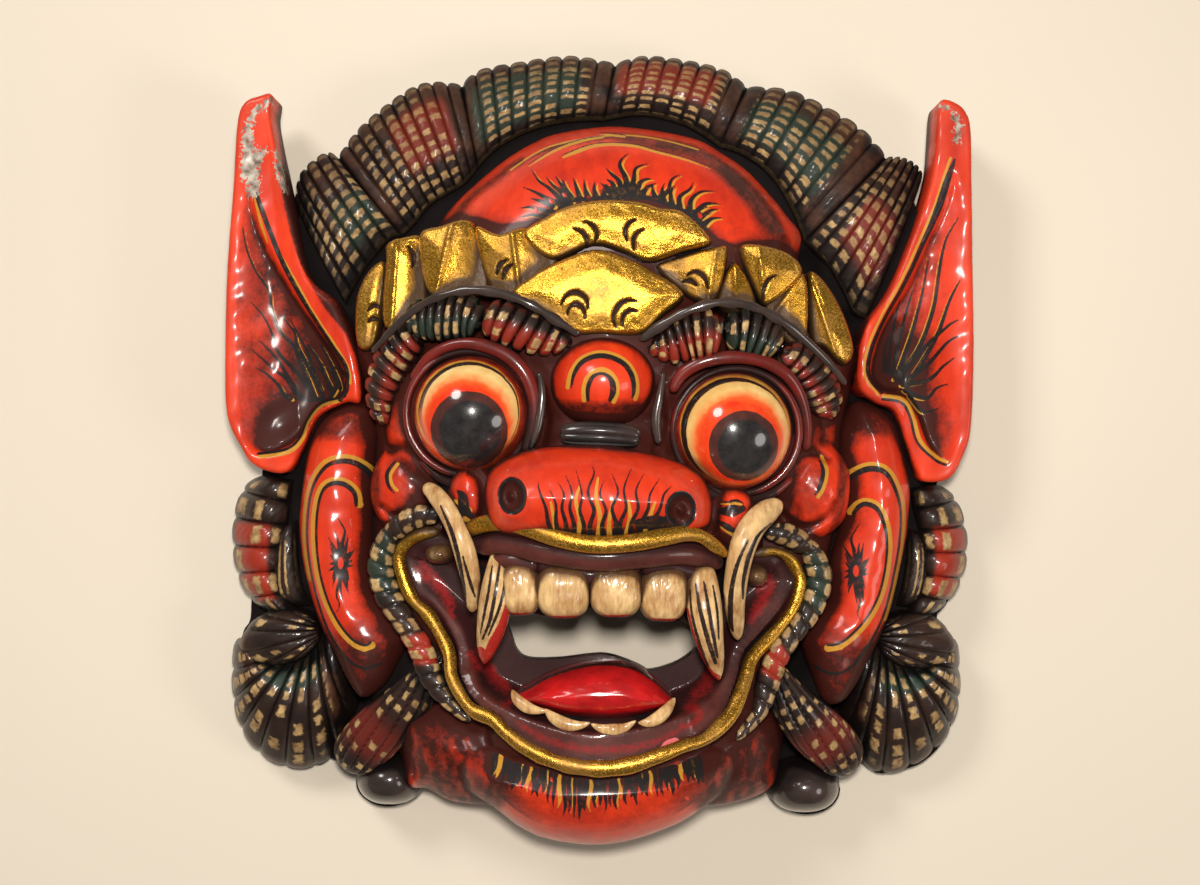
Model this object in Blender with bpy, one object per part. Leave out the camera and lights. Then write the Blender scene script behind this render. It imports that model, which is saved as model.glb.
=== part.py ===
"""Barong mask, carved from one block of wood and painted, lying on its back with its face up.

The origin is on the surface that the rim rests on, under the middle of the mask.
+X is the right of the picture, +Y runs from the chin to the crown, +Z out of the face.
"""

import math

import bmesh
import bpy
import numpy as np
from mathutils import Matrix

MASK_WIDTH = 0.327
MASK_HEIGHT = 0.3415
MASK_DEPTH = 0.121
WALL = 0.013
RIM_WIDTH = 0.017
HOLLOW_SOFTNESS = 0.010
EAR_LIFT = 0.016
CHIN_LEAN = 0.009
CARVING_STEP = 0.0016
TRIANGLES = 9400
PAINT = (0.62, 0.05, 0.02, 1.0)

# The carving follows a drawing of the face from VIEW_HEIGHT above the rim. A place on it is so many
# steps across and down, and the third number is its height over the rim in millimetres.
DRAWING_STEP = 0.449
VIEW_HEIGHT = 950.0
DRAWING_MIDDLE = (600.0, 442.5)

# Hair over the brow: where one lock meets the next, at its outer and its inner end.
CREST_NOTCHES = (
    ((295, 203), (352, 300)),
    ((336, 155), (403, 236)),
    ((461, 82), (494, 152)),
    ((616, 61), (605, 123)),
    ((748, 84), (722, 146)),
    ((889, 155), (806, 242)),
    ((925, 174), (850, 312)),
)
CREST_SWELLS = (
    ((299, 172), (323, 151)),
    ((360, 124), (403, 90), (430, 80)),
    ((479, 68), (520, 60), (570, 54)),
    ((645, 54), (690, 59), (725, 68)),
    ((790, 88), (826, 104), (864, 127)),
    ((905, 156), (918, 163)),
)
CREST_MIDDLE = (607, 350)
CREST_EDGE_HEIGHT = 23.0
CREST_INNER_HEIGHT = 28.0
CREST_SWELL = 9.0
LOCK_SWELL = 4.0
VALLEY_WIDTH = 3.2
VALLEY_DEPTH = 5.0

LEFT_EAR = (
    (277, 100), (262, 102), (250, 108), (243, 127), (239, 190), (233, 270), (231, 345),
    (232, 413), (245, 446), (260, 466), (290, 472), (308, 447), (322, 418), (350, 404),
    (367, 401), (362, 354), (342, 306), (314, 279), (296, 215), (284, 165), (276, 122),
)
LEFT_EAR_POCKET = (
    (252, 190), (262, 225), (277, 259), (307, 306), (344, 361), (349, 383), (342, 400),
    (319, 411), (305, 433), (285, 451), (259, 452), (245, 425), (240, 360), (241, 280), (246, 210),
)
LEFT_EAR_PIT = (318, 384)
RIGHT_EAR = (
    (937, 105), (950, 108), (960, 117), (965, 135), (966, 190), (967, 270), (968, 350),
    (966, 426), (959, 455), (945, 478), (920, 481), (912, 470), (900, 440), (890, 412),
    (868, 402), (852, 383), (857, 334), (882, 298), (905, 246), (920, 205), (929, 165), (932, 118),
)
RIGHT_EAR_POCKET = (
    (953, 170), (945, 195), (927, 234), (905, 281), (880, 321), (867, 361), (868, 380),
    (882, 394), (905, 399), (917, 421), (926, 445), (942, 462), (953, 452), (960, 420),
    (961, 350), (960, 270), (959, 200),
)
RIGHT_EAR_PIT = (898, 373)
EAR_ROLL_HEIGHT = 58.0
EAR_OUTER_HEIGHT = 46.0
EAR_POCKET_DEPTH = 20.0

LEFT_JOWL = (
    (309, 440), (300, 480), (296, 522), (300, 565), (309, 599), (320, 630), (335, 655),
    (348, 680), (363, 697), (385, 685), (400, 660), (409, 637), (395, 610), (378, 586), (374, 540),
    (375, 496), (376, 455), (350, 430), (325, 428),
)
RIGHT_JOWL = (
    (905, 440), (913, 484), (912, 520), (908, 548), (900, 585), (892, 615), (880, 642),
    (867, 665), (855, 686), (840, 702), (822, 700), (808, 665), (801, 637), (812, 615), (826, 598),
    (829, 563), (840, 520), (843, 491), (838, 455), (860, 425), (885, 424),
)
JOWL_OUTER_HEIGHT = 27.0
JOWL_HEIGHT = 56.0
JOWL_SHOULDER = 17.0

# Rolls of hair along the edge: outline, base height, top height.
CURLS = (
    (((258, 476), (285, 474), (294, 490), (294, 520), (298, 560), (306, 590), (300, 612), (265, 618),
      (250, 600), (237, 575), (232, 545), (233, 518), (240, 492)), 14, 36),
    (((920, 484), (945, 486), (962, 510), (969, 540), (966, 570), (955, 600), (940, 618), (905, 620),
      (895, 600), (905, 560), (912, 520), (910, 492)), 14, 36),
    (((250, 615), (285, 606), (310, 612), (322, 640), (340, 665), (360, 695), (350, 720), (340, 745),
      (322, 765), (300, 772), (272, 766), (250, 748), (234, 722), (230, 690), (231, 655), (238, 630)),
     12, 34),
    (((945, 618), (915, 612), (888, 618), (872, 650), (858, 676), (836, 702), (840, 730), (852, 755),
      (872, 778), (895, 778), (925, 768), (948, 745), (960, 715), (962, 685), (957, 650)), 12, 34),
    (((246, 624), (270, 610), (298, 609), (317, 625), (316, 645), (298, 660), (272, 665), (250, 655)),
     22, 42),
    (((940, 620), (912, 613), (886, 622), (879, 642), (884, 660), (905, 668), (932, 662), (945, 645)),
     22, 42),
)
# Twisted locks beside the chin: centre line with height and half width.
TWISTS = (
    ((440, 655, 52, 11), (415, 690, 48, 19), (385, 720, 42, 26), (355, 752, 34, 27), (345, 772, 30, 20)),
    ((768, 660, 52, 11), (785, 695, 48, 19), (808, 728, 42, 26), (838, 755, 34, 27), (850, 772, 30, 18)),
)
TWIST_KNOBS = (((386, 784), (35, 28), 18, 36), ((808, 792), (37, 28), 18, 36))

# The board that the hair, ears and face stand on.
BOARD = (
    (320, 190), (360, 140), (450, 95), (530, 72), (610, 66), (700, 70), (790, 105), (860, 140),
    (912, 200), (920, 260), (935, 330), (945, 420), (940, 500), (948, 560), (935, 640), (900, 730),
    (840, 775), (770, 792), (700, 800), (600, 806), (500, 800), (410, 782), (345, 768), (285, 730),
    (250, 650), (250, 560), (256, 500), (262, 430), (270, 330), (292, 240),
)
BOARD_HEIGHT = 23.0
FOREHEAD = (
    (430, 255), (440, 225), (462, 198), (500, 165), (530, 146), (562, 134), (620, 128), (690, 139),
    (722, 155), (750, 175), (785, 215), (800, 250), (760, 330), (600, 360), (450, 330),
)
FOREHEAD_BASE = 30.0
FOREHEAD_HEIGHT = 79.0
FOREHEAD_SHOULDER = 42.0
FACE = (
    (352, 345), (366, 395), (374, 440), (373, 500), (378, 560), (395, 615), (425, 655), (440, 700),
    (450, 750), (480, 790), (560, 805), (650, 805), (720, 788), (752, 750), (762, 700), (790, 655),
    (812, 615), (828, 560), (840, 500), (843, 440), (850, 385), (855, 350), (800, 268), (760, 240),
    (700, 225), (600, 200), (500, 225), (430, 245), (400, 262),
)
FACE_BASE = 26.0
FACE_HEIGHT = 60.0
FACE_SHOULDER = 20.0
JAW = (
    (400, 700), (404, 765), (412, 785), (430, 787), (455, 800), (500, 806), (600, 812), (697, 807),
    (736, 801), (770, 785), (778, 760), (780, 700), (700, 660), (500, 660),
)
JAW_EDGE_HEIGHT = 16.0
JAW_HEIGHT = 56.0
JAW_SHOULDER = 34.0
CHIN = (
    (470, 780), (495, 804), (520, 824), (548, 836), (593, 842), (632, 837), (675, 822), (700, 806),
    (722, 782), (720, 740), (600, 715), (480, 740),
)
CHIN_EDGE_HEIGHT = 40.0
CHIN_HEIGHT = 89.0
CHIN_SHOULDER = 27.0

# Rounded masses: centre, half sizes across and down, height at the foot and at the top.
MASSES = (
    ((467, 408), (92, 96), 50, 84),
    ((737, 428), (92, 96), 50, 84),
    ((603, 350), (120, 110), 60, 88),
    ((601, 560), (168, 165), 56, 97),
    ((405, 490), (40, 50), 48, 67),
    ((818, 490), (40, 50), 48, 67),
)
NOSE = (
    (484, 500), (490, 470), (515, 453), (550, 446), (600, 444), (645, 452), (690, 466), (708, 485),
    (712, 515), (700, 535), (660, 545), (600, 552), (540, 545), (495, 532),
)
NOSE_BASE = 90.0
NOSE_HEIGHT = 121.0
NOSE_SHOULDER = 23.0
NOSTRILS = (((512, 496), (13, 17)), ((681, 510), (14, 17)))
NOSTRIL_DEPTH = 7.0
NOSE_WINGS = (((470, 492), (20, 30), 84, 96), ((733, 515), (22, 30), 84, 96))

# Eyes: centre, radius and height of the ball, and of the lid that rings it.
EYES = (((467, 417), 52, 105), ((738, 434), 53, 105))
EYE_FOOT = 84.0
LID_OUT = 7.0
LID_RADIUS = 3.4
THIRD_EYE = ((603, 380), (55, 48), 80, 103)
BRIDGE = ((567, 436, 89, 11), (600, 434, 90, 12), (636, 437, 89, 11))

# The gilt band over the brows: each leaf's outline, base height and top height.
LEAVES = (
    (((356, 300), (370, 270), (387, 263), (388, 300), (378, 346), (358, 346)), 58, 68),
    (((387, 245), (402, 238), (425, 239), (430, 290), (425, 325), (385, 328), (386, 262)), 66, 76),
    (((418, 238), (441, 226), (476, 224), (492, 290), (480, 300), (432, 298)), 74, 84),
    (((474, 228), (500, 234), (530, 228), (560, 262), (520, 296), (492, 294)), 78, 86),
    (((522, 236), (548, 216), (572, 205), (606, 200), (638, 202), (660, 208), (684, 213), (712, 243),
      (682, 254), (648, 264), (622, 254), (593, 247), (552, 262)), 78, 88),
    (((512, 296), (532, 276), (555, 263), (593, 250), (623, 257), (650, 270), (684, 295), (662, 318),
      (640, 336), (600, 336), (574, 335), (550, 318)), 82, 94),
    (((680, 256), (711, 248), (728, 250), (716, 302), (688, 298), (655, 268)), 78, 87),
    (((714, 304), (734, 262), (757, 304), (735, 316)), 76, 86),
    (((738, 252), (752, 244), (790, 254), (802, 276), (770, 305), (757, 300)), 74, 84),
    (((760, 304), (803, 274), (806, 346), (790, 350)), 66, 78),
    (((806, 276), (822, 280), (842, 312), (853, 350), (842, 366), (822, 350), (808, 340)), 58, 70),
)
LEAF_SHOULDER = 6.0

# Ribbed brows: centre line with height and half width.
BROWS = (
    ((386, 418, 66, 14), (388, 380, 72, 18), (398, 346, 78, 21), (412, 326, 82, 22)),
    ((412, 318, 83, 20), (440, 312, 88, 23), (468, 313, 91, 23), (484, 316, 92, 22)),
    ((488, 317, 93, 23), (520, 325, 94, 22), (548, 334, 93, 18), (573, 340, 90, 11)),
    ((655, 343, 90, 11), (675, 340, 93, 20), (700, 333, 94, 27), (718, 330, 94, 27)),
    ((726, 333, 93, 26), (752, 334, 91, 27), (778, 345, 88, 24)),
    ((784, 356, 86, 19), (806, 372, 80, 21), (822, 395, 74, 20), (832, 410, 68, 14)),
)

UPPER_LIP = (
    (469, 532, 94, 7), (491, 521, 101, 9), (512, 524, 107, 9), (532, 532, 111, 9),
    (559, 541, 115, 9), (594, 547, 117, 9), (633, 545, 117, 9), (666, 539, 114, 9),
    (683, 535, 111, 9), (700, 537, 107, 9), (716, 547, 101, 8), (730, 558, 95, 7),
)
UPPER_LIP_UNDER = (
    (476, 545, 88, 12), (505, 543, 98, 15), (550, 556, 106, 16), (598, 562, 108, 17),
    (640, 560, 107, 16), (690, 556, 100, 16), (718, 565, 92, 12),
)
MOUTH = (
    (439, 532), (420, 535), (404, 545), (398, 557), (402, 577), (412, 600), (428, 616), (441, 637),
    (449, 655), (452, 680), (470, 709), (492, 720), (506, 734), (529, 751), (562, 765), (599, 770),
    (632, 766), (661, 756), (683, 747), (703, 741), (720, 728), (734, 711), (745, 683), (753, 658),
    (773, 636), (793, 610), (801, 585), (797, 570), (787, 556), (774, 551), (750, 552), (700, 556),
    (600, 560), (490, 545),
)
MOUTH_RIM = (
    (439, 532, 66, 7), (420, 535, 65, 7), (404, 545, 63, 7), (398, 557, 62, 7), (402, 577, 62, 7),
    (412, 600, 63, 7), (428, 616, 65, 7), (441, 637, 68, 7), (449, 655, 71, 7), (452, 680, 76, 7),
    (470, 709, 81, 7), (492, 720, 84, 8), (506, 734, 87, 8), (529, 751, 91, 9), (562, 765, 95, 9),
    (599, 770, 96, 10), (632, 766, 95, 10), (661, 756, 93, 9), (683, 747, 90, 9), (703, 741, 87, 8),
    (720, 728, 84, 8), (734, 711, 80, 8), (745, 683, 75, 7), (753, 658, 71, 7), (773, 636, 67, 7),
    (793, 610, 64, 7), (801, 585, 62, 7), (797, 570, 62, 7), (787, 556, 64, 7), (756, 554, 67, 7),
)
RECESS = (
    (424, 545), (408, 560), (414, 590), (436, 612), (460, 640), (475, 690), (510, 712), (560, 728),
    (600, 732), (650, 725), (695, 712), (722, 690), (738, 650), (760, 620), (785, 595), (784, 572),
    (765, 560), (700, 565), (600, 575), (490, 560),
)
RECESS_HEIGHT = 58.0
LIP_BAND_HEIGHT = 88.0
TEETH = (
    ((518, 587), (18, 27), 68, 104),
    ((563, 593), (27, 26), 68, 107),
    ((616, 595), (26, 26), 68, 107),
    ((664, 597), (23, 29), 68, 104),
)
FANGS = (
    ((494, 560, 97, 14), (493, 590, 102, 15), (492, 625, 100, 14), (486, 662, 90, 6)),
    ((703, 578, 97, 16), (704, 610, 102, 17), (710, 645, 100, 13), (718, 680, 90, 6)),
)
TUSKS = (
    ((426, 489, 84, 7), (444, 506, 93, 9), (456, 526, 98, 10), (466, 550, 100, 10), (471, 580, 96, 10),
     (469, 615, 86, 7)),
    ((778, 508, 84, 9), (757, 523, 93, 12), (744, 542, 98, 12), (736, 570, 99, 11), (732, 600, 95, 11),
     (736, 636, 84, 8)),
)
SIDE_TEETH = (((438, 553), (16, 12), 60, 74), ((759, 576), (14, 13), 60, 74))
TONGUE = (
    (514, 697), (545, 678), (575, 668), (604, 664), (635, 670), (655, 685), (674, 702), (650, 714),
    (599, 721), (550, 715),
)
TONGUE_BASE = 78.0
TONGUE_HEIGHT = 94.0
TONGUE_SHOULDER = 11.0
LOWER_TEETH = (((532, 709), (16, 9)), ((562, 721), (18, 9)), ((616, 726), (22, 8)), ((660, 714), (17, 9)))
LOWER_TEETH_HEIGHT = 88.0
MOUTH_GAP = (
    (505, 618), (545, 623), (565, 625), (590, 614), (616, 625), (640, 614), (665, 628), (692, 630),
    (700, 655), (680, 672), (650, 680), (630, 670), (600, 663), (555, 668), (520, 666), (508, 645),
)
WISPS = (
    ((428, 518, 68, 10), (398, 530, 64, 11), (382, 560, 60, 13), (386, 590, 60, 13), (402, 622, 62, 11),
     (420, 650, 62, 11), (432, 680, 64, 11)),
    ((775, 538, 68, 10), (802, 545, 64, 11), (820, 575, 60, 13), (815, 605, 60, 13), (798, 630, 62, 11),
     (775, 655, 62, 11), (764, 690, 64, 11)),
)
# Half sizes, across and down, of the hollow behind the face, and its middle.
HOLLOW_MIDDLE = (601, 445)
HOLLOW_RADII = (262, 342)


def spot(across, down, height):
    """A place on the drawing, in millimetres from the middle."""
    near = DRAWING_STEP * (1.0 - height / VIEW_HEIGHT)
    return (across - DRAWING_MIDDLE[0]) * near, (DRAWING_MIDDLE[1] - down) * near


def curve(points, closed, steps=4):
    """A smooth curve through the points, in every column that they have."""
    points = np.asarray(points, dtype=float)
    count = len(points)
    pieces = count if closed else count - 1
    found = []
    for index in range(pieces):
        if closed:
            four = [points[(index + shift) % count] for shift in (-1, 0, 1, 2)]
        else:
            four = [points[min(max(index + shift, 0), count - 1)] for shift in (-1, 0, 1, 2)]
        before, start, end, after = four
        for step in range(steps):
            t = step / steps
            found.append(
                start
                + 0.5 * t * (end - before)
                + t * t * (before - 2.5 * start + 2.0 * end - 0.5 * after)
                + t * t * t * (1.5 * (start - end) + 0.5 * (after - before))
            )
    if not closed:
        found.append(points[-1])
    return np.array(found)


def outline(points, height, steps=4):
    return curve([spot(across, down, height) for across, down in points], True, steps)


def track(points, steps=4):
    """A centre line with its height and half width in millimetres."""
    rows = [(*spot(across, down, high), high, DRAWING_STEP * half) for across, down, high, half in points]
    return curve(rows, False, steps)


def to_loop(x, y, loop):
    """Distance to a closed outline, positive inside it."""
    nearest = np.full(x.shape, 1e9)
    inside = np.zeros(x.shape, dtype=bool)
    for (ax, ay), (bx, by) in zip(loop, np.roll(loop, -1, axis=0)):
        ex, ey = bx - ax, by - ay
        share = np.clip(((x - ax) * ex + (y - ay) * ey) / (ex * ex + ey * ey + 1e-12), 0.0, 1.0)
        nearest = np.minimum(nearest, (x - ax - share * ex) ** 2 + (y - ay - share * ey) ** 2)
        if ay != by:
            crosses = ((ay > y) != (by > y)) & (x < ax + (y - ay) * ex / ey)
            inside ^= crosses
    return np.where(inside, 1.0, -1.0) * np.sqrt(nearest)


def to_track(x, y, line):
    """Distance to a centre line, with the line's height and half width there."""
    nearest = np.full(x.shape, 1e9)
    high = np.zeros(x.shape)
    half = np.ones(x.shape)
    for start, end in zip(line[:-1], line[1:]):
        ex, ey = end[:2] - start[:2]
        share = np.clip(((x - start[0]) * ex + (y - start[1]) * ey) / (ex * ex + ey * ey + 1e-12), 0.0, 1.0)
        gap = (x - start[0] - share * ex) ** 2 + (y - start[1] - share * ey) ** 2
        closer = gap < nearest
        nearest = np.where(closer, gap, nearest)
        high = np.where(closer, start[2] + share * (end[2] - start[2]), high)
        half = np.where(closer, start[3] + share * (end[3] - start[3]), half)
    return np.sqrt(nearest), high, half


def bulge(share):
    """A quarter round: 0 at the edge, 1 at the full share."""
    share = np.clip(share, 0.0, 1.0)
    return np.sqrt(np.clip(1.0 - (1.0 - share) ** 2, 0.0, 1.0))


def ease(share):
    share = np.clip(share, 0.0, 1.0)
    return share * share * (3.0 - 2.0 * share)


def blend_up(low, high, soft):
    """The higher of two heights, with a soft join."""
    mix = np.clip(0.5 + 0.5 * (high - low) / soft, 0.0, 1.0)
    return low * (1.0 - mix) + high * mix + soft * mix * (1.0 - mix)


class Relief:
    """Heights of the carving over places x, y, all in millimetres."""

    def __init__(self, x, y):
        self.x = x
        self.y = y
        self.z = np.zeros(x.shape)

    def near(self, points, reach):
        low = np.min(points[:, :2], axis=0) - reach
        high = np.max(points[:, :2], axis=0) + reach
        return np.flatnonzero((self.x > low[0]) & (self.x < high[0]) & (self.y > low[1]) & (self.y < high[1]))

    def pillow(self, points, base, top, shoulder, soft=2.0):
        """A mass with the given outline, rounded over its shoulder."""
        loop = outline(points, base)
        here = self.near(loop, 1.0)
        depth = to_loop(self.x[here], self.y[here], loop)
        high = np.where(depth > 0.0, base + (top - base) * bulge(depth / shoulder), -1e3)
        self.z[here] = blend_up(self.z[here], high, soft)
        return loop

    def mass(self, centre, radii, base, top, soft=4.0, fullness=2.0):
        """An oval dome; a fullness over 2 fills out its corners and steepens its sides."""
        cx, cy = spot(*centre, top)
        near = DRAWING_STEP * (1.0 - top / VIEW_HEIGHT)
        rx, ry = radii[0] * near, radii[1] * near
        here = self.near(np.array([(cx - rx, cy - ry), (cx + rx, cy + ry)]), 1.0)
        away = np.abs((self.x[here] - cx) / rx) ** fullness + np.abs((self.y[here] - cy) / ry) ** fullness
        high = np.where(away < 1.0, base + (top - base) * np.sqrt(np.clip(1.0 - away, 0.0, 1.0)), -1e3)
        self.z[here] = blend_up(self.z[here], high, soft)

    def roll(self, points, flat=1.0, soft=1.5):
        """A rounded roll along a centre line; flat under 1 lowers its sides less."""
        line = track(points)
        here = self.near(line, 16.0)
        gap, high, half = to_track(self.x[here], self.y[here], line)
        share = np.clip(1.0 - (gap / half) ** 2, 0.0, 1.0)
        top = np.where(gap < half, high - flat * half * (1.0 - np.sqrt(share)), -1e3)
        self.z[here] = blend_up(self.z[here], top, soft)

    def sink(self, points, height, shoulder):
        """A recess with the given outline, down to a height."""
        loop = outline(points, 80.0)
        here = self.near(loop, 1.0)
        depth = to_loop(self.x[here], self.y[here], loop)
        share = ease(depth / shoulder)
        low = np.minimum(self.z[here], height)
        self.z[here] = np.where(depth > 0.0, self.z[here] * (1.0 - share) + low * share, self.z[here])


def crest_lines():
    outer = []
    for index, (outer_notch, _) in enumerate(CREST_NOTCHES):
        outer.append(outer_notch)
        if index < len(CREST_SWELLS):
            outer.extend(CREST_SWELLS[index])
    inner = [inner_notch for _, inner_notch in CREST_NOTCHES]
    outer_line = np.array([spot(*place, CREST_EDGE_HEIGHT) for place in outer])
    inner_line = curve([spot(*place, CREST_INNER_HEIGHT) for place in inner], False)
    return outer_line, inner_line


def crest(relief):
    """Six combed locks standing over the brow."""
    outer_line, inner_line = crest_lines()
    loop = np.vstack([outer_line, inner_line[::-1]])
    here = relief.near(loop, 1.0)
    x, y = relief.x[here], relief.y[here]
    depth = to_loop(x, y, loop)
    pad = np.zeros((len(outer_line), 2))
    to_outer = to_track(x, y, np.hstack([outer_line, pad]))[0]
    to_inner = to_track(x, y, np.hstack([inner_line, np.zeros((len(inner_line), 2))]))[0]
    outward = to_inner / (to_inner + to_outer + 1e-6)
    cx, cy = spot(*CREST_MIDDLE, 30.0)
    turn = np.arctan2(y - cy, cx - x)
    where = np.zeros(x.shape)
    borders = []
    for outer_notch, inner_notch in CREST_NOTCHES:
        ox, oy = spot(*outer_notch, CREST_EDGE_HEIGHT)
        ix, iy = spot(*inner_notch, CREST_INNER_HEIGHT)
        borders.append((1.0 - outward) * math.atan2(iy - cy, cx - ix) + outward * math.atan2(oy - cy, cx - ox))
    for start, end in zip(borders[:-1], borders[1:]):
        where += np.clip((turn - start) / (end - start), 0.0, 1.0)
    across = where % 1.0
    reach = np.hypot(x - cx, y - cy)
    side = np.minimum(across, 1.0 - across) * reach * math.pi / 6.0
    across_arch = 1.0 - (2.0 * outward - 1.0) ** 2
    high = CREST_INNER_HEIGHT * (1.0 - outward) + CREST_EDGE_HEIGHT * outward + CREST_SWELL * across_arch
    high += LOCK_SWELL * (bulge(2.0 * np.minimum(across, 1.0 - across)) - 1.0)
    high -= VALLEY_DEPTH * (1.0 - ease(side / VALLEY_WIDTH))
    high -= 4.0 * (1.0 - bulge(depth / 4.0))
    relief.z[here] = np.where(depth > 0.0, np.maximum(relief.z[here], high), relief.z[here])
    return loop


def ear(relief, points, pocket, pit, side):
    """A pointed ear: a raised roll along its inner edge, a hollow cup, and a thin outer edge."""
    loop = outline(points, 30.0)
    here = relief.near(loop, 1.0)
    x, y = relief.x[here], relief.y[here]
    depth = to_loop(x, y, loop)
    cup_depth = to_loop(x, y, outline(pocket, 45.0))
    inward = np.clip((125.0 - side * x) / 40.0 + (y + 40.0) / 400.0, 0.0, 1.0)
    high = EAR_OUTER_HEIGHT + (EAR_ROLL_HEIGHT - EAR_OUTER_HEIGHT) * inward
    low_part = ease((35.0 - y) / 60.0)
    high = high - 4.0 * low_part * (1.0 - inward)
    px, py = spot(*pit, 30.0)
    pit_near = np.exp(-(((x - px) / 14.0) ** 2 + ((y - py) / 26.0) ** 2))
    cup = EAR_POCKET_DEPTH * (0.35 + 0.65 * pit_near) * ease(cup_depth / 9.0) * (cup_depth > 0.0)
    high = high - cup - 5.0 * (1.0 - bulge(depth / 5.0))
    relief.z[here] = np.where(depth > 0.0, np.maximum(relief.z[here], high), relief.z[here])
    return loop


def jowl(relief, points, side):
    """The long swollen lobe between the ear, the cheek and the curls."""
    loop = outline(points, 40.0)
    here = relief.near(loop, 1.0)
    x, y = relief.x[here], relief.y[here]
    depth = to_loop(x, y, loop)
    inward = ease((132.0 - side * x) / 30.0)
    foot = JOWL_OUTER_HEIGHT + 14.0 * inward
    high = foot + (JOWL_HEIGHT - foot) * bulge(depth / JOWL_SHOULDER)
    relief.z[here] = np.where(depth > 0.0, blend_up(relief.z[here], high, 2.0), relief.z[here])
    return loop


def gap_loop():
    return outline(MOUTH_GAP, 92.0)


def carve(x, y):
    """The front of the mask, and how far inside its silhouette each place is."""
    shape = x.shape
    x, y = x.ravel(), y.ravel()
    relief = Relief(x, y)
    loops = [relief.pillow(BOARD, 14.0, BOARD_HEIGHT, 6.0), crest(relief)]
    for points, base, top in CURLS:
        loops.append(relief.pillow(points, base, top, 12.0))
    loops.append(relief.pillow(JAW, JAW_EDGE_HEIGHT, JAW_HEIGHT, JAW_SHOULDER))
    for points in TWISTS:
        relief.roll(points, flat=0.8)
    for centre, radii, base, top in TWIST_KNOBS:
        relief.mass(centre, radii, base, top)
    loops.append(relief.pillow(FACE, FACE_BASE, FACE_HEIGHT, FACE_SHOULDER))
    loops.append(relief.pillow(CHIN, CHIN_EDGE_HEIGHT, CHIN_HEIGHT, CHIN_SHOULDER, 3.0))
    relief.pillow(FOREHEAD, FOREHEAD_BASE, FOREHEAD_HEIGHT, FOREHEAD_SHOULDER)
    loops.append(jowl(relief, LEFT_JOWL, -1.0))
    loops.append(jowl(relief, RIGHT_JOWL, 1.0))
    loops.append(ear(relief, LEFT_EAR, LEFT_EAR_POCKET, LEFT_EAR_PIT, -1.0))
    loops.append(ear(relief, RIGHT_EAR, RIGHT_EAR_POCKET, RIGHT_EAR_PIT, 1.0))
    for centre, radii, base, top in MASSES:
        relief.mass(centre, radii, base, top, 8.0)
    for points, base, top in LEAVES:
        relief.pillow(points, base, top, LEAF_SHOULDER, 1.0)
    for points in BROWS:
        relief.roll(points, flat=0.9)
    for centre, radius, top in EYES:
        lid_radius = radius + LID_OUT
        lid = [
            (centre[0] + lid_radius * math.cos(turn), centre[1] + lid_radius * math.sin(turn),
             EYE_FOOT + 2.0, LID_RADIUS / DRAWING_STEP)
            for turn in np.linspace(0.0, 2.0 * math.pi, 25)
        ]
        relief.roll(lid)
        relief.mass(centre, (radius, radius), EYE_FOOT, top, 1.0)
    relief.mass(THIRD_EYE[0], THIRD_EYE[1], THIRD_EYE[2], THIRD_EYE[3], 1.5)
    relief.roll(BRIDGE, flat=0.6)
    for centre, radii, base, top in NOSE_WINGS:
        relief.mass(centre, radii, base, top, 2.0)
    relief.pillow(NOSE, NOSE_BASE, NOSE_HEIGHT, NOSE_SHOULDER)
    for centre, radii in NOSTRILS:
        cx, cy = spot(*centre, 110.0)
        near = DRAWING_STEP * (1.0 - 110.0 / VIEW_HEIGHT)
        away = ((x - cx) / (radii[0] * near)) ** 2 + ((y - cy) / (radii[1] * near)) ** 2
        relief.z -= NOSTRIL_DEPTH * ease(1.3 - away)
    mouth(relief)
    for points in WISPS:
        relief.roll(points, flat=0.8)
    inside = np.full(x.shape, -1e9)
    for loop in loops:
        inside = np.maximum(inside, to_loop(x, y, loop))
    for points in TWISTS:
        gap, _, half = to_track(x, y, track(points))
        inside = np.maximum(inside, half - gap)
    for centre, radii, base, _ in TWIST_KNOBS:
        cx, cy = spot(*centre, base)
        turns = np.linspace(0.0, 2.0 * math.pi, 24, endpoint=False)
        oval = np.stack(
            [cx + radii[0] * DRAWING_STEP * 0.97 * np.cos(turns), cy + radii[1] * DRAWING_STEP * 0.97 * np.sin(turns)],
            axis=1,
        )
        inside = np.maximum(inside, to_loop(x, y, oval))
    inside = np.minimum(inside, -to_loop(x, y, gap_loop()))
    front = np.maximum(relief.z, 12.0)
    return front.reshape(shape), inside.reshape(shape)


def mouth(relief):
    """Lips, the sunken corners, teeth, tusks and tongue."""
    loop = outline(MOUTH, 84.0)
    here = relief.near(loop, 1.0)
    depth = to_loop(relief.x[here], relief.y[here], loop)
    _, rim_high, _ = to_track(relief.x[here], relief.y[here], track(MOUTH_RIM))
    share = ease(depth / 3.0)
    relief.z[here] = relief.z[here] * (1.0 - share) + (rim_high - 4.0) * share
    relief.sink(RECESS, RECESS_HEIGHT, 9.0)
    relief.roll(MOUTH_RIM)
    relief.mass((599, 745), (118, 46), 60, LIP_BAND_HEIGHT, 3.0)
    relief.roll(UPPER_LIP_UNDER)
    relief.roll(UPPER_LIP)
    for centre, radii, base, top in TEETH + SIDE_TEETH:
        relief.mass(centre, radii, base, top, 0.8, 2.8)
    relief.pillow(TONGUE, TONGUE_BASE, TONGUE_HEIGHT, TONGUE_SHOULDER, 0.8)
    for centre, radii in LOWER_TEETH:
        relief.mass(centre, radii, LOWER_TEETH_HEIGHT - 6.0, LOWER_TEETH_HEIGHT, 0.8)
    for points in FANGS + TUSKS:
        relief.roll(points)


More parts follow.
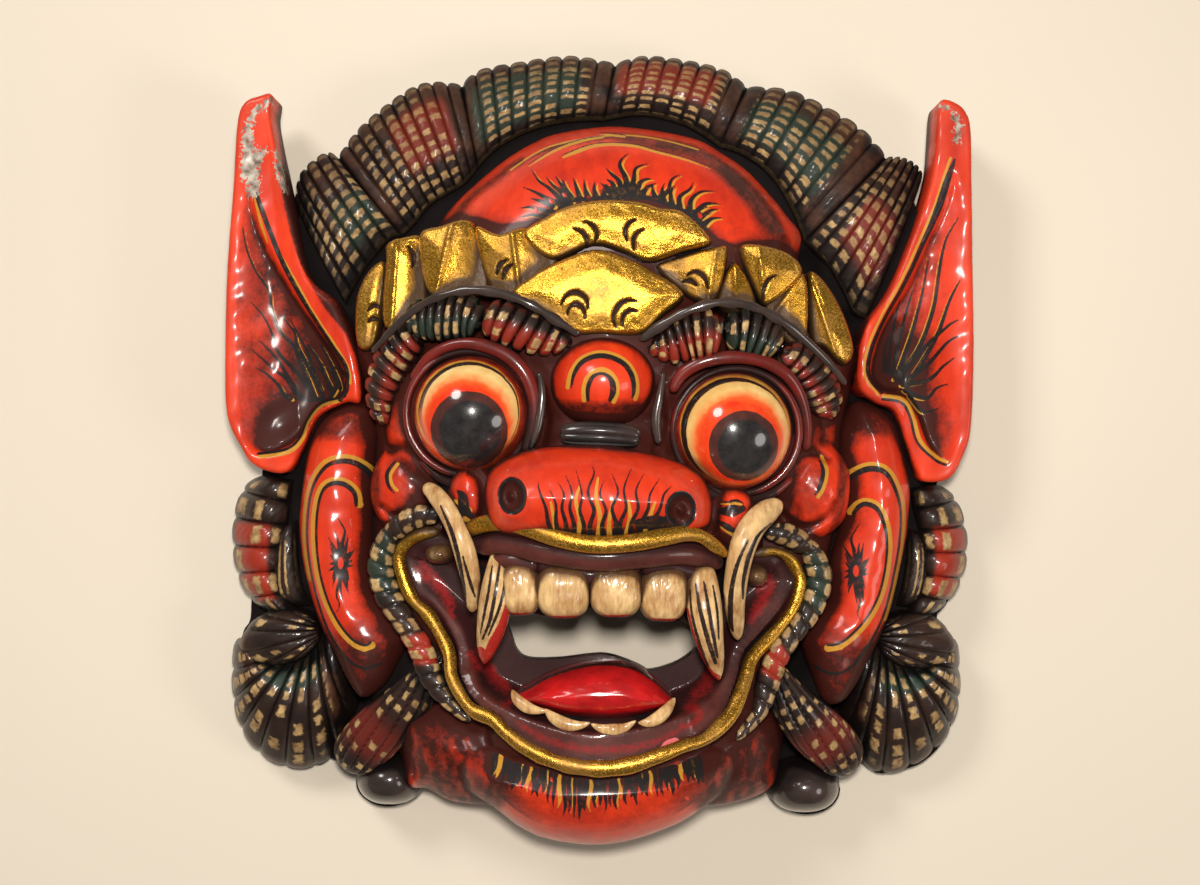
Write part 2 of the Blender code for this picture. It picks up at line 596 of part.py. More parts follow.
def cut_sheet(x, y, inside, step):
    """Triangles of the grid kept inside the silhouette, cut cleanly along it."""
    rows, columns = x.shape
    slope_y, slope_x = np.gradient(inside, step)
    close = np.abs(inside) < 0.32 * step
    steep = slope_x ** 2 + slope_y ** 2 + 1e-6
    x = np.where(close, x - inside * slope_x / steep, x)
    y = np.where(close, y - inside * slope_y / steep, y)
    level = np.where(close, 0.0, inside).ravel()
    points = list(zip(x.ravel(), y.ravel()))
    levels = list(level)
    corner = (np.arange(rows - 1)[:, None] * columns + np.arange(columns - 1)[None, :]).ravel()
    even = (corner // columns + corner % columns) % 2 == 0
    a, b, c, d = corner, corner + 1, corner + columns + 1, corner + columns
    first = np.where(even[:, None], np.stack([a, b, c], 1), np.stack([a, b, d], 1))
    second = np.where(even[:, None], np.stack([a, c, d], 1), np.stack([b, c, d], 1))
    triangles = np.vstack([first, second])
    values = level[triangles]
    whole = (values.min(axis=1) >= 0.0) & (values.max(axis=1) > 0.0)
    mixed = (values.min(axis=1) < 0.0) & (values.max(axis=1) > 0.0)
    faces = [tuple(triangle) for triangle in triangles[whole].tolist()]
    crossing = {}
    for triangle in triangles[mixed].tolist():
        ring = []
        for start, end in zip(triangle, triangle[1:] + triangle[:1]):
            if levels[start] >= 0.0:
                ring.append(start)
            if levels[start] * levels[end] < 0.0:
                key = (min(start, end), max(start, end))
                if key not in crossing:
                    one, two = key
                    share = levels[one] / (levels[one] - levels[two])
                    crossing[key] = len(points)
                    points.append(tuple(p + share * (q - p) for p, q in zip(points[one], points[two])))
                ring.append(crossing[key])
        for index in range(1, len(ring) - 1):
            faces.append((ring[0], ring[index], ring[index + 1]))
    used = sorted({index for face in faces for index in face})
    renumber = {old: new for new, old in enumerate(used)}
    return (
        np.array([points[index] for index in used]),
        [tuple(renumber[index] for index in face) for face in faces],
    )


def soften(values, reach, passes):
    """A running average over a grid, the same at each pass."""
    for _ in range(passes):
        for axis in (0, 1):
            padded = np.pad(values, [(reach, reach) if axis == side else (0, 0) for side in (0, 1)], mode="edge")
            total = np.cumsum(padded, axis=axis)
            zero = np.zeros_like(np.take(total, [0], axis=axis))
            total = np.concatenate([zero, total], axis=axis)
            size = 2 * reach + 1
            length = values.shape[axis]
            upper = np.take(total, range(size, size + length), axis=axis)
            lower = np.take(total, range(0, length), axis=axis)
            values = (upper - lower) / size
    return values


def lowest_around(values, reach):
    """The least height within a square of the grid around each place."""
    for axis in (0, 1):
        shifted = [np.roll(values, shift, axis=axis) for shift in range(-reach, reach + 1)]
        values = np.min(shifted, axis=0)
    return values


def read_grid(grid, x, y, x_low, y_low, step):
    column = np.clip((x - x_low) / step, 0, grid.shape[1] - 1.001)
    row = np.clip((y - y_low) / step, 0, grid.shape[0] - 1.001)
    left = column.astype(int)
    low = row.astype(int)
    fx, fy = column - left, row - low
    bottom = grid[low, left] * (1 - fx) + grid[low, left + 1] * fx
    top = grid[low + 1, left] * (1 - fx) + grid[low + 1, left + 1] * fx
    return bottom * (1 - fy) + top * fy


def drawn_box():
    """The lowest and highest x and y of the drawn silhouette."""
    step = 2.0
    x, y = np.meshgrid(np.arange(-190.0, 190.0, step), np.arange(-200.0, 200.0, step))
    _, inside = carve(x, y)
    kept = inside > 0.0
    lows = [float(np.min(values[kept] - inside[kept])) for values in (x, y)]
    highs = [float(np.max(values[kept] + inside[kept])) for values in (x, y)]
    return lows, highs


def build_mask():
    width, height, depth = 1e3 * MASK_WIDTH, 1e3 * MASK_HEIGHT, 1e3 * MASK_DEPTH
    step = 1e3 * CARVING_STEP
    lows, highs = drawn_box()
    wide = width / (highs[0] - lows[0])
    tall = height / (highs[1] - lows[1])
    x_values = np.arange(-0.5 * width - 4.0 * step, 0.5 * width + 4.5 * step, step)
    y_values = np.arange(-0.5 * height - 4.0 * step, 0.5 * height + 4.5 * step, step)
    x, y = np.meshgrid(x_values, y_values)
    drawn_x = x / wide + 0.5 * (highs[0] + lows[0])
    drawn_y = y / tall + 0.5 * (highs[1] + lows[1])
    front, inside = carve(drawn_x, drawn_y)
    deep = depth / float(front.max())
    front = front * deep
    places, faces = cut_sheet(x, y, inside, step)
    rim = 1e3 * RIM_WIDTH
    wall = 1e3 * WALL
    back = soften(lowest_around(front, 5), 6, 3) - wall
    cx, cy = spot(*HOLLOW_MIDDLE, 0.0)
    rx, ry = HOLLOW_RADII[0] * DRAWING_STEP - rim, HOLLOW_RADII[1] * DRAWING_STEP - rim
    away = np.sqrt(((drawn_x - cx) / rx) ** 2 + ((drawn_y - cy) / ry) ** 2)
    soft = 1e3 * HOLLOW_SOFTNESS
    share = ease((1.0 - away) * min(rx, ry) / (2.0 * soft))
    back = np.clip(back, 0.0, None) * share
    read = (x_values[0], y_values[0], step)
    top = read_grid(front, places[:, 0], places[:, 1], *read)
    under = read_grid(back, places[:, 0], places[:, 1], *read)
    under = np.minimum(under, top - 0.6 * wall)
    pattern_x = places[:, 0] / wide + 0.5 * (highs[0] + lows[0])
    pattern_y = places[:, 1] / tall + 0.5 * (highs[1] + lows[1])
    for points in (LEFT_EAR, RIGHT_EAR):
        in_ear = ease(to_loop(pattern_x, pattern_y, outline(points, 30.0)) / 4.0 + 1.0)
        under += 1e3 * EAR_LIFT * in_ear * ease((pattern_y - 5.0) / 60.0) * ease((np.abs(pattern_x) - 112.0) / 22.0)
    under = np.maximum(under, 0.0)
    mesh = bpy.data.meshes.new("mask")
    mesh.from_pydata([(px, py, pz) for (px, py), pz in zip(places, top)], [], faces)
    work = bmesh.new()
    work.from_mesh(mesh)
    bmesh.ops.recalc_face_normals(work, faces=work.faces)
    fronts = list(work.verts)
    copied = bmesh.ops.duplicate(work, geom=list(work.verts) + list(work.edges) + list(work.faces))
    below = copied["vert_map"]
    for index, vertex in enumerate(fronts):
        below[vertex].co.z = float(under[index])
    copied_faces = [item for item in copied["geom"] if isinstance(item, bmesh.types.BMFace)]
    bmesh.ops.reverse_faces(work, faces=copied_faces)
    edges = [edge for edge in work.edges if edge.is_boundary]
    own = set(fronts)
    for edge in [edge for edge in edges if edge.verts[0] in own]:
        one, two = edge.verts
        work.faces.new((one, two, below[two], below[one]))
    bmesh.ops.recalc_face_normals(work, faces=work.faces)
    for vertex in work.verts:
        px, py, pz = vertex.co
        low = 1.0 - min(1.0, pz / (deep * CHIN_EDGE_HEIGHT))
        reach = float(ease((-118.0 - py / tall) / 45.0) * ease((74.0 - abs(px / wide)) / 40.0))
        vertex.co.y = py + 1e3 * CHIN_LEAN * low * reach
    bmesh.ops.scale(work, vec=(1e-3, 1e-3, 1e-3), verts=work.verts)
    bmesh.ops.triangulate(work, faces=work.faces)
    work.to_mesh(mesh)
    work.free()
    return mesh


def middle_on_origin(mesh):
    """Moves the carving so that its box stands centred on the origin."""
    places = np.array([vertex.co[:] for vertex in mesh.vertices])
    low, high = places.min(axis=0), places.max(axis=0)
    shift = (-0.5 * (low[0] + high[0]), -0.5 * (low[1] + high[1]), -low[2])
    mesh.transform(Matrix.Translation(shift))


def paint():
    material = bpy.data.materials.new("painted wood")
    material.use_nodes = True
    surface = material.node_tree.nodes["Principled BSDF"]
    surface.inputs["Base Color"].default_value = PAINT
    surface.inputs["Roughness"].default_value = 0.35
    surface.inputs["Metallic"].default_value = 0.0
    return material


def main():
    for obj in list(bpy.data.objects):
        bpy.data.objects.remove(obj, do_unlink=True)
    collection = bpy.data.collections.new("barong mask")
    bpy.context.scene.collection.children.link(collection)
    mesh = build_mask()
    mask = bpy.data.objects.new("mask", mesh)
    collection.objects.link(mask)
    mesh.materials.append(paint())
    thin = mask.modifiers.new("carver's planes", "DECIMATE")
    thin.ratio = min(1.0, TRIANGLES / len(mesh.polygons))
    thin.use_collapse_triangulate = True
    bpy.context.view_layer.update()
    evaluated = mask.evaluated_get(bpy.context.evaluated_depsgraph_get())
    carved = bpy.data.meshes.new_from_object(evaluated)
    mask.modifiers.clear()
    mask.data = carved
    middle_on_origin(carved)


main()
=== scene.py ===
import math
import bpy
import bmesh
import numpy as np
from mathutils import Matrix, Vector
from mathutils.geometry import delaunay_2d_cdt


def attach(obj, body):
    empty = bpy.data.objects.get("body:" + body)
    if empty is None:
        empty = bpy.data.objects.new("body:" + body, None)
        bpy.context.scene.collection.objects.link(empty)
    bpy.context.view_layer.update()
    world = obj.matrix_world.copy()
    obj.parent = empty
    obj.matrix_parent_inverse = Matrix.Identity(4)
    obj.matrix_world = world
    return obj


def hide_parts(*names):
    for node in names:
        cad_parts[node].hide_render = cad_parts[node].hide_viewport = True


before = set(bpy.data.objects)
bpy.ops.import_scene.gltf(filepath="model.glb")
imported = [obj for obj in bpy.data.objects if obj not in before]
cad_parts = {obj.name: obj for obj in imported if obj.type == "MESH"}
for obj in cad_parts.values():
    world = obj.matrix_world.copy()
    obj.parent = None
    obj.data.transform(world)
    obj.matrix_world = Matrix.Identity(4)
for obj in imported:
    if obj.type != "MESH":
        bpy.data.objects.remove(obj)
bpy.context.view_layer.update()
print("frame loaded")

bpy.context.scene.view_settings.view_transform = "Standard"

# The carving follows a drawing seen from straight above: steps across and down, and heights in mm.
drawing = {
    "step": 0.449, "viewHeight": 950.0, "middle": (600.0, 442.5), "shift": (0.42, 0.81), "depth": 0.996,
}


def spot(across, down, height):
    near = drawing["step"] * (1.0 - height / drawing["viewHeight"])
    return (across - drawing["middle"][0]) * near, (drawing["middle"][1] - down) * near


def smoothLine(points, closed=False, steps=5):  # Catmull-Rom through the points, in every column
    points = np.asarray(points, dtype=float)
    count = len(points)
    pieces = count if closed else count - 1
    share = np.arange(steps)[:, None] / steps
    found = []
    for index in range(pieces):
        if closed:
            before, start, end, after = (points[(index + shift) % count] for shift in (-1, 0, 1, 2))
        else:
            before, start, end, after = (points[min(max(index + shift, 0), count - 1)]
                                        for shift in (-1, 0, 1, 2))
        found.append(
            start + 0.5 * share * (end - before)
            + share ** 2 * (before - 2.5 * start + 2.0 * end - 0.5 * after)
            + share ** 3 * (1.5 * (start - end) + 0.5 * (after - before))
        )
    if not closed:
        found.append(points[-1:])
    return np.vstack(found)


def outline(points, height, steps=5):
    return smoothLine([spot(across, down, height) for across, down in points], True, steps)


def track(points, steps=5):  # rows of x, y, height, half width
    rows = [(*spot(across, down, high), high, drawing["step"] * half) for across, down, high, half in points]
    return smoothLine(rows, False, steps)


def evenTrack(line, gap):  # the same line with points an equal distance apart
    lengths = np.r_[0.0, np.cumsum(np.linalg.norm(np.diff(line[:, :3], axis=0), axis=1))]
    count = max(4, int(round(lengths[-1] / gap)) + 1)
    even = np.linspace(0.0, lengths[-1], count)
    return np.stack([np.interp(even, lengths, line[:, column]) for column in range(line.shape[1])], axis=1)


def toLoop(x, y, loop):  # distance to a closed outline, positive inside
    nearest = np.full(x.shape, 1e9)
    inside = np.zeros(x.shape, dtype=bool)
    for (ax, ay), (bx, by) in zip(loop, np.roll(loop, -1, axis=0)):
        ex, ey = bx - ax, by - ay
        share = np.clip(((x - ax) * ex + (y - ay) * ey) / (ex * ex + ey * ey + 1e-12), 0.0, 1.0)
        nearest = np.minimum(nearest, (x - ax - share * ex) ** 2 + (y - ay - share * ey) ** 2)
        if ay != by:
            inside ^= ((ay > y) != (by > y)) & (x < ax + (y - ay) * ex / ey)
    return np.where(inside, 1.0, -1.0) * np.sqrt(nearest)


def toTrack(x, y, line):  # distance, height, half width and share of the way along
    nearest = np.full(x.shape, 1e9)
    high = np.zeros(x.shape)
    half = np.ones(x.shape)
    along = np.zeros(x.shape)
    for index, (start, end) in enumerate(zip(line[:-1], line[1:])):
        ex, ey = end[0] - start[0], end[1] - start[1]
        share = np.clip(((x - start[0]) * ex + (y - start[1]) * ey) / (ex * ex + ey * ey + 1e-12), 0.0, 1.0)
        gap = (x - start[0] - share * ex) ** 2 + (y - start[1] - share * ey) ** 2
        closer = gap < nearest
        nearest = np.where(closer, gap, nearest)
        high = np.where(closer, start[2] + share * (end[2] - start[2]), high)
        half = np.where(closer, start[3] + share * (end[3] - start[3]), half)
        along = np.where(closer, (index + share) / (len(line) - 1), along)
    return np.sqrt(nearest), high, half, along


def bulge(share):
    share = np.clip(share, 0.0, 1.0)
    return np.sqrt(np.clip(1.0 - (1.0 - share) ** 2, 0.0, 1.0))


def ease(share):
    share = np.clip(share, 0.0, 1.0)
    return share * share * (3.0 - 2.0 * share)


def blendUp(low, high, soft):
    mix = np.clip(0.5 + 0.5 * (high - low) / soft, 0.0, 1.0)
    return low * (1.0 - mix) + high * mix + soft * mix * (1.0 - mix)


def hashOf(*values):  # a repeatable number from 0 to 1
    total = sum(value * weight for value, weight in zip(values, (12.9898, 78.233, 37.719, 93.989)))
    return math.modf(abs(math.sin(total) * 43758.5453))[0]


def wobble(x, y, size, seed):  # smooth unevenness, about -1 to 1
    total = 0.0
    for turn in range(4):
        angle = 2.0 * math.pi * hashOf(seed, turn)
        pitch = 2.0 * math.pi / (size * (0.7 + 0.7 * hashOf(seed, turn, 5)))
        along = x * math.cos(angle) + y * math.sin(angle)
        total = total + np.sin(along * pitch + 6.3 * hashOf(seed, turn, 9))
    return total / 2.6


class Relief:  # heights over places x, y, in mm
    def __init__(self, x, y):
        self.x, self.y = x, y
        self.z = np.zeros(x.shape)

    def near(self, points, reach):
        low = np.min(points[:, :2], axis=0) - reach
        high = np.max(points[:, :2], axis=0) + reach
        across = (self.x > low[0]) & (self.x < high[0])
        return np.flatnonzero(across & (self.y > low[1]) & (self.y < high[1]))

    def pillow(self, points, base, top, shoulder, soft=2.0):
        loop = outline(points, base)
        here = self.near(loop, 1.0)
        depth = toLoop(self.x[here], self.y[here], loop)
        high = np.where(depth > 0.0, base + (top - base) * bulge(depth / shoulder), -1e3)
        self.z[here] = blendUp(self.z[here], high, soft)

    def mass(self, centre, radii, base, top, soft):
        cx, cy = spot(*centre, top)
        near = drawing["step"] * (1.0 - top / drawing["viewHeight"])
        rx, ry = radii[0] * near, radii[1] * near
        here = self.near(np.array([(cx - rx, cy - ry), (cx + rx, cy + ry)]), 1.0)
        away = ((self.x[here] - cx) / rx) ** 2 + ((self.y[here] - cy) / ry) ** 2
        high = np.where(away < 1.0, base + (top - base) * np.sqrt(np.clip(1.0 - away, 0.0, 1.0)), -1e3)
        self.z[here] = blendUp(self.z[here], high, soft)

    def sink(self, points, height, shoulder, level=80.0):
        loop = outline(points, level)
        here = self.near(loop, 1.0)
        depth = toLoop(self.x[here], self.y[here], loop)
        share = ease(depth / shoulder)
        low = np.minimum(self.z[here], height)
        self.z[here] = np.where(depth > 0.0, self.z[here] * (1.0 - share) + low * share, self.z[here])

    def groove(self, points, depth):
        line = track(points)
        here = self.near(line, 12.0)
        gap, _, half, along = toTrack(self.x[here], self.y[here], line)
        ends = ease(8.0 * np.minimum(along, 1.0 - along) + 0.25)
        self.z[here] -= depth * ends * ease(1.0 - gap / half)


def strokeField(x, y, strokes, height, far=4.0):  # signed distance to painted strokes, negative on the paint
    field = np.full(x.shape, far)
    for stroke in strokes:
        rows = [(*spot(across, down, height), 0.0, half * drawing["step"]) for across, down, half in stroke]
        line = smoothLine(rows, False, 5)
        low = np.min(line[:, :2], axis=0) - far
        high = np.max(line[:, :2], axis=0) + far
        here = np.flatnonzero((x > low[0]) & (x < high[0]) & (y > low[1]) & (y < high[1]))
        if len(here):
            gap, _, half, _ = toTrack(x[here], y[here], line)
            field[here] = np.minimum(field[here], gap - half)
    return field


def cutSheet(x, y, inside, step):  # grid triangles kept inside an outline, cut cleanly along it
    rows, columns = x.shape
    slopeY, slopeX = np.gradient(inside, step)
    close = np.abs(inside) < 0.32 * step
    steep = slopeX ** 2 + slopeY ** 2 + 1e-6
    x = np.where(close, x - inside * slopeX / steep, x)
    y = np.where(close, y - inside * slopeY / steep, y)
    level = np.where(close, 0.0, inside).ravel()
    points = list(zip(x.ravel().tolist(), y.ravel().tolist()))
    levels = level.tolist()
    corner = (np.arange(rows - 1)[:, None] * columns + np.arange(columns - 1)[None, :]).ravel()
    even = (corner // columns + corner % columns) % 2 == 0
    a, b, c, d = corner, corner + 1, corner + columns + 1, corner + columns
    first = np.where(even[:, None], np.stack([a, b, c], 1), np.stack([a, b, d], 1))
    second = np.where(even[:, None], np.stack([a, c, d], 1), np.stack([b, c, d], 1))
    triangles = np.vstack([first, second])
    values = level[triangles]
    whole = (values.min(axis=1) >= 0.0) & (values.max(axis=1) > 0.0)
    mixed = (values.min(axis=1) < 0.0) & (values.max(axis=1) > 0.0)
    faces = triangles[whole].tolist()
    crossing = {}
    for triangle in triangles[mixed].tolist():
        ring = []
        for start, end in zip(triangle, triangle[1:] + triangle[:1]):
            if levels[start] >= 0.0:
                ring.append(start)
            if levels[start] * levels[end] < 0.0:
                key = (min(start, end), max(start, end))
                if key not in crossing:
                    one, two = key
                    share = levels[one] / (levels[one] - levels[two])
                    crossing[key] = len(points)
                    points.append(tuple(p + share * (q - p) for p, q in zip(points[one], points[two])))
                ring.append(crossing[key])
        for index in range(1, len(ring) - 1):
            faces.append([ring[0], ring[index], ring[index + 1]])
    faces = np.array(faces)
    used, faces = np.unique(faces, return_inverse=True)
    return np.array(points)[used], faces.reshape(-1, 3)


def boundaryEdges(faces):  # directed edges that only one triangle has
    edges = np.vstack([faces[:, [0, 1]], faces[:, [1, 2]], faces[:, [2, 0]]])
    size = int(faces.max()) + 1
    keys = edges[:, 0] * size + edges[:, 1]
    back = edges[:, 1] * size + edges[:, 0]
    return edges[~np.isin(keys, back)]


def edgeLoops(edges):
    follow = dict(edges.tolist())
    loops = []
    while follow:
        start, current = follow.popitem()
        loop = [start]
        while current != start and current in follow:
            loop.append(current)
            current = follow.pop(current)
        loops.append(loop)
    return loops


def gridSheet(loops, holes, step, surface, margin=2.0):  # a sheet inside outlines, at surface(x, y)
    corners = np.vstack(loops)
    low, high = corners.min(axis=0) - margin, corners.max(axis=0) + margin
    x, y = np.meshgrid(np.arange(low[0], high[0], step), np.arange(low[1], high[1], step))
    inside = np.full(x.size, -1e9)
    for loop in loops:
        inside = np.maximum(inside, toLoop(x.ravel(), y.ravel(), loop))
    for loop in holes:
        inside = np.minimum(inside, -toLoop(x.ravel(), y.ravel(), loop))
    flat, faces = cutSheet(x, y, inside.reshape(x.shape), step)
    return np.column_stack([flat, surface(flat[:, 0], flat[:, 1])]), faces


# Finished shapes wait here until the hollows of the whole carving are known.
shapes = []


def keep(name, places, faces, materials, slot, attributes=None, uv=None, faceSlots=None, sharp=40.0,
         sheet=False):
    shapes.append({
        "name": name, "places": np.asarray(places, dtype=float), "faces": faces, "materials": materials,
        "slot": slot, "attributes": attributes or {}, "uv": uv, "faceSlots": faceSlots, "sharp": sharp,
        "sheet": sheet,
    })


def loft(rings):  # quads between equal rings, faces out, the two ends closed to a point
    rings = np.asarray(rings)
    count, sides, _ = rings.shape
    places = rings.reshape(-1, 3)
    faces = []
    for row in range(count - 1):
        here, after = row * sides, (row + 1) * sides
        for side in range(sides):
            beside = (side + 1) % sides
            faces.append((here + side, here + beside, after + beside, after + side))
    for row, flip in ((0, True), (count - 1, False)):
        centre = len(places)
        places = np.vstack([places, rings[row].mean(axis=0)])
        for side in range(sides):
            pair = (row * sides + side, row * sides + (side + 1) % sides)
            faces.append((pair[1], pair[0], centre) if flip else (pair[0], pair[1], centre))
    return places, faces


def dome(centre, radii, top, base, turn=0.0, rings=18, sides=40, fullness=2.0, depth=None):
    # a closed oval cap, its rim at the base height and its underside flat
    cx, cy = spot(*centre, top)
    near = drawing["step"] * (1.0 - top / drawing["viewHeight"])
    rx, ry = radii[0] * near, radii[1] * near
    turns = np.linspace(0.0, 2.0 * math.pi, sides, endpoint=False)
    power = 2.0 / fullness
    cosine = np.sign(np.cos(turns)) * np.abs(np.cos(turns)) ** power
    sine = np.sign(np.sin(turns)) * np.abs(np.sin(turns)) ** power
    stack = []
    for row in range(rings):
        slope = 0.5 * math.pi * (1.0 - row / rings)
        out, up = math.sin(slope) ** power, math.cos(slope) ** power
        dx, dy = rx * out * cosine, ry * out * sine
        stack.append(np.stack([
            cx + dx * math.cos(turn) - dy * math.sin(turn), cy + dx * math.sin(turn) + dy * math.cos(turn),
            np.full(sides, base + (top - base) * up),
        ], 1))
    low = stack[0].copy()
    low[:, 2] = base - 2.0 if depth is None else base - depth
    places, faces = loft([low] + stack)
    places[-1][2] = top
    return places, faces


# The finishes. Colours are linear.


def add(tree, kind, inputs=None, **settings):
    made = tree.nodes.new(kind)
    for name, value in settings.items():
        setattr(made, name, value)
    for key, value in (inputs or {}).items():
        socket = made.inputs[key]
        if isinstance(value, bpy.types.NodeSocket):
            tree.links.new(value, socket)
        else:
            socket.default_value = value
    return made


def maths(tree, operation, first, second=0.5, third=None, clamp=False):
    inputs = {0: first, 1: second}
    if third is not None:
        inputs[2] = third
    return add(tree, "ShaderNodeMath", inputs, operation=operation, use_clamp=clamp).outputs[0]


def times(tree, first, second, **more):
    return maths(tree, "MULTIPLY", first, second, **more)


def plus(tree, first, second):
    return maths(tree, "ADD", first, second)


def minus(tree, first, second):
    return maths(tree, "SUBTRACT", first, second)


def scaled(tree, first, share, offset):
    return maths(tree, "MULTIPLY_ADD", first, share, offset)


def blended(tree, share, under, over, mode="MIX"):
    made = add(tree, "ShaderNodeMix", data_type="RGBA", blend_type=mode)
    for socket, value in ((made.inputs[0], share), (made.inputs[6], under), (made.inputs[7], over)):
        if isinstance(value, bpy.types.NodeSocket):
            tree.links.new(value, socket)
        else:
            socket.default_value = value if isinstance(value, float) else (*value[:3], 1.0)
    return made.outputs[2]


def ranged(tree, value, low, high, start=0.0, end=1.0):
    return add(tree, "ShaderNodeMapRange", {0: value, 1: low, 2: high, 3: start, 4: end},
               clamp=True).outputs[0]


def objectPlaces(tree):
    return add(tree, "ShaderNodeTexCoord").outputs["Object"]


def stretched(tree, where, scale):
    return add(tree, "ShaderNodeMapping", {"Vector": where, "Scale": scale}).outputs[0]


def noise(tree, where, scale, detail=2.0, rough=0.5):
    return add(tree, "ShaderNodeTexNoise", {
        "Vector": where, "Scale": scale, "Detail": detail, "Roughness": rough}).outputs["Fac"]


def newGroup(name, inputs, outputs):  # a group with named sockets, their kind told by the value
    group = bpy.data.node_groups.new(name, "ShaderNodeTree")
    for label, value in inputs.items():
        kind = "NodeSocketFloat" if isinstance(value, float) else "NodeSocketColor"
        group.interface.new_socket(label, in_out="INPUT", socket_type=kind).default_value = value
    for label, kind in outputs.items():
        group.interface.new_socket(label, in_out="OUTPUT", socket_type="NodeSocket" + kind)
    return group, group.nodes.new("NodeGroupInput").outputs, group.nodes.new("NodeGroupOutput").inputs


def place(tree, group, inputs):
    made = add(tree, "ShaderNodeGroup", node_tree=group)
    for key, value in inputs.items():
        if isinstance(value, bpy.types.NodeSocket):
            tree.links.new(value, made.inputs[key])
        else:
            threeParts = isinstance(value, tuple) and len(value) == 3
            made.inputs[key].default_value = (*value, 1.0) if threeParts else value
    return made.outputs


def washAndShadeGroup():  # dark wash in the hollows, partly the mask's antiquing and partly painted shade, with each piece's painted shade added in; and the high places lightened, partly rubbed paint and partly painted highlight
    group, given, out = newGroup("wash and painted shade in the hollows",
                                 {"Color": (0.5, 0.1, 0.05, 1.0), "WashAndShade": (0.03, 0.01, 0.01, 1.0),
                                  "Hollow": 0.0, "Amount": 1.0, "Patchy": 0.5, "RubbedAndLit": 0.2,
                                  "Scale": 90.0}, {"Color": "Color", "Mask": "Float"})
    where = objectPlaces(group)
    cloud = noise(group, where, given["Scale"], 5.0, 0.65)
    fine = noise(group, where, times(group, given["Scale"], 7.0), 3.0, 0.6)
    cloudy = minus(group, cloud, 0.5)
    speck = minus(group, fine, 0.5)
    uneven = times(group, scaled(group, speck, 0.45, cloudy), given["Patchy"])
    total = plus(group, given["Hollow"], times(group, uneven, 2.2))
    mask = ranged(group, total, 0.05, 0.95)
    mask = times(group, mask, given["Amount"], clamp=True)
    # painted highlight, partly rubbed paint: the high places lightened towards orange
    bright = ranged(group, times(group, total, -1.0), 0.1, 0.9)
    bright = times(group, bright, given["RubbedAndLit"], clamp=True)
    lit = blended(group, bright, given["Color"], (1.0, 0.55, 0.35), "SCREEN")
    half = blended(group, times(group, bright, 0.35), given["Color"], lit)
    group.links.new(blended(group, mask, half, given["WashAndShade"]), out["Color"])
    group.links.new(mask, out["Mask"])
    return group


def strokeGroup():  # a painted stroke from a distance in mm, its edge uneven, its paint thin in places
    group, given, out = newGroup("brush stroke", {"Distance": 4.0, "Uneven": 0.25, "Soft": 0.12,
                                        "Thin": 0.15}, {"Mask": "Float"})
    where = objectPlaces(group)
    edge = noise(group, where, 700.0, 2.0)
    moved = scaled(group, minus(group, edge, 0.5), given["Uneven"],
                  given["Distance"])
    mask = ranged(group, maths(group, "DIVIDE", moved, given["Soft"]), 1.0, -1.0)
    worn = noise(group, where, 420.0, 4.0, 0.7)
    gone = times(group, ranged(group, worn, 0.52, 0.72), given["Thin"])
    group.links.new(times(group, mask, minus(group, 1.0, gone), clamp=True), out["Mask"])
    return group


def discGroup():  # inside a circle seen from above, in mm
    group, given, out = newGroup("disc", {"Across": 0.0, "Up": 0.0, "Radius": 10.0, "Uneven": 0.5,
                                        "Soft": 0.15}, {"Mask": "Float"})
    where = objectPlaces(group)
    axes = add(group, "ShaderNodeSeparateXYZ", {0: where})
    dx = minus(group, times(group, axes.outputs[0], 1000.0), given["Across"])
    dy = minus(group, times(group, axes.outputs[1], 1000.0), given["Up"])
    reach = maths(group, "SQRT", plus(group, times(group, dx, dx), times(group, dy, dy)))
    edge = noise(group, where, 220.0, 3.0)
    reach = scaled(group, minus(group, edge, 0.5), given["Uneven"], reach)
    share = maths(group, "DIVIDE", minus(group, reach, given["Radius"]), given["Soft"])
    group.links.new(ranged(group, share, 1.0, -1.0), out["Mask"])
    return group


def dashGroup():  # cream dashes across combed strands: UV is strand and row
    group, given, out = newGroup("dashes across the strands",
                                 {"Strand": 0.0, "Row": 0.0, "Width": 0.32, "Length": 0.3, "Kept": 0.85,
                                  "Jitter": 0.25}, {"Mask": "Float", "Random": "Float", "Cell": "Vector"})
    where = objectPlaces(group)
    strandCell = maths(group, "FLOOR", given["Strand"], 0.0)
    rowCell = maths(group, "FLOOR", given["Row"], 0.0)
    cell = add(group, "ShaderNodeCombineXYZ", {0: strandCell, 1: rowCell, 2: 0.37}).outputs[0]
    random = add(group, "ShaderNodeTexWhiteNoise", {"Vector": cell}, noise_dimensions="3D")
    parts = add(group, "ShaderNodeSeparateColor", {0: random.outputs["Color"]})
    rough = noise(group, where, 520.0, 3.0)
    shake = times(group, minus(group, rough, 0.5), 0.35)
    strand = maths(group, "ABSOLUTE", minus(group, maths(group, "FRACT", given["Strand"], 0.0), 0.5), 0.0)
    shift = times(group, minus(group, parts.outputs[0], 0.5), given["Jitter"])
    row = minus(group, maths(group, "FRACT", given["Row"], 0.0), plus(group, 0.5, shift))
    row = maths(group, "ABSOLUTE", row, 0.0)
    width = times(group, given["Width"], scaled(group, parts.outputs[1], 0.35, 0.8))
    length = times(group, given["Length"], scaled(group, parts.outputs[2], 0.5, 0.72))
    inStrand = ranged(group, plus(group, minus(group, strand, width), shake), 0.05, -0.05)
    inRow = ranged(group, plus(group, minus(group, row, length), shake), 0.06, -0.06)
    present = maths(group, "LESS_THAN", random.outputs["Value"], given["Kept"])
    mask = times(group, times(group, inStrand, inRow), present)
    group.links.new(mask, out["Mask"])
    group.links.new(random.outputs["Value"], out["Random"])
    group.links.new(cell, out["Cell"])
    return group


washAndShadeNodes = washAndShadeGroup()
stroke = strokeGroup()
disc = discGroup()
dashes = dashGroup()


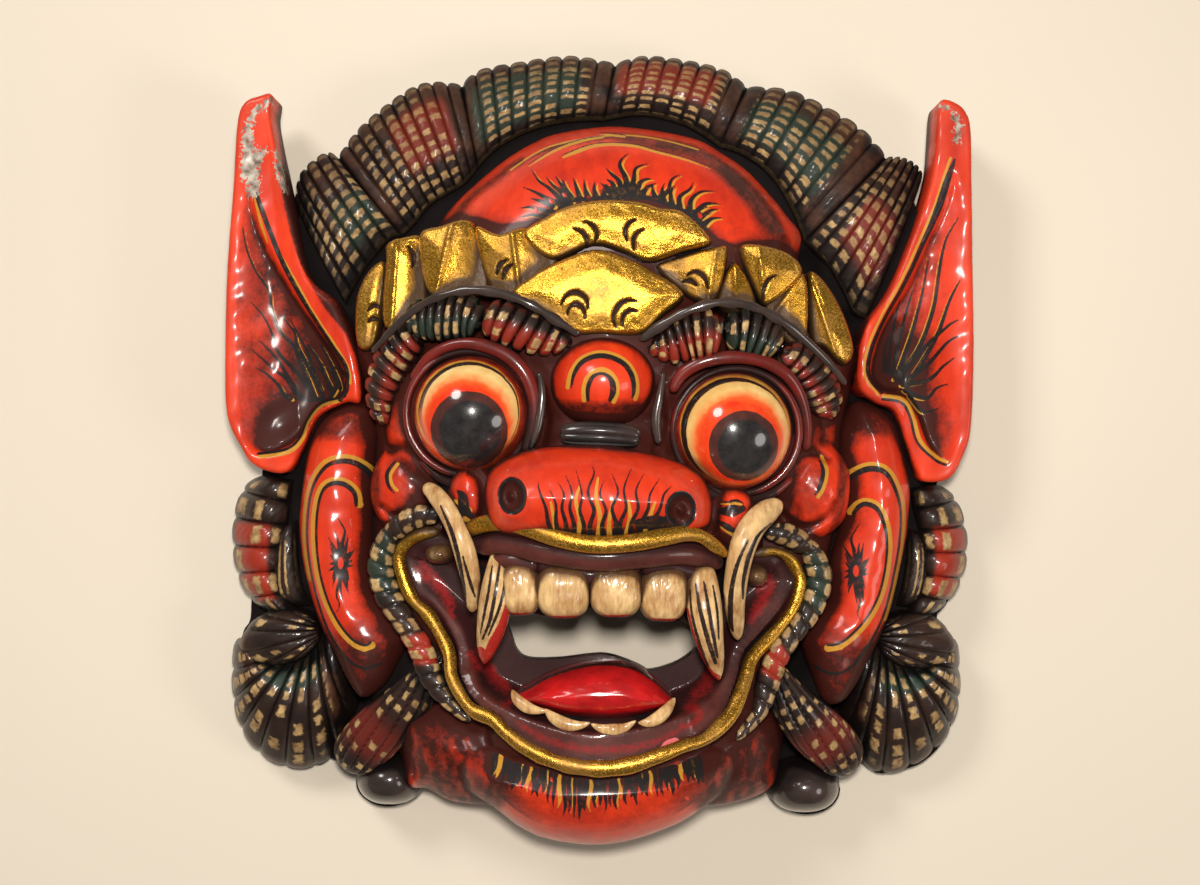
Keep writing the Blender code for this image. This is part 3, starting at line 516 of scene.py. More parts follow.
def startMaterial(name, roughness, metallic=0.0, coat=0.0, coatRoughness=0.1, specular=0.18):
    material = bpy.data.materials.new(name)
    material.use_nodes = True
    tree = material.node_tree
    shader = tree.nodes["Principled BSDF"]
    shader.inputs["Roughness"].default_value = roughness
    shader.inputs["Metallic"].default_value = metallic
    shader.inputs["Coat Weight"].default_value = coat
    shader.inputs["Coat Roughness"].default_value = coatRoughness
    shader.inputs["Specular IOR Level"].default_value = specular
    return material, tree, shader


def attribute(tree, name):
    return add(tree, "ShaderNodeAttribute", attribute_name=name).outputs["Fac"]


def painted(tree, name, thin):  # the mask of the strokes whose distance an attribute holds
    return place(tree, stroke, {"Distance": attribute(tree, name), "Thin": thin})["Mask"]


def brushBump(tree, shader, scale=900.0, stretch=(1.0, 0.25, 1.0), strength=0.18, distance=0.0004,
              extra=None):
    where = objectPlaces(tree)
    laid = stretched(tree, where, stretch)
    hairs = noise(tree, laid, scale, 4.0, 0.6)
    waves = noise(tree, where, 75.0, 3.0)
    height = scaled(tree, waves, 1.6, times(tree, hairs, 0.6))
    if extra is not None:
        height = plus(tree, height, extra)
    bump = add(tree, "ShaderNodeBump", {"Strength": strength, "Distance": distance, "Height": height})
    tree.links.new(bump.outputs[0], shader.inputs["Normal"])


skinLook = {
    "bright": (0.72, 0.042, 0.008), "deep": (0.36, 0.014, 0.006), "washAndShade": (0.03, 0.006, 0.004),
    "ochre": (0.5, 0.24, 0.026), "ink": (0.012, 0.009, 0.009), "primer": (0.52, 0.46, 0.38),
    "roughness": 0.46, "coat": 0.42, "amount": 0.97, "patchy": 0.6,
}


def skinMaterial(name="vermilion skin", look=skinLook, chips=False):
    material, tree, shader = startMaterial(name, look["roughness"], coat=look["coat"], coatRoughness=0.15)
    where = objectPlaces(tree)
    tone = noise(tree, where, 28.0, 4.0)
    streak = noise(tree, stretched(tree, where, (1.0, 0.2, 1.0)), 160.0, 5.0, 0.65)
    mixed = scaled(tree, streak, 0.5, times(tree, tone, 0.6))
    base = blended(tree, ranged(tree, mixed, 0.42, 0.78), look["bright"], look["deep"])
    agedAndShaded = place(tree, washAndShadeNodes, {"Color": base, "WashAndShade": look["washAndShade"], "Hollow": attribute(tree, "hollow"),
                               "Amount": look["amount"], "Patchy": look["patchy"], "RubbedAndLit": 0.25,
                               "Scale": 85.0})
    ochre = painted(tree, "ochre", 0.45)
    ink = painted(tree, "ink", 0.25)
    cream = painted(tree, "cream", 0.3)
    colour = blended(tree, ochre, agedAndShaded["Color"], look["ochre"])
    colour = blended(tree, cream, colour, (0.58, 0.42, 0.22))
    colour = blended(tree, ink, colour, look["ink"])
    if chips:
        chip = place(tree, stroke, {"Distance": attribute(tree, "chip"), "Uneven": 9.0, "Soft": 0.35,
                                    "Thin": 0.0})["Mask"]
        scuff = noise(tree, where, 260.0, 4.0)
        bare = blended(tree, ranged(tree, scuff, 0.35, 0.65), look["primer"], (0.12, 0.075, 0.05))
        colour = blended(tree, chip, colour, bare)
    tree.links.new(colour, shader.inputs["Base Color"])
    rough = scaled(tree, agedAndShaded["Mask"], 0.16, look["roughness"])
    tree.links.new(rough, shader.inputs["Roughness"])
    tree.links.new(scaled(tree, agedAndShaded["Mask"], -0.6 * look["coat"], look["coat"]),
                   shader.inputs["Coat Weight"])
    brushBump(tree, shader, extra=times(tree, ink, 0.15))
    return material


hairLook = {
    "base": (0.013, 0.008, 0.007), "worn": (0.115, 0.045, 0.023), "cream": (0.52, 0.35, 0.15),
    "brown": (0.17, 0.085, 0.035), "green": (0.018, 0.04, 0.028), "red": (0.32, 0.026, 0.012),
    "dark": (0.004, 0.003, 0.003), "roughness": 0.44, "coat": 0.34,
}


def hairMaterial(name, dash, look=hairLook):
    # dash: width, length and share kept of the cream dashes; patch attributes choose green or red ground
    material, tree, shader = startMaterial(name, look["roughness"], coat=look["coat"], coatRoughness=0.14)
    where = objectPlaces(tree)
    uv = add(tree, "ShaderNodeUVMap", uv_map="strands").outputs[0]
    axes = add(tree, "ShaderNodeSeparateXYZ", {0: uv})
    tone = noise(tree, where, 55.0, 5.0, 0.65)
    area = attribute(tree, "painted")
    base = blended(tree, ranged(tree, tone, 0.36, 0.66), look["base"], look["worn"])
    base = blended(tree, times(tree, area, 0.8, clamp=True), base, look["base"])
    dashed = place(tree, dashes, {"Strand": axes.outputs[0], "Row": axes.outputs[1], "Width": dash[0],
                                  "Length": dash[1], "Kept": dash[2]})
    ground = times(tree, attribute(tree, "redArea"), ranged(tree, tone, 0.25, 0.45, 0.5, 1.0))
    base = blended(tree, times(tree, ground, 0.9), base, look["red"])
    ground = times(tree, attribute(tree, "greenArea"), ranged(tree, tone, 0.25, 0.45, 0.5, 1.0))
    base = blended(tree, times(tree, ground, 0.85), base, look["green"])
    fade = noise(tree, where, 330.0, 4.0)
    creamTone = blended(tree, ranged(tree, fade, 0.35, 0.7), look["cream"], look["brown"])
    creamTone = blended(tree, times(tree, dashed["Random"], 0.55), creamTone, look["brown"])
    colour = blended(tree, times(tree, dashed["Mask"], area), base, creamTone)
    line = painted(tree, "cream", 0.35)
    colour = blended(tree, line, colour, creamTone)
    agedAndShaded = place(tree, washAndShadeNodes, {"Color": colour, "WashAndShade": look["dark"], "Hollow": attribute(tree, "hollow"),
                               "Amount": 0.92, "Patchy": 0.25, "RubbedAndLit": 0.12, "Scale": 120.0})
    tree.links.new(agedAndShaded["Color"], shader.inputs["Base Color"])
    tree.links.new(scaled(tree, tone, 0.2, look["roughness"] - 0.08),
                   shader.inputs["Roughness"])
    brushBump(tree, shader, scale=1300.0, stretch=(1.0, 1.0, 1.0), strength=0.3, distance=0.0003)
    return material


goldLook = {
    "leaf": (0.4, 0.19, 0.015), "pale": (0.82, 0.46, 0.062), "patina": (0.09, 0.034, 0.008),
    "outline": (0.03, 0.012, 0.008), "roughness": 0.25,
}


def goldMaterial(name="gold leaf", look=goldLook, patina=0.9):
    material, tree, shader = startMaterial(name, look["roughness"], metallic=0.85, specular=0.5)
    where = objectPlaces(tree)
    crumple = noise(tree, where, 1300.0, 4.0, 0.7)
    cloud = noise(tree, where, 60.0, 4.0)
    speck = noise(tree, where, 260.0, 2.0)
    leaf = blended(tree, ranged(tree, crumple, 0.46, 0.68), look["leaf"], look["pale"])
    rub = plus(tree, times(tree, crumple, 0.6), times(tree, cloud, 0.6))
    worn = ranged(tree, rub, 0.58, 0.78)
    base = blended(tree, times(tree, worn, 0.7), leaf, look["patina"])
    agedAndShaded = place(tree, washAndShadeNodes, {"Color": base, "WashAndShade": look["outline"], "Hollow": attribute(tree, "hollow"),
                               "Amount": patina, "Patchy": 0.35, "RubbedAndLit": 0.3, "Scale": 140.0})
    ink = place(tree, stroke, {"Distance": attribute(tree, "ink"), "Thin": 0.2, "Uneven": 0.4})["Mask"]
    colour = blended(tree, ink, agedAndShaded["Color"], look["outline"])
    tree.links.new(colour, shader.inputs["Base Color"])
    dull = maths(tree, "MAXIMUM", times(tree, worn, 0.7), maths(tree, "MAXIMUM", agedAndShaded["Mask"], ink))
    tree.links.new(scaled(tree, dull, -0.75, 0.9), shader.inputs["Metallic"])
    tree.links.new(scaled(tree, dull, 0.22, look["roughness"]), shader.inputs["Roughness"])
    height = scaled(tree, crumple, 1.0, times(tree, speck, 2.2))
    bump = add(tree, "ShaderNodeBump", {"Strength": 0.45, "Distance": 0.0003, "Height": height})
    tree.links.new(bump.outputs[0], shader.inputs["Normal"])
    return material


ivoryLook = {
    "pale": (0.66, 0.44, 0.2), "amber": (0.26, 0.1, 0.025), "stainAndShade": (0.05, 0.016, 0.008),
    "roughness": 0.3,
}


def ivoryMaterial(name="ivory paint", look=ivoryLook):
    material, tree, shader = startMaterial(name, look["roughness"], coat=0.45, coatRoughness=0.14)
    where = objectPlaces(tree)
    laid = stretched(tree, where, (1.0, 0.18, 0.6))
    grain = noise(tree, laid, 420.0, 5.0, 0.7)
    cloud = noise(tree, where, 110.0, 4.0)
    share = scaled(tree, grain, 0.7, times(tree, cloud, 0.5))
    base = blended(tree, ranged(tree, share, 0.48, 0.80), look["pale"], look["amber"])
    agedAndShaded = place(tree, washAndShadeNodes, {"Color": base, "WashAndShade": look["stainAndShade"], "Hollow": attribute(tree, "hollow"),
                               "Amount": 0.9, "Patchy": 0.4, "RubbedAndLit": 0.2, "Scale": 150.0})
    ink = place(tree, stroke, {"Distance": attribute(tree, "ink"), "Thin": 0.15, "Uneven": 0.5})["Mask"]
    red = place(tree, stroke, {"Distance": attribute(tree, "red"), "Thin": 0.1, "Uneven": 0.5})["Mask"]
    colour = blended(tree, red, agedAndShaded["Color"], (0.38, 0.018, 0.012))
    colour = blended(tree, ink, colour, (0.02, 0.011, 0.009))
    tree.links.new(colour, shader.inputs["Base Color"])
    tree.links.new(scaled(tree, grain, 0.25, 0.2), shader.inputs["Roughness"])
    brushBump(tree, shader, scale=1100.0, stretch=(1.0, 0.15, 1.0), strength=0.3, distance=0.0003)
    return material


def plainPaint(name, colour, deep, washAndShade, roughness, coat, marks=None, amount=0.9, patchy=0.5):
    # one paint with cloudy tone, a dark wash and painted shade in its hollows, and painted marks by
    # attribute
    material, tree, shader = startMaterial(name, roughness, coat=coat, coatRoughness=0.12)
    where = objectPlaces(tree)
    cloud = noise(tree, where, 90.0, 5.0, 0.65)
    base = blended(tree, ranged(tree, cloud, 0.35, 0.68), colour, deep)
    agedAndShaded = place(tree, washAndShadeNodes, {"Color": base, "WashAndShade": washAndShade, "Hollow": attribute(tree, "hollow"),
                               "Amount": amount,
                               "Patchy": patchy, "RubbedAndLit": 0.15, "Scale": 130.0})
    out = agedAndShaded["Color"]
    for field, paint in (marks or {}).items():
        rough = {"Uneven": 4.5, "Soft": 1.3, "Thin": 0.85} if field == "red" else {"Thin": 0.2}
        out = blended(tree, place(tree, stroke, {"Distance": attribute(tree, field), **rough})["Mask"], out,
                      paint)
    tree.links.new(out, shader.inputs["Base Color"])
    rough = scaled(tree, cloud, 0.2, roughness - 0.1)
    tree.links.new(scaled(tree, agedAndShaded["Mask"], 0.25, rough), shader.inputs["Roughness"])
    if coat:
        tree.links.new(scaled(tree, agedAndShaded["Mask"], -0.8 * coat, coat), shader.inputs["Coat Weight"])
    brushBump(tree, shader, scale=1000.0, stretch=(0.4, 1.0, 1.0))
    return material


def toObject(px, py, height):  # a drawing place in the object's own millimetres
    x, y = spot(px, py, height)
    return x + drawing["shift"][0], y + drawing["shift"][1]


def eyeMaterial(name, height, rings):
    # rings from the outside in: place on the drawing, radius in its steps, colour
    material, tree, shader = startMaterial(name, 0.2, coat=0.8, coatRoughness=0.06)
    where = objectPlaces(tree)
    cloud = noise(tree, where, 190.0, 5.0, 0.65)
    near = drawing["step"] * (1.0 - height / drawing["viewHeight"])
    colour = None
    for (px, py), radius, paint, other, *soft in rings:
        x, y = toObject(px, py, height)
        tone = blended(tree, ranged(tree, cloud, 0.36, 0.66), paint, other)
        if colour is None:
            colour = tone
            continue
        mask = place(tree, disc, {"Across": x, "Up": y, "Radius": radius * near,
                                  "Uneven": 0.7 + (soft[0] if soft else 0.0),
                                  "Soft": soft[0] if soft else 0.14})["Mask"]
        colour = blended(tree, mask, colour, tone)
    agedAndShaded = place(tree, washAndShadeNodes, {"Color": colour, "WashAndShade": (0.03, 0.008, 0.006),
                               "Hollow": attribute(tree, "hollow"),
                               "Amount": 0.6, "Patchy": 0.2, "RubbedAndLit": 0.0, "Scale": 150.0})
    tree.links.new(agedAndShaded["Color"], shader.inputs["Base Color"])
    tree.links.new(scaled(tree, cloud, 0.18, 0.12), shader.inputs["Roughness"])
    brushBump(tree, shader, scale=1200.0, stretch=(1.0, 1.0, 1.0), strength=0.16, distance=0.0003)
    return material


woodLook = {"pale": (0.3, 0.17, 0.085), "dark": (0.11, 0.055, 0.028), "dust": (0.36, 0.3, 0.23)}


def woodMaterial(name="gouged wood", look=woodLook):
    material, tree, shader = startMaterial(name, 0.72)
    where = objectPlaces(tree)
    laid = stretched(tree, where, (1.0, 0.07, 1.0))
    grain = noise(tree, laid, 230.0, 6.0, 0.65)
    cloud = noise(tree, where, 18.0, 4.0)
    base = blended(tree, ranged(tree, grain, 0.35, 0.68), look["pale"], look["dark"])
    base = blended(tree, ranged(tree, cloud, 0.45, 0.75, 0.0, 0.45), base, look["dust"])
    tree.links.new(base, shader.inputs["Base Color"])
    gouges = add(tree, "ShaderNodeTexVoronoi", {
        "Vector": stretched(tree, where, (1.0, 0.45, 0.7)),
        "Scale": 95.0}, feature="SMOOTH_F1")
    height = scaled(tree, gouges.outputs["Distance"], 1.5, times(tree, grain, 0.5))
    bump = add(tree, "ShaderNodeBump", {"Strength": 0.5, "Distance": 0.001, "Height": height})
    tree.links.new(bump.outputs[0], shader.inputs["Normal"])
    return material


skin = skinMaterial()
chippedSkin = skinMaterial("vermilion ear paint", {**skinLook, "coat": 0.24}, True)
gold = goldMaterial()
ivory = ivoryMaterial()
bareWood = woodMaterial()
maroon = plainPaint("maroon mouth paint", (0.096, 0.025, 0.019), (0.056, 0.012, 0.010),
                    (0.024, 0.005, 0.005), 0.40, 0.40,
                    {"red": (0.23, 0.010, 0.010), "pink": (0.62, 0.13, 0.14)}, 0.92, 0.5)
sleekBlack = plainPaint("black varnish", (0.022, 0.017, 0.016), (0.045, 0.028, 0.024),
                        (0.006, 0.004, 0.004), 0.26, 0.7)
tongueRed = plainPaint("tongue red", (0.52, 0.008, 0.010), (0.30, 0.004, 0.006), (0.05, 0.004, 0.004), 0.22,
                       0.7,
                       {"ink": (0.03, 0.006, 0.006)}, 0.8, 0.25)
print("finishes made")


def rollTree():  # a carved roll along a path, ribbed across or combed along, with its strands and rows as UV
    tree = bpy.data.node_groups.new("carved roll", "GeometryNodeTree")
    tree.interface.new_socket("Geometry", in_out="INPUT", socket_type="NodeSocketGeometry")
    for label, kind, value in (("Sides", "NodeSocketInt", 24), ("Flatness", "NodeSocketFloat", 1.0),
                               ("Ribs", "NodeSocketFloat", 0.0), ("Strands", "NodeSocketFloat", 0.0),
                               ("Twist", "NodeSocketFloat", 0.0), ("Lean", "NodeSocketFloat", 0.0),
                               ("Depth", "NodeSocketFloat", 0.0), ("Rows", "NodeSocketFloat", 1.0),
                               ("Finish", "NodeSocketMaterial", None)):
        socket = tree.interface.new_socket(label, in_out="INPUT", socket_type=kind)
        if value is not None:
            socket.default_value = value
    tree.interface.new_socket("Geometry", in_out="OUTPUT", socket_type="NodeSocketGeometry")
    given = tree.nodes.new("NodeGroupInput").outputs
    half = add(tree, "GeometryNodeInputNamedAttribute", {"Name": "half"},
               data_type="FLOAT").outputs["Attribute"]
    path = add(tree, "GeometryNodeMeshToCurve", {"Mesh": given["Geometry"]}).outputs[0]
    path = add(tree, "GeometryNodeSetCurveNormal", {"Curve": path}, mode="Z_UP").outputs[0]
    along = add(tree, "GeometryNodeSplineParameter").outputs["Factor"]
    markPath = add(tree, "GeometryNodeCaptureAttribute", {"Geometry": path}, domain="POINT")
    markPath.capture_items.new("FLOAT", "along")
    tree.links.new(along, markPath.inputs["along"])
    ring = add(tree, "GeometryNodeCurvePrimitiveCircle", {"Resolution": given["Sides"], "Radius": 1.0})
    around = add(tree, "GeometryNodeSplineParameter").outputs["Factor"]
    markRing = add(tree, "GeometryNodeCaptureAttribute", {"Geometry": ring.outputs["Curve"]}, domain="POINT")
    markRing.capture_items.new("FLOAT", "around")
    tree.links.new(around, markRing.inputs["around"])
    size = add(tree, "ShaderNodeCombineXYZ", {0: 1.0, 1: given["Flatness"], 2: 1.0}).outputs[0]
    oval = add(tree, "GeometryNodeTransform", {"Geometry": markRing.outputs[0], "Scale": size}).outputs[0]
    radius = add(tree, "GeometryNodeSetCurveRadius", {"Curve": markPath.outputs[0],
            "Radius": half}).outputs[0]
    body = add(tree, "GeometryNodeCurveToMesh", {"Curve": radius, "Profile Curve": oval, "Fill Caps": True})
    if "Scale" in body.inputs:
        tree.links.new(half, body.inputs["Scale"])
    alongField, aroundField = markPath.outputs[1], markRing.outputs[1]
    across = maths(tree, "COSINE", times(tree, aroundField, 2.0 * math.pi), 0.0)
    rib = scaled(tree, across, given["Lean"], times(tree, alongField, given["Ribs"]))
    turned = scaled(tree, alongField, given["Twist"], aroundField)
    strand = times(tree, turned, given["Strands"])
    phase = plus(tree, rib, strand)
    edge = maths(tree, "ABSOLUTE", scaled(tree, maths(tree, "FRACT", phase, 0.0), 2.0, -1.0), 0.0)
    sunk = times(tree, maths(tree, "POWER", edge, 4.0), given["Depth"])
    sunk = times(tree, times(tree, sunk, half), -1.0)
    normal = add(tree, "GeometryNodeInputNormal").outputs[0]
    offset = add(tree, "ShaderNodeVectorMath", {0: normal, "Scale": sunk}, operation="SCALE").outputs[0]
    moved = add(tree, "GeometryNodeSetPosition", {"Geometry": body.outputs[0], "Offset": offset}).outputs[0]
    row = times(tree, maths(tree, "MAXIMUM", given["Ribs"], given["Rows"]), alongField)
    rolled = maths(tree, "LESS_THAN", given["Strands"], 0.5)
    second = plus(tree, times(tree, rolled, times(tree, aroundField, given["Rows"])),
                   times(tree, minus(tree, 1.0, rolled), row))
    uv = add(tree, "ShaderNodeCombineXYZ", {0: phase, 1: second, 2: 0.0}).outputs[0]
    named = add(tree, "GeometryNodeStoreNamedAttribute", {"Geometry": moved, "Name": "strands", "Value": uv},
                data_type="FLOAT2", domain="CORNER").outputs[0]
    real = add(tree, "GeometryNodeRealizeInstances", {"Geometry": named}).outputs[0]
    finished = add(tree, "GeometryNodeSetMaterial", {"Geometry": real,
            "Material": given["Finish"]}).outputs[0]
    out = tree.nodes.new("NodeGroupOutput")
    tree.links.new(finished, out.inputs[0])
    return tree


carvedRoll = rollTree()


def roll(line, finish, closed=False, taper=0.7, **sizes):  # rows of x, y, top, half width, in mm
    line = np.asarray(line, dtype=float).copy()
    flat = sizes.get("Flatness", 1.0)
    line[:, 2] -= line[:, 3] * flat
    if taper and not closed:
        lengths = np.r_[0.0, np.cumsum(np.linalg.norm(np.diff(line[:, :3], axis=0), axis=1))]
        toEnd = np.minimum(lengths, lengths[-1] - lengths)
        line[:, 3] *= bulge(toEnd / (taper * line[:, 3].max() + 1e-6) + 0.04)
    mesh = bpy.data.meshes.new("path")
    edges = [(index, index + 1) for index in range(len(line) - 1)]
    if closed:
        edges.append((len(line) - 1, 0))
    mesh.from_pydata(line[:, :3].tolist(), edges, [])
    mesh.attributes.new("half", "FLOAT", "POINT").data.foreach_set("value", line[:, 3].astype(np.float32))
    guide = bpy.data.objects.new("path", mesh)
    bpy.context.scene.collection.objects.link(guide)
    modifier = guide.modifiers.new("roll", "NODES")
    modifier.node_group = carvedRoll
    for item in carvedRoll.interface.items_tree:
        if item.item_type == "SOCKET" and item.in_out == "INPUT":
            if item.name in sizes:
                modifier[item.identifier] = sizes[item.name]
            if item.name == "Finish":
                modifier[item.identifier] = finish
    bpy.context.view_layer.update()
    graph = bpy.context.evaluated_depsgraph_get()
    made = bpy.data.meshes.new_from_object(guide.evaluated_get(graph), depsgraph=graph)
    places = np.empty(len(made.vertices) * 3)
    made.vertices.foreach_get("co", places)
    faces = [tuple(face.vertices) for face in made.polygons]
    loops = np.empty(len(made.loops), dtype=int)
    made.loops.foreach_get("vertex_index", loops)
    corners = np.empty(len(made.loops) * 2)
    made.attributes["strands"].data.foreach_get("vector", corners)
    uv = np.zeros((len(made.vertices), 2))
    uv[loops] = corners.reshape(-1, 2)
    bpy.data.objects.remove(guide)
    bpy.data.meshes.remove(mesh)
    bpy.data.meshes.remove(made)
    return places.reshape(-1, 3), faces, uv


def keepRoll(name, points, gap, finish, slot, **sizes):  # a plain roll kept as a piece
    places, faces, _ = roll(evenTrack(track(points), gap), finish, **sizes)
    keep(name, places, faces, [finish], slot, {}, sharp=60.0)


# The face: one carved skin, with the mouth sunk into it.
face = {
    "forehead": ((430, 255), (440, 225), (462, 198), (500, 165), (530, 146), (562, 134), (620, 128),
                 (690, 139), (722, 155), (750, 175), (785, 215), (800, 250), (760, 330), (600, 360),
                 (450, 330)),
    "cheeks": ((352, 345), (366, 395), (374, 440), (373, 500), (378, 560), (395, 615), (425, 655),
               (440, 700), (450, 750), (480, 790), (560, 805), (650, 805), (720, 788), (752, 750),
               (762, 700), (790, 655), (812, 615), (828, 560), (840, 500), (843, 440), (850, 385),
               (855, 350), (800, 268), (760, 240), (700, 225), (600, 200), (500, 225), (430, 245),
               (400, 262)),
    "jaw": ((400, 700), (404, 765), (412, 785), (430, 787), (455, 800), (500, 806), (600, 812),
            (697, 807), (736, 801), (770, 785), (778, 760), (780, 700), (700, 660), (500, 660)),
    "chin": ((470, 780), (495, 804), (520, 824), (548, 836), (593, 842), (632, 837), (675, 822),
             (700, 806), (722, 782), (720, 740), (600, 715), (480, 740)),
    "masses": (
        ((467, 408), (92, 96), 50, 84), ((737, 428), (92, 96), 50, 84), ((603, 350), (120, 110), 60, 88),
        ((601, 560), (168, 165), 56, 97), ((405, 490), (40, 50), 48, 67), ((818, 490), (40, 50), 48, 67),
    ),
    "wings": (((472, 498), (27, 38), 80, 95), ((733, 518), (27, 36), 80, 95)),
    "creases": (
        ((378, 452, 0, 7), (400, 448, 0, 9), (425, 466, 0, 9), (440, 482, 0, 6)),
        ((372, 505, 0, 6), (395, 520, 0, 9), (425, 512, 0, 9), (440, 500, 0, 6)),
        ((468, 470, 0, 6), (480, 478, 0, 8), (486, 500, 0, 7), (480, 528, 0, 5)),
        ((708, 478, 0, 6), (718, 492, 0, 8), (716, 515, 0, 7), (712, 535, 0, 5)),
        ((795, 462, 0, 7), (815, 452, 0, 8), (838, 462, 0, 6)),
        ((775, 500, 0, 7), (800, 530, 0, 8), (832, 520, 0, 7), (842, 500, 0, 5)),
        ((540, 450, 0, 7), (545, 420, 0, 8), (541, 385, 0, 6)),
        ((655, 455, 0, 7), (662, 425, 0, 8), (660, 385, 0, 6)),
    ),
    "creaseDepth": 3.0, "washAndShadeShare": 0.68, "step": 0.85, "chinStep": 0.6, "foreheadStep": 0.62,
    "noseStep": 0.5,
}
mouthLook = {
    "edge": ((439, 532), (420, 535), (404, 545), (398, 557), (402, 577), (412, 600), (428, 616),
             (441, 637), (449, 655), (452, 680), (470, 709), (492, 720), (506, 734), (529, 751),
             (562, 765), (599, 770), (632, 766), (661, 756), (683, 747), (703, 741), (720, 728),
             (734, 711), (745, 683), (753, 658), (773, 636), (793, 610), (801, 585), (797, 570),
             (787, 556), (774, 551), (750, 552), (700, 556), (600, 560), (490, 545)),
    "rim": ((439, 532, 66, 5), (420, 534, 66, 7), (404, 545, 64, 8), (398, 557, 63, 8),
            (402, 577, 63, 7), (412, 600, 64, 7), (428, 616, 66, 7), (441, 637, 69, 7),
            (449, 655, 72, 7), (452, 680, 77, 7), (470, 709, 82, 7), (492, 720, 85, 8),
            (506, 734, 88, 7), (529, 751, 92, 8), (562, 765, 96, 8), (599, 770, 97, 9),
            (632, 766, 96, 9), (661, 756, 94, 8), (683, 747, 91, 7), (703, 741, 88, 7),
            (720, 728, 85, 8), (734, 711, 81, 8), (745, 683, 76, 7), (753, 658, 72, 7),
            (773, 636, 68, 7), (793, 610, 65, 7), (801, 585, 63, 7), (797, 570, 63, 7),
            (787, 556, 65, 6), (772, 551, 67, 5), (752, 555, 68, 4)),
    "recess": ((424, 545), (408, 560), (414, 590), (436, 612), (460, 640), (475, 690), (510, 712),
               (560, 728), (600, 732), (650, 725), (695, 712), (722, 690), (738, 650), (760, 620),
               (785, 595), (784, 572), (765, 560), (700, 565), (600, 575), (490, 560)),
    "recessHeight": 58.0, "bandHeight": 88.0,
    "gap": ((505, 618), (545, 623), (565, 625), (590, 614), (616, 625), (640, 614), (665, 628),
            (692, 630), (700, 655), (680, 672), (650, 680), (630, 670), (600, 663), (555, 668),
            (520, 666), (508, 645)),
    "mottle": (
        ((505, 702, 1.2), (513, 700, 1.8)),
        ((420, 566, 2.5), (432, 582, 5), (446, 600, 4), (450, 618, 2)),
        ((775, 585, 3), (762, 606, 5), (752, 622, 2)), ((478, 650, 2), (490, 676, 3.5), (506, 690, 3)),
        ((716, 660, 3), (708, 684, 3.5), (694, 696, 2.5)),
        ((686, 706, 1.6), (692, 704, 2.6), (699, 710, 2.4)),
        ((680, 722, 1.6), (690, 719, 2.4), (698, 714, 1.8)), ((414, 570, 2), (424, 580, 4)),
        ((770, 580, 3), (762, 592, 3)), ((470, 655, 2), (478, 667, 3)),
        ((655, 735, 0.8), (675, 727, 1.2)),
        ((520, 719, 1.0), (545, 732, 1.6), (575, 740, 1.8), (605, 742, 2.0), (640, 739, 1.8),
         (668, 731, 1.2)),
    ),
    "dab": (((660, 754, 3), (668, 748, 6), (675, 744, 5)),),
}


def skinHeights(x, y):
    relief = Relief(x, y)
    relief.pillow(face["jaw"], 16.0, 71.0, 46.0)
    relief.pillow(face["cheeks"], 26.0, 60.0, 20.0)
    relief.pillow(face["chin"], 40.0, 86.0, 31.0, 22.0)
    relief.pillow(face["forehead"], 30.0, 79.0, 42.0)
    for centre, radii, base, top in face["masses"]:
        relief.mass(centre, radii, base, top, 8.0)
    for centre, radii, base, top in face["wings"]:
        relief.mass(centre, radii, base, top, 5.0)
    for crease in face["creases"]:
        relief.groove([(across, down, 84.0, half) for across, down, _, half in crease], face["creaseDepth"])
    return relief


def faceHeights(x, y):
    relief = skinHeights(x, y)
    loop = outline(mouthLook["edge"], 84.0)
    here = relief.near(loop, 1.0)
    depth = toLoop(x[here], y[here], loop)
    _, rimHigh, _, _ = toTrack(x[here], y[here], track(mouthLook["rim"]))
    share = ease(depth / 3.0)
    relief.z[here] = relief.z[here] * (1.0 - share) + (rimHigh - 4.0) * share
    relief.sink(mouthLook["recess"], mouthLook["recessHeight"], 9.0)
    relief.mass((599, 745), (118, 46), 60, mouthLook["bandHeight"], 3.0)
    chips = wobble(x, y, 9.0, 3) * 0.5 + wobble(x, y, 4.0, 8) * 0.25
    return np.maximum(relief.z + 0.35 * chips * (toLoop(x, y, loop) < 0.0), 12.0)


def thickLines(lines, first=2.2, last=0.5):  # strokes that taper from root to tip
    return [[(across, down, first + (last - first) * index / (len(line) - 1)) for index,
             (across, down) in enumerate(line)]
            for line in lines]


def flick(lines, shift, narrow):  # the ochre edge painted beside each dark stroke
    return [[(across + shift[0], down + shift[1], max(half - narrow, 0.3)) for across, down, half in line]
            for line in lines]


def offsetStroke(line, side, half):  # a stroke that runs beside another, side steps away
    points = np.asarray(line, dtype=float)[:, :2]
    ahead = np.gradient(points, axis=0)
    ahead /= np.linalg.norm(ahead, axis=1)[:, None] + 1e-9
    moved = points + side * np.stack([-ahead[:, 1], ahead[:, 0]], 1)
    return [(across, down, half) for across, down in moved]


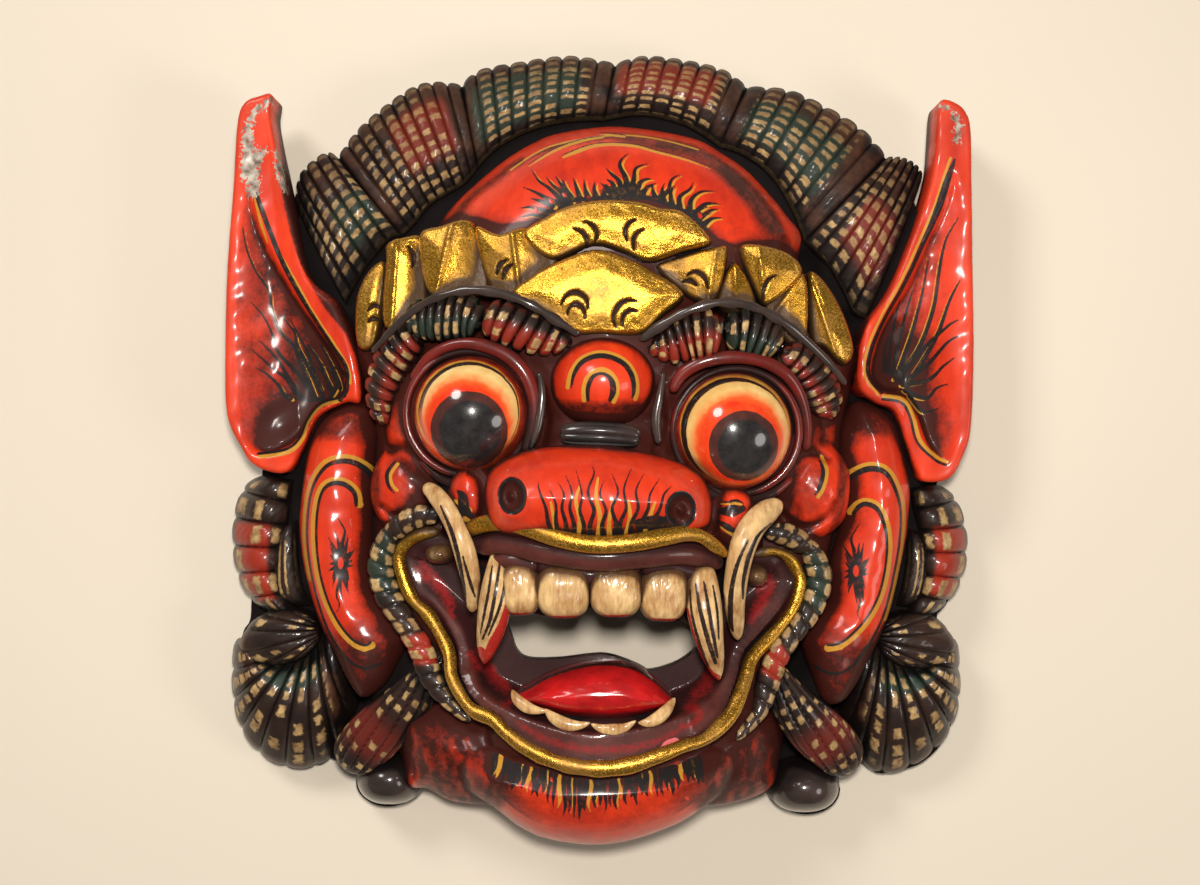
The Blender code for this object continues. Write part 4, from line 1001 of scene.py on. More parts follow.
faceMarks = {
    "cheeks": [
        [(390, 462, 1.2), (382, 474, 2.0), (384, 487, 1.6), (390, 494, 0.8)],
        [(824, 458, 0.8), (828, 472, 2.0), (824, 488, 2.0), (819, 496, 0.8)],
    ],
    "wings": [
        [(458, 490, 0.8), (464, 496, 4.5), (466, 508, 5), (474, 516, 1.5)],
        [(456, 508, 0.8), (466, 512, 3.0)],
        [(718, 511, 2), (730, 510, 5.5), (742, 508, 2.5)],
        [(716, 520, 1), (726, 526, 3), (738, 534, 0.8)],
        [(722, 502, 0.8), (735, 500, 1.4), (742, 503, 0.8)],
    ],
    "wingOchre": [
        [(456, 500, 1.0), (464, 504, 3), (472, 510, 2)],
        [(466, 518, 2.4), (474, 522, 0.8)],
        [(720, 526, 1), (730, 532, 2.4), (738, 538, 0.8)],
        [(720, 503, 0.8), (736, 503, 1.8), (742, 506, 0.8)],
    ],
    "brown": [
        [(372, 430, 4), (376, 480, 6), (376, 540, 6), (392, 600, 6), (420, 640, 6)],
        [(845, 430, 4), (842, 480, 6), (834, 540, 6), (818, 600, 6), (792, 645, 6)],
    ],
    "jaws": [
        [(430, 690, 16), (425, 730, 18), (440, 770, 22), (480, 790, 16)],
        [(446, 690, 12), (462, 718, 14), (484, 742, 12), (505, 756, 8)],
        [(770, 690, 14), (765, 740, 18), (745, 775, 22), (715, 792, 14)],
        [(758, 690, 10), (742, 718, 14), (722, 742, 12), (704, 756, 8)],
    ],
    "bumps": [
        [(398, 470, 12), (408, 505, 14)],
        [(822, 480, 12), (812, 512, 14)],
    ],
}


def makeFace():
    loops = [outline(face[key], level) for key, level in (("cheeks", 26.0), ("jaw", 16.0), ("chin", 40.0))]
    places, faces = gridSheet(loops, [outline(mouthLook["gap"], 92.0)], face["step"], faceHeights)
    x, y = places[:, 0], places[:, 1]
    inMouth = toLoop(x, y, outline(mouthLook["edge"], 84.0)) > 0.0
    slots = inMouth[faces].all(axis=1).astype(int)
    edges = [offsetStroke(line, -4, half) for line, half in zip(faceMarks["cheeks"], (1.6, 1.8))]
    # Painted darker: bands down the face's sides, the cheek bumps and the jaw corners; painted shade inside
    # the mouth's recess.
    brown = 0.7 * ease(0.5 - 0.25 * strokeField(x, y, faceMarks["brown"], 60.0, 6.0))
    bumps = 0.42 * ease(0.6 - 0.25 * strokeField(x, y, faceMarks["bumps"], 64.0, 6.0))
    jaws = ease(0.9 - 0.08 * strokeField(x, y, faceMarks["jaws"], 50.0, 12.0))
    jaws = (0.86 + 0.14 * wobble(x, y * 0.4, 5.0, 21)) * jaws
    inner = 0.85 * ease(toLoop(x, y, outline(mouthLook["recess"], 74.0)) / 5.0)
    keep("face", places, faces, [skin, maroon], "red_paint", {
        "ink": strokeField(x, y, faceMarks["cheeks"] + faceMarks["wings"], 84.0),
        "ochre": strokeField(x, y, edges + faceMarks["wingOchre"], 84.0),
        "red": strokeField(x, y, mouthLook["mottle"], 70.0),
        "pink": strokeField(x, y, mouthLook["dab"], 90.0),
        "hollowShare": np.full(len(x), face["washAndShadeShare"]),
        "shade": np.maximum.reduce([brown, bumps, jaws, inner]),
    }, faceSlots=slots, sheet=True)


crown = {
    "leftCluster": (
        ((566, 208), (558, 196), (548, 186), (538, 178), (530, 165)),
        ((566, 206), (548, 198), (534, 190), (521, 184)),
        ((566, 204), (562, 192), (553, 184), (545, 174)),
        ((570, 204), (566, 192), (560, 182), (555, 174)),
        ((560, 214), (545, 210), (530, 206), (519, 207)),
        ((556, 220), (542, 216), (530, 214), (518, 217)), ((552, 205), (540, 200), (530, 197)),
    ),
    "spikes": (
        ((572, 198), (566, 188), (562, 177)), ((580, 198), (576, 186), (573, 176)),
        ((588, 197), (585, 188), (584, 178)), ((596, 196), (594, 188), (595, 180)),
        ((604, 196), (604, 189), (607, 183)), ((612, 196), (612, 190), (616, 184)),
    ),
    "middle": (
        ((612, 190), (606, 186), (600, 182)), ((616, 192), (612, 182), (606, 178)),
        ((622, 194), (619, 180), (611, 172), (606, 166)),
        ((626, 194), (626, 178), (620, 164), (622, 156), (628, 150)),
        ((630, 194), (634, 178), (636, 166), (648, 161)),
        ((636, 194), (640, 182), (646, 178), (652, 178)), ((642, 194), (648, 186), (656, 182)),
        ((618, 196), (610, 192), (600, 190)),
    ),
    "right": (
        ((656, 198), (653, 190), (653, 183)), ((664, 200), (662, 190), (665, 182)),
        ((672, 203), (671, 192), (675, 184)), ((680, 206), (680, 196), (690, 188), (694, 180)),
        ((690, 208), (692, 198), (702, 190), (718, 189)),
        ((696, 212), (704, 204), (712, 202), (722, 203)), ((700, 218), (710, 210), (718, 208)),
        ((704, 224), (712, 218), (722, 217)), ((660, 197), (668, 190), (672, 178), (681, 172)),
        ((684, 214), (696, 210), (708, 206)), ((690, 220), (700, 214), (712, 213)),
    ),
    "arcs": (
        ((528, 161, 0.6), (545, 150, 1.2), (562, 141, 1.5), (582, 134, 1.4), (604, 130, 0.8)),
        ((600, 126, 0.6), (612, 127, 1.5), (626, 130, 0.7)),
        ((563, 153, 1.2), (576, 147, 2.1), (592, 141, 2.0), (612, 139, 1.6), (636, 141, 1.5),
         (656, 147, 1.3), (682, 154, 1.1), (712, 164, 0.5)),
    ),
    "upperArc": ((510, 166, 1.0), (540, 146, 2.5), (570, 137, 3.0), (620, 130, 3.2), (660, 134, 2.8),
                 (700, 145, 1.5)),
}


def makeForehead():
    def surface(x, y):
        return np.maximum(skinHeights(x, y).z, 29.0) + 0.2

    places, faces = gridSheet([outline(face["forehead"], 30.0)], [], face["foreheadStep"], surface)
    x, y = places[:, 0], places[:, 1]
    flames = thickLines(crown["leftCluster"], 3.0) + thickLines(crown["spikes"], 2.8)
    flames += thickLines(crown["middle"], 3.2) + thickLines(crown["right"], 2.8)
    rootLine = [[(560, 206, 2), (572, 200, 2), (600, 198, 2.4), (630, 196, 3), (655, 199, 2),
                 (690, 214, 2.5), (706, 228, 2)]]
    arcs = [list(arc) for arc in crown["arcs"]]
    rightShade = [[(610, 132, 2), (650, 138, 5), (700, 152, 6), (735, 175, 8), (765, 210, 9), (785, 245, 7)],
                  [(450, 218, 1), (475, 188, 2), (520, 157, 2)]]
    low = [[(440, 226, 3), (476, 219, 2), (500, 226, 3), (530, 226, 3)],
           [(700, 236, 2), (730, 246, 3), (770, 246, 3)]]
    right = strokeField(x, y, rightShade, 70.0, 10.0)
    below = strokeField(x, y, low + [list(crown["upperArc"])], 78.0, 6.0)
    keep("forehead", places, faces, [skin], "red_paint", {
        "ink": strokeField(x, y, flames + rootLine + [offsetStroke(arc, -2.6, 0.7) for arc in arcs], 80.0),
        "ochre": strokeField(x, y, flick(flames, (3.0, 1.5), 0.4) + arcs
                             + [offsetStroke(crown["upperArc"], -3.0, 1.0)], 80.0),
        "shade": np.maximum(0.85 * ease(0.75 - 0.16 * right), 0.8 * ease(0.5 - 0.3 * below)),
    }, sheet=True)


noseLook = {
    "outline": ((484, 500), (490, 470), (515, 453), (550, 446), (600, 444), (645, 452), (690, 466),
                (708, 485), (712, 515), (700, 535), (660, 545), (600, 552), (540, 545), (495, 532)),
    "base": 90.0, "top": 121.0, "shoulder": 23.0,
    "nostrils": (((512, 496), (13, 17)), ((681, 510), (14, 17))),
    "flames": (
        ((552, 534), (548, 522), (546, 508), (540, 492), (538, 482)),
        ((558, 536), (556, 520), (556, 504), (550, 490)),
        ((566, 538), (566, 524), (562, 508), (564, 494), (558, 482)),
        ((574, 540), (574, 524), (570, 508), (572, 492), (566, 476)),
        ((582, 541), (584, 526), (580, 510), (582, 494), (576, 470)),
        ((592, 542), (590, 526), (594, 510), (588, 492), (594, 474), (592, 466)),
        ((604, 542), (602, 526), (606, 510), (600, 494), (604, 480)),
        ((614, 541), (616, 524), (612, 508), (618, 492), (612, 474)),
        ((622, 540), (620, 524), (626, 508), (624, 488), (632, 468)),
        ((630, 538), (632, 522), (638, 508), (636, 490), (644, 474)),
        ((640, 536), (642, 522), (648, 508), (650, 494), (660, 478)),
        ((650, 533), (654, 520), (660, 508), (664, 494), (672, 486)),
        ((660, 530), (664, 520), (670, 508)), ((668, 528), (673, 520), (680, 530)),
    ),
    "ochreFlames": (
        ((556, 536), (554, 518), (551, 502)), ((578, 540), (580, 520), (576, 500), (580, 486)),
        ((598, 540), (600, 516), (596, 496), (598, 478)), ((610, 540), (609, 522), (613, 500)),
        ((626, 538), (630, 516), (628, 500)), ((645, 534), (650, 516), (655, 502)),
    ),
    "roots": (
        ((545, 540, 2), (570, 543, 3), (600, 544, 3.5), (630, 541, 3), (660, 533, 2.5), (680, 532, 2)),
        ((640, 524, 5), (655, 522, 6), (668, 524, 5)),
    ),
}


def noseHeights(x, y):
    relief = Relief(x, y)
    relief.z[:] = 60.0
    relief.pillow(noseLook["outline"], noseLook["base"], noseLook["top"], noseLook["shoulder"])
    for centre, radii in noseLook["nostrils"]:
        cx, cy = spot(*centre, 110.0)
        near = drawing["step"] * (1.0 - 110.0 / drawing["viewHeight"])
        away = np.sqrt(((x - cx) / (radii[0] * near)) ** 2 + ((y - cy) / (radii[1] * near)) ** 2)
        relief.z -= 8.0 * ease(1.25 - away) - 4.5 * ease(0.85 - away)
    return relief.z + 0.12 * wobble(x, y, 6.0, 5)


def makeNose():
    places, faces = gridSheet([outline(noseLook["outline"], 90.0)], [], face["noseStep"], noseHeights)
    x, y = places[:, 0], places[:, 1]
    flames = thickLines(noseLook["flames"], 2.6, 0.4)
    holes = []
    # deep: painted shade in the nostrils and round the nose's edge.
    deep = np.zeros(len(x))
    for (across, down), (rx, ry) in noseLook["nostrils"]:
        ring = [(across + rx * math.cos(turn), down + ry * math.sin(turn), 2.0)
                for turn in np.linspace(0, 2 * math.pi, 13)]
        holes.append(ring)
        cx, cy = spot(across, down, 112.0)
        near = drawing["step"] * 0.885
        away = np.hypot((x - cx) / (rx * near), (y - cy) / (ry * near))
        deep = np.maximum(deep, 1.1 * ease(2.6 - 2.0 * away))
    deep = np.maximum(deep, 0.6 * ease(1.0 - toLoop(x, y, outline(noseLook["outline"], 90.0)) / 5.5))
    keep("nose", places, faces, [skin], "red_paint", {
        "ink": strokeField(x, y, flames + [list(line) for line in noseLook["roots"]] + holes, 116.0),
        "ochre": strokeField(x, y, thickLines(noseLook["ochreFlames"], 2.6, 1.0), 116.0), "shade": deep,
    }, sheet=True)


beardLook = {
    "strokes": 42, "left": 496.0, "across": 203.0, "down": 757.0, "sag": 21.0, "lean": 2.4, "bend": 3.4,
    "ochreEvery": 6, "tall": (19.0, 13.0), "longest": 16.0, "longAt": 0.4, "longSpread": 0.12,
    "half": (1.5, 1.5), "taper": (0.6, 1.0, 1.0, 0.7, 0.25),
    "outline": ((490, 738), (520, 758), (562, 776), (599, 780), (640, 775), (683, 758), (705, 750),
                (722, 752), (716, 782), (697, 806), (675, 820), (632, 833), (593, 838), (548, 832),
                (522, 820), (498, 800), (484, 772)),
}


def makeChin():
    def surface(x, y):
        return skinHeights(x, y).z + 0.25

    places, faces = gridSheet([outline(beardLook["outline"], 84.0)], [], face["chinStep"], surface)
    x, y = places[:, 0], places[:, 1]
    beard, gleams = [], []
    for index in range(beardLook["strokes"]):
        share = index / (beardLook["strokes"] - 1.0)
        across = beardLook["left"] + beardLook["across"] * share
        down = beardLook["down"] + beardLook["sag"] * math.sin(math.pi * share)
        lean = (share - 0.5) * beardLook["lean"]
        least, more = beardLook["tall"]
        tall = least + more * hashOf(index, 1)
        fromLongest = (share - beardLook["longAt"]) / beardLook["longSpread"]
        tall += beardLook["longest"] * math.exp(-fromLongest ** 2)
        least, more = beardLook["half"]
        width = least + more * hashOf(index, 2)
        bend = beardLook["bend"] * (hashOf(index, 3) - 0.5)
        line = [(across + 5.0 * lean * step / 4.0 + bend * math.sin(step * 1.7), down + tall * step / 4.0,
                 width * thin)
                for step, thin in enumerate(beardLook["taper"])]
        (gleams if index % beardLook["ochreEvery"] == 1 else beard).append(line)
    gleams = flick(gleams, (0.0, 0.0), 0.4) + flick(beard[::4], (2.6, 0.0), 0.8)
    # Painted shade: darker at the chin's sides and in a band just under the mouth's rim.
    shade = 0.36 + 0.5 * ease(np.abs(x) / 30.0 - 0.6)
    keep("chin", places, faces, [skin], "red_paint", {
        "ink": strokeField(x, y, beard, 84.0),
        "ochre": strokeField(x, y, gleams, 84.0),
        "shade": shade + 0.4 * ease((y - spot(0, 778, 84)[1]) / 9.0 + 0.5),
    }, sheet=True)


ears = {
    "left": {
        "outline": ((277, 100), (262, 102), (250, 108), (243, 127), (239, 190), (233, 270), (231, 345),
                    (232, 413), (245, 446), (260, 466), (290, 472), (308, 447), (322, 418), (350, 404),
                    (367, 401), (362, 354), (342, 306), (314, 279), (296, 215), (284, 165), (276, 122)),
        "cup": ((252, 188), (262, 225), (277, 259), (307, 306), (344, 361), (349, 383), (342, 400),
                (319, 411), (305, 433), (285, 451), (259, 457), (236, 434), (229.5, 360), (231, 280),
                (238, 206)),
        "pit": (322, 386), "side": -1.0, "low": (279, 424), "cupShade": 0.5,
        "flank": ((279, 140, 2.5), (285, 187, 4.5), (296, 230, 6.5), (308, 262, 7.5), (330, 298, 9),
                  (350, 328, 6), (361, 352, 3)),
        "gilt": (
            ((254, 192, 0.8), (261, 222, 1.5), (268, 243, 0.8)),
            ((281, 254, 0.8), (291, 274, 2.2), (303, 295, 2.4), (314, 312, 1.3), (337, 346, 1.4),
             (350, 368, 1.8), (353, 384, 1.4)),
        ),
        "edge": ((252, 178, 1.0), (259, 200, 2.2), (268, 225, 2.4), (283, 262, 2.4), (305, 302, 2.2),
                 (333, 345, 2.0), (347, 366, 2.6), (349, 382, 2.6), (342, 400, 2.4)),
        "lowEdge": ((342, 401, 1.6), (322, 406, 1.8), (308, 422, 1.8), (303, 438, 1.8), (288, 452, 2.0),
                    (258, 457, 1.6)),
        "strokes": (
            ((312, 396), (306, 380), (297, 358), (292, 345), (280, 332), (271, 310), (268, 290),
             (256, 272), (247, 250), (243, 228)),
            ((308, 394), (300, 378), (289, 366), (277, 352), (272, 336), (264, 318), (251, 302)),
            ((318, 388), (304, 362), (296, 345), (292, 330), (280, 315)),
            ((300, 396), (293, 392), (284, 378), (274, 370), (264, 361), (250, 348)),
            ((288, 398), (282, 394), (277, 385), (266, 374), (256, 368)),
            ((320, 392), (312, 372), (306, 352), (300, 340), (290, 320)),
            ((328, 388), (320, 366), (312, 352), (306, 344)), ((322, 398), (305, 400), (292, 398)),
            ((340, 388), (335, 374), (324, 352), (319, 344)),
            ((296, 394), (288, 380), (278, 362), (268, 350), (258, 340)),
            ((332, 392), (324, 376), (314, 366)), ((346, 396), (350, 386), (344, 372), (330, 366)),
            ((330, 396), (336, 384), (330, 372), (322, 364)),
        ),
        "chips": (
            ((243, 175, 4), (250, 160, 9), (262, 150, 3)),
            ((248, 120, 3), (246, 140, 5), (250, 165, 7), (252, 190, 6)),
            ((276, 152, 3), (281, 170, 5), (286, 188, 4)), ((262, 101, 2), (272, 99, 3), (277, 100, 2)),
            ((262, 104, 1), (252, 112, 3), (246, 130, 3)),
        ),
    },
    "right": {
        "outline": ((937, 105), (950, 108), (960, 117), (965, 135), (966, 190), (967, 270), (968, 350),
                    (966, 426), (959, 455), (945, 478), (920, 481), (912, 470), (900, 440), (890, 412),
                    (868, 402), (852, 383), (857, 334), (882, 298), (905, 246), (920, 205), (929, 165),
                    (932, 118)),
        "cup": ((953, 170), (945, 195), (927, 234), (905, 281), (880, 321), (867, 361), (868, 380),
                (882, 394), (905, 399), (917, 421), (926, 445), (942, 465), (956, 457), (965, 422),
                (969.5, 350), (969, 270), (966, 200)),
        "pit": (898, 373), "side": 1.0, "low": (928, 424), "cupShade": 0.0,
        "flank": ((927, 155, 2.5), (916, 203, 4.5), (902, 244, 6), (883, 284, 7), (864, 314, 7),
                  (855, 345, 4)),
        "gilt": (),
        "edge": ((954, 160, 1.2), (947, 180, 3.2), (938, 208, 3.6), (926, 236, 2.6), (905, 281, 2.2),
                 (882, 322, 2.0), (869, 352, 2.4), (867, 375, 2.6), (880, 392, 2.4)),
        "lowEdge": ((882, 396, 1.8), (903, 400, 2.2), (913, 416, 2.0), (920, 440, 2.0), (936, 456, 1.8),
                    (948, 462, 1.6)),
        "strokes": (
            ((898, 378), (920, 350), (934, 310), (940, 270), (946, 240), (958, 218)),
            ((902, 380), (926, 348), (948, 326), (958, 320)),
            ((900, 376), (912, 340), (922, 300), (930, 256)),
            ((904, 382), (928, 366), (948, 342), (960, 336)),
            ((906, 384), (930, 380), (944, 366), (954, 358)),
            ((896, 374), (900, 345), (908, 310), (914, 290)),
            ((908, 390), (928, 398), (938, 388), (948, 384)),
            ((890, 372), (892, 350), (896, 320), (900, 300)), ((912, 396), (926, 412), (940, 408)),
            ((886, 370), (886, 350), (890, 336)), ((910, 386), (936, 340), (950, 300), (960, 280)),
        ),
        "chips": (((955, 112, 2), (960, 125, 3), (958, 140, 2.5)), ((940, 104, 1), (950, 107, 1.5))),
    },
    "rollHeight": 58.0, "rimHeight": 46.0, "cupDepth": 12.0, "step": 0.62,
}


def makeEar(name):
    look = ears[name]
    side = look["side"]
    cup = outline(look["cup"], 45.0)
    px, py = spot(*look["pit"], 30.0)
    loop = outline(look["outline"], 30.0)

    def pitNear(x, y):
        return np.exp(-(((x - px) / 14.0) ** 2 + ((y - py) / 26.0) ** 2))

    def surface(x, y):
        depth, cupDepth = toLoop(x, y, loop), toLoop(x, y, cup)
        inward = np.clip((125.0 - side * x) / 40.0 + (y + 40.0) / 400.0, 0.0, 1.0)
        high = ears["rimHeight"] + (ears["rollHeight"] - ears["rimHeight"]) * inward
        high = high - 4.0 * ease((35.0 - y) / 60.0) * (1.0 - inward)
        inRim = 0.06 + 0.94 * ease((157.0 - side * x) / 17.0)
        high = high - ears["cupDepth"] * (0.35 + 0.65 * pitNear(x, y)) * ease(0.15 + cupDepth / 5.0) * inRim
        soft = 2.0 + 3.0 * inward
        return high - soft * (1.0 - bulge(depth / soft)) + 0.25 * wobble(x, y, 14.0, 2)

    places, faces = gridSheet([loop], [], ears["step"], surface)
    x, y = places[:, 0], places[:, 1]
    cupDepth = toLoop(x, y, cup)
    strokes = thickLines(look["strokes"], 2.6, 0.7)
    inner = (125.0 - side * x) / 40.0
    # Darker: the pit, the cup's low patch and a band down the roll's flank; painted shade on the cup's
    # walls, and over the left ear's cup more than the right as the light falls.
    wall = ease(cupDepth / 3.0) * ease(1.6 - cupDepth / 7.0) * ease(inner)
    lowX, lowY = spot(*look["low"], 35.0)
    low = ease(1.7 - 1.3 * np.hypot((x - lowX) / 11.0, (y - lowY) / 14.0)) * ease(cupDepth / 2.0)
    gilt = look["gilt"] or (offsetStroke(look["edge"], 4.4 * side, 1.3),)
    gilt = [list(line) for line in gilt] + [list(look["lowEdge"])]
    inks = strokes + [list(look["edge"]), offsetStroke(look["lowEdge"], 3.4, 1.4)]
    pit = 0.82 * ease(1.5 * pitNear(x, y) - 0.2) * (cupDepth > 0)
    cupShading = np.maximum(0.5 * wall, 0.55 * low) + look["cupShade"] * ease(cupDepth / 4.0)
    flank = 1.0 * ease(0.7 - 0.45 * strokeField(x, y, [look["flank"]], 52.0, 8.0))
    keep(f"{name}_ear", places, faces, [chippedSkin], "red_paint", {
        "ink": strokeField(x, y, inks, 44.0),
        "ochre": strokeField(x, y, flick(strokes[::2], (-2.6 * side, 1.6), 0.9) + gilt, 44.0),
        "chip": strokeField(x, y, look["chips"], 50.0, 9.0),
        "shade": np.maximum(pit, cupShading) + flank,
    }, sheet=True)


jowls = {
    "left": {
        "outline": ((306, 444), (300, 480), (296, 522), (300, 565), (309, 599), (320, 630), (335, 655),
                    (348, 680), (363, 697), (385, 685), (400, 660), (409, 637), (395, 610), (378, 586),
                    (374, 540), (375, 496), (377, 455), (379, 428), (372, 405), (350, 402), (324, 415)),
        "outer": ((376, 494), (371, 478), (360, 466), (345, 461), (327, 466), (313, 485), (307, 510),
                  (306, 545), (311, 580), (319, 612), (331, 640), (345, 658), (363, 668), (380, 664)),
        "inner": ((359, 505), (357, 492), (347, 482), (333, 480), (321, 488), (315, 506), (313, 535),
                  (316, 570), (324, 600), (336, 624), (350, 641), (364, 648), (372, 645)),
        "rosette": (341, 563), "side": -1.0,
    },
    "right": {
        "outline": ((903, 436), (913, 484), (912, 520), (908, 548), (900, 585), (892, 615), (880, 642),
                    (867, 665), (855, 686), (840, 702), (822, 700), (808, 665), (801, 637), (812, 615),
                    (826, 598), (829, 563), (840, 520), (843, 491), (838, 455), (840, 425), (854, 402),
                    (878, 406), (894, 418)),
        "outer": ((847, 492), (852, 478), (868, 469), (884, 472), (895, 488), (902, 512), (901, 545),
                  (894, 585), (884, 620), (868, 648), (850, 668), (832, 674), (817, 668)),
        "inner": ((852, 512), (858, 504), (868, 501), (880, 508), (888, 528), (890, 555), (884, 590),
                  (872, 615), (856, 634), (840, 646), (828, 648)),
        "rosette": (856, 571), "side": 1.0,
    },
    "outerHeight": 27.0, "height": 56.0, "shoulder": 17.0, "step": 0.55,
}


def brushed(line):  # a stroke with a fuller head
    return [(across, down, half * (1.0 + 0.9 * math.exp(-((index - 2.0) / 1.8) ** 2))) for index,
            (across, down, half) in enumerate(line)]


def rosette(centre, side):  # a painted burst of black flames with long tails
    across, down = centre
    strokes = []
    for index in range(18):
        turn = 2.0 * math.pi * index / 18.0 + 0.2 * (hashOf(index, 4) - 0.5)
        reach = 18.0 + 9.0 * hashOf(index, 5) + 11.0 * abs(math.sin(turn)) ** 3
        bend = 0.25 * (hashOf(index, 6) - 0.5)
        line = []
        for step in range(5):
            out = 8.0 + (reach - 8.0) * step / 4.0
            line.append((across + 0.62 * out * math.cos(turn + bend * step / 2.0),
                         down + out * math.sin(turn + bend * step / 2.0), (2.0, 1.9, 1.3, 0.8, 0.3)[step]))
        strokes.append(line)
    for way in (-1.0, 1.0):
        strokes.append([(across + 1.5 * way * side, down + way * 20.0, 1.8),
                        (across + 4.0 * side * way, down + way * 32.0, 1.1),
                        (across + 1.0 * side, down + way * 42.0, 0.7),
                        (across + 5.0 * side, down + way * 50.0, 0.4)])
    ring = [(across + 5.0 * math.cos(turn), down + 8.5 * math.sin(turn), 1.9)
            for turn in np.linspace(0, 2 * math.pi, 9)]
    return strokes + [ring]


def makeJowl(name):
    look = jowls[name]
    side = look["side"]
    loop = outline(look["outline"], 40.0)

    def surface(x, y):
        inward = ease((132.0 - side * x) / 30.0)
        foot = jowls["outerHeight"] + 14.0 * inward
        rise = (jowls["height"] - foot) * bulge(toLoop(x, y, loop) / jowls["shoulder"])
        return foot + rise + 0.15 * wobble(x, y, 10.0, 6)

    places, faces = gridSheet([loop], [], jowls["step"], surface)
    x, y = places[:, 0], places[:, 1]
    outer = [(across, down, 2.3) for across, down in look["outer"]]
    inner = [(across, down, 1.8) for across, down in look["inner"]]
    outer[0], outer[-1] = (*look["outer"][0], 0.9), (*look["outer"][-1], 0.8)
    way = -side
    inks = [brushed(offsetStroke(outer, 0.0, 1.5)), brushed(offsetStroke(inner, -3.2 * way, 1.3))]
    ends = [[(*inner[0][:2], 3.2), (*inner[1][:2], 2.4)], [(*inner[-1][:2], 3.6), (*inner[-2][:2], 3.2)]]
    gilt = [offsetStroke(outer[:9], 4.6 * way, 2.1), offsetStroke(inner, 0.6 * way, 2.2), *ends]
    # Painted shade at the jowl's top under the ear, at its lower tip, and along its edge, heavier on the
    # side towards the middle of the face.
    upper = 0.8 * ease((y - spot(0, 452, 50.0)[1]) / 10.0)
    lower = 0.95 * ease((spot(0, 600, 45.0)[1] - y) / 26.0)
    rim = 0.35 + 0.35 * ease(-side * (x - x.mean()) / 10.0)
    rim = rim * ease(1.0 - toLoop(x, y, loop) / 7.0)
    keep(f"{name}_jowl", places, faces, [skin], "red_paint", {
        "ink": strokeField(x, y, inks + rosette(look["rosette"], side), 54.0),
        "ochre": strokeField(x, y, gilt, 54.0),
        "shade": upper + lower + rim,
    }, sheet=True)


# Combed hair: a lock is a fan of strands between an inner and an outer line of the drawing.
crest = {
    "notches": (
        ((293, 202), (345, 305)), ((336, 155), (402, 236)), ((461, 82), (478, 168)),
        ((616, 61), (604, 121)), ((748, 84), (719, 147)), ((889, 155), (804, 242)),
        ((925, 173), (867, 320)),
    ),
    "inner": (
        ((345, 305), (353, 290), (366, 269), (380, 251), (392, 239), (402, 236)),
        ((402, 236), (413, 226), (430, 206), (447, 195), (465, 184), (478, 168)),
        ((478, 168), (488, 157), (502, 146), (520, 136), (545, 127), (575, 122), (604, 121)),
        ((604, 121), (620, 118), (640, 116), (662, 119), (685, 126), (703, 136), (719, 147)),
        ((719, 147), (738, 153), (758, 165), (773, 180), (785, 198), (795, 218), (804, 242)),
        ((804, 242), (816, 253), (829, 268), (842, 290), (853, 312), (867, 320)),
    ),
    "swells": (
        ((299, 172), (323, 151)), ((360, 124), (403, 90), (430, 80)), ((479, 68), (520, 60), (570, 54)),
        ((645, 54), (690, 59), (725, 68)), ((790, 88), (826, 104), (864, 127)), ((905, 156), (918, 163)),
    ),
    "strands": (6, 10, 9, 8, 8, 6), "colours": ("green", "red", "green", "red", "green", "red"),
    "patches": ((0.45, 0.95, 0.15, 0.55), (0.4, 0.85, 0.3, 0.8), (0.05, 0.8, 0.15, 0.8),
                (0.05, 0.8, 0.35, 0.85), (0.1, 0.8, 0.2, 0.75), (0.25, 0.95, 0.2, 0.6)),
    "plain": ((0.0, 0.97), (0.12, 0.8), (0.14, 0.86), (0.1, 0.86), (0.1, 0.8), (0.05, 0.97)),
    "edgeHeight": 23.0, "innerHeight": 28.0, "swell": 9.0, "lockSwell": 2.0, "rows": 10.0, "crown": 0.18,
    "groove": 0.9, "edgeDrop": 4.0,
}


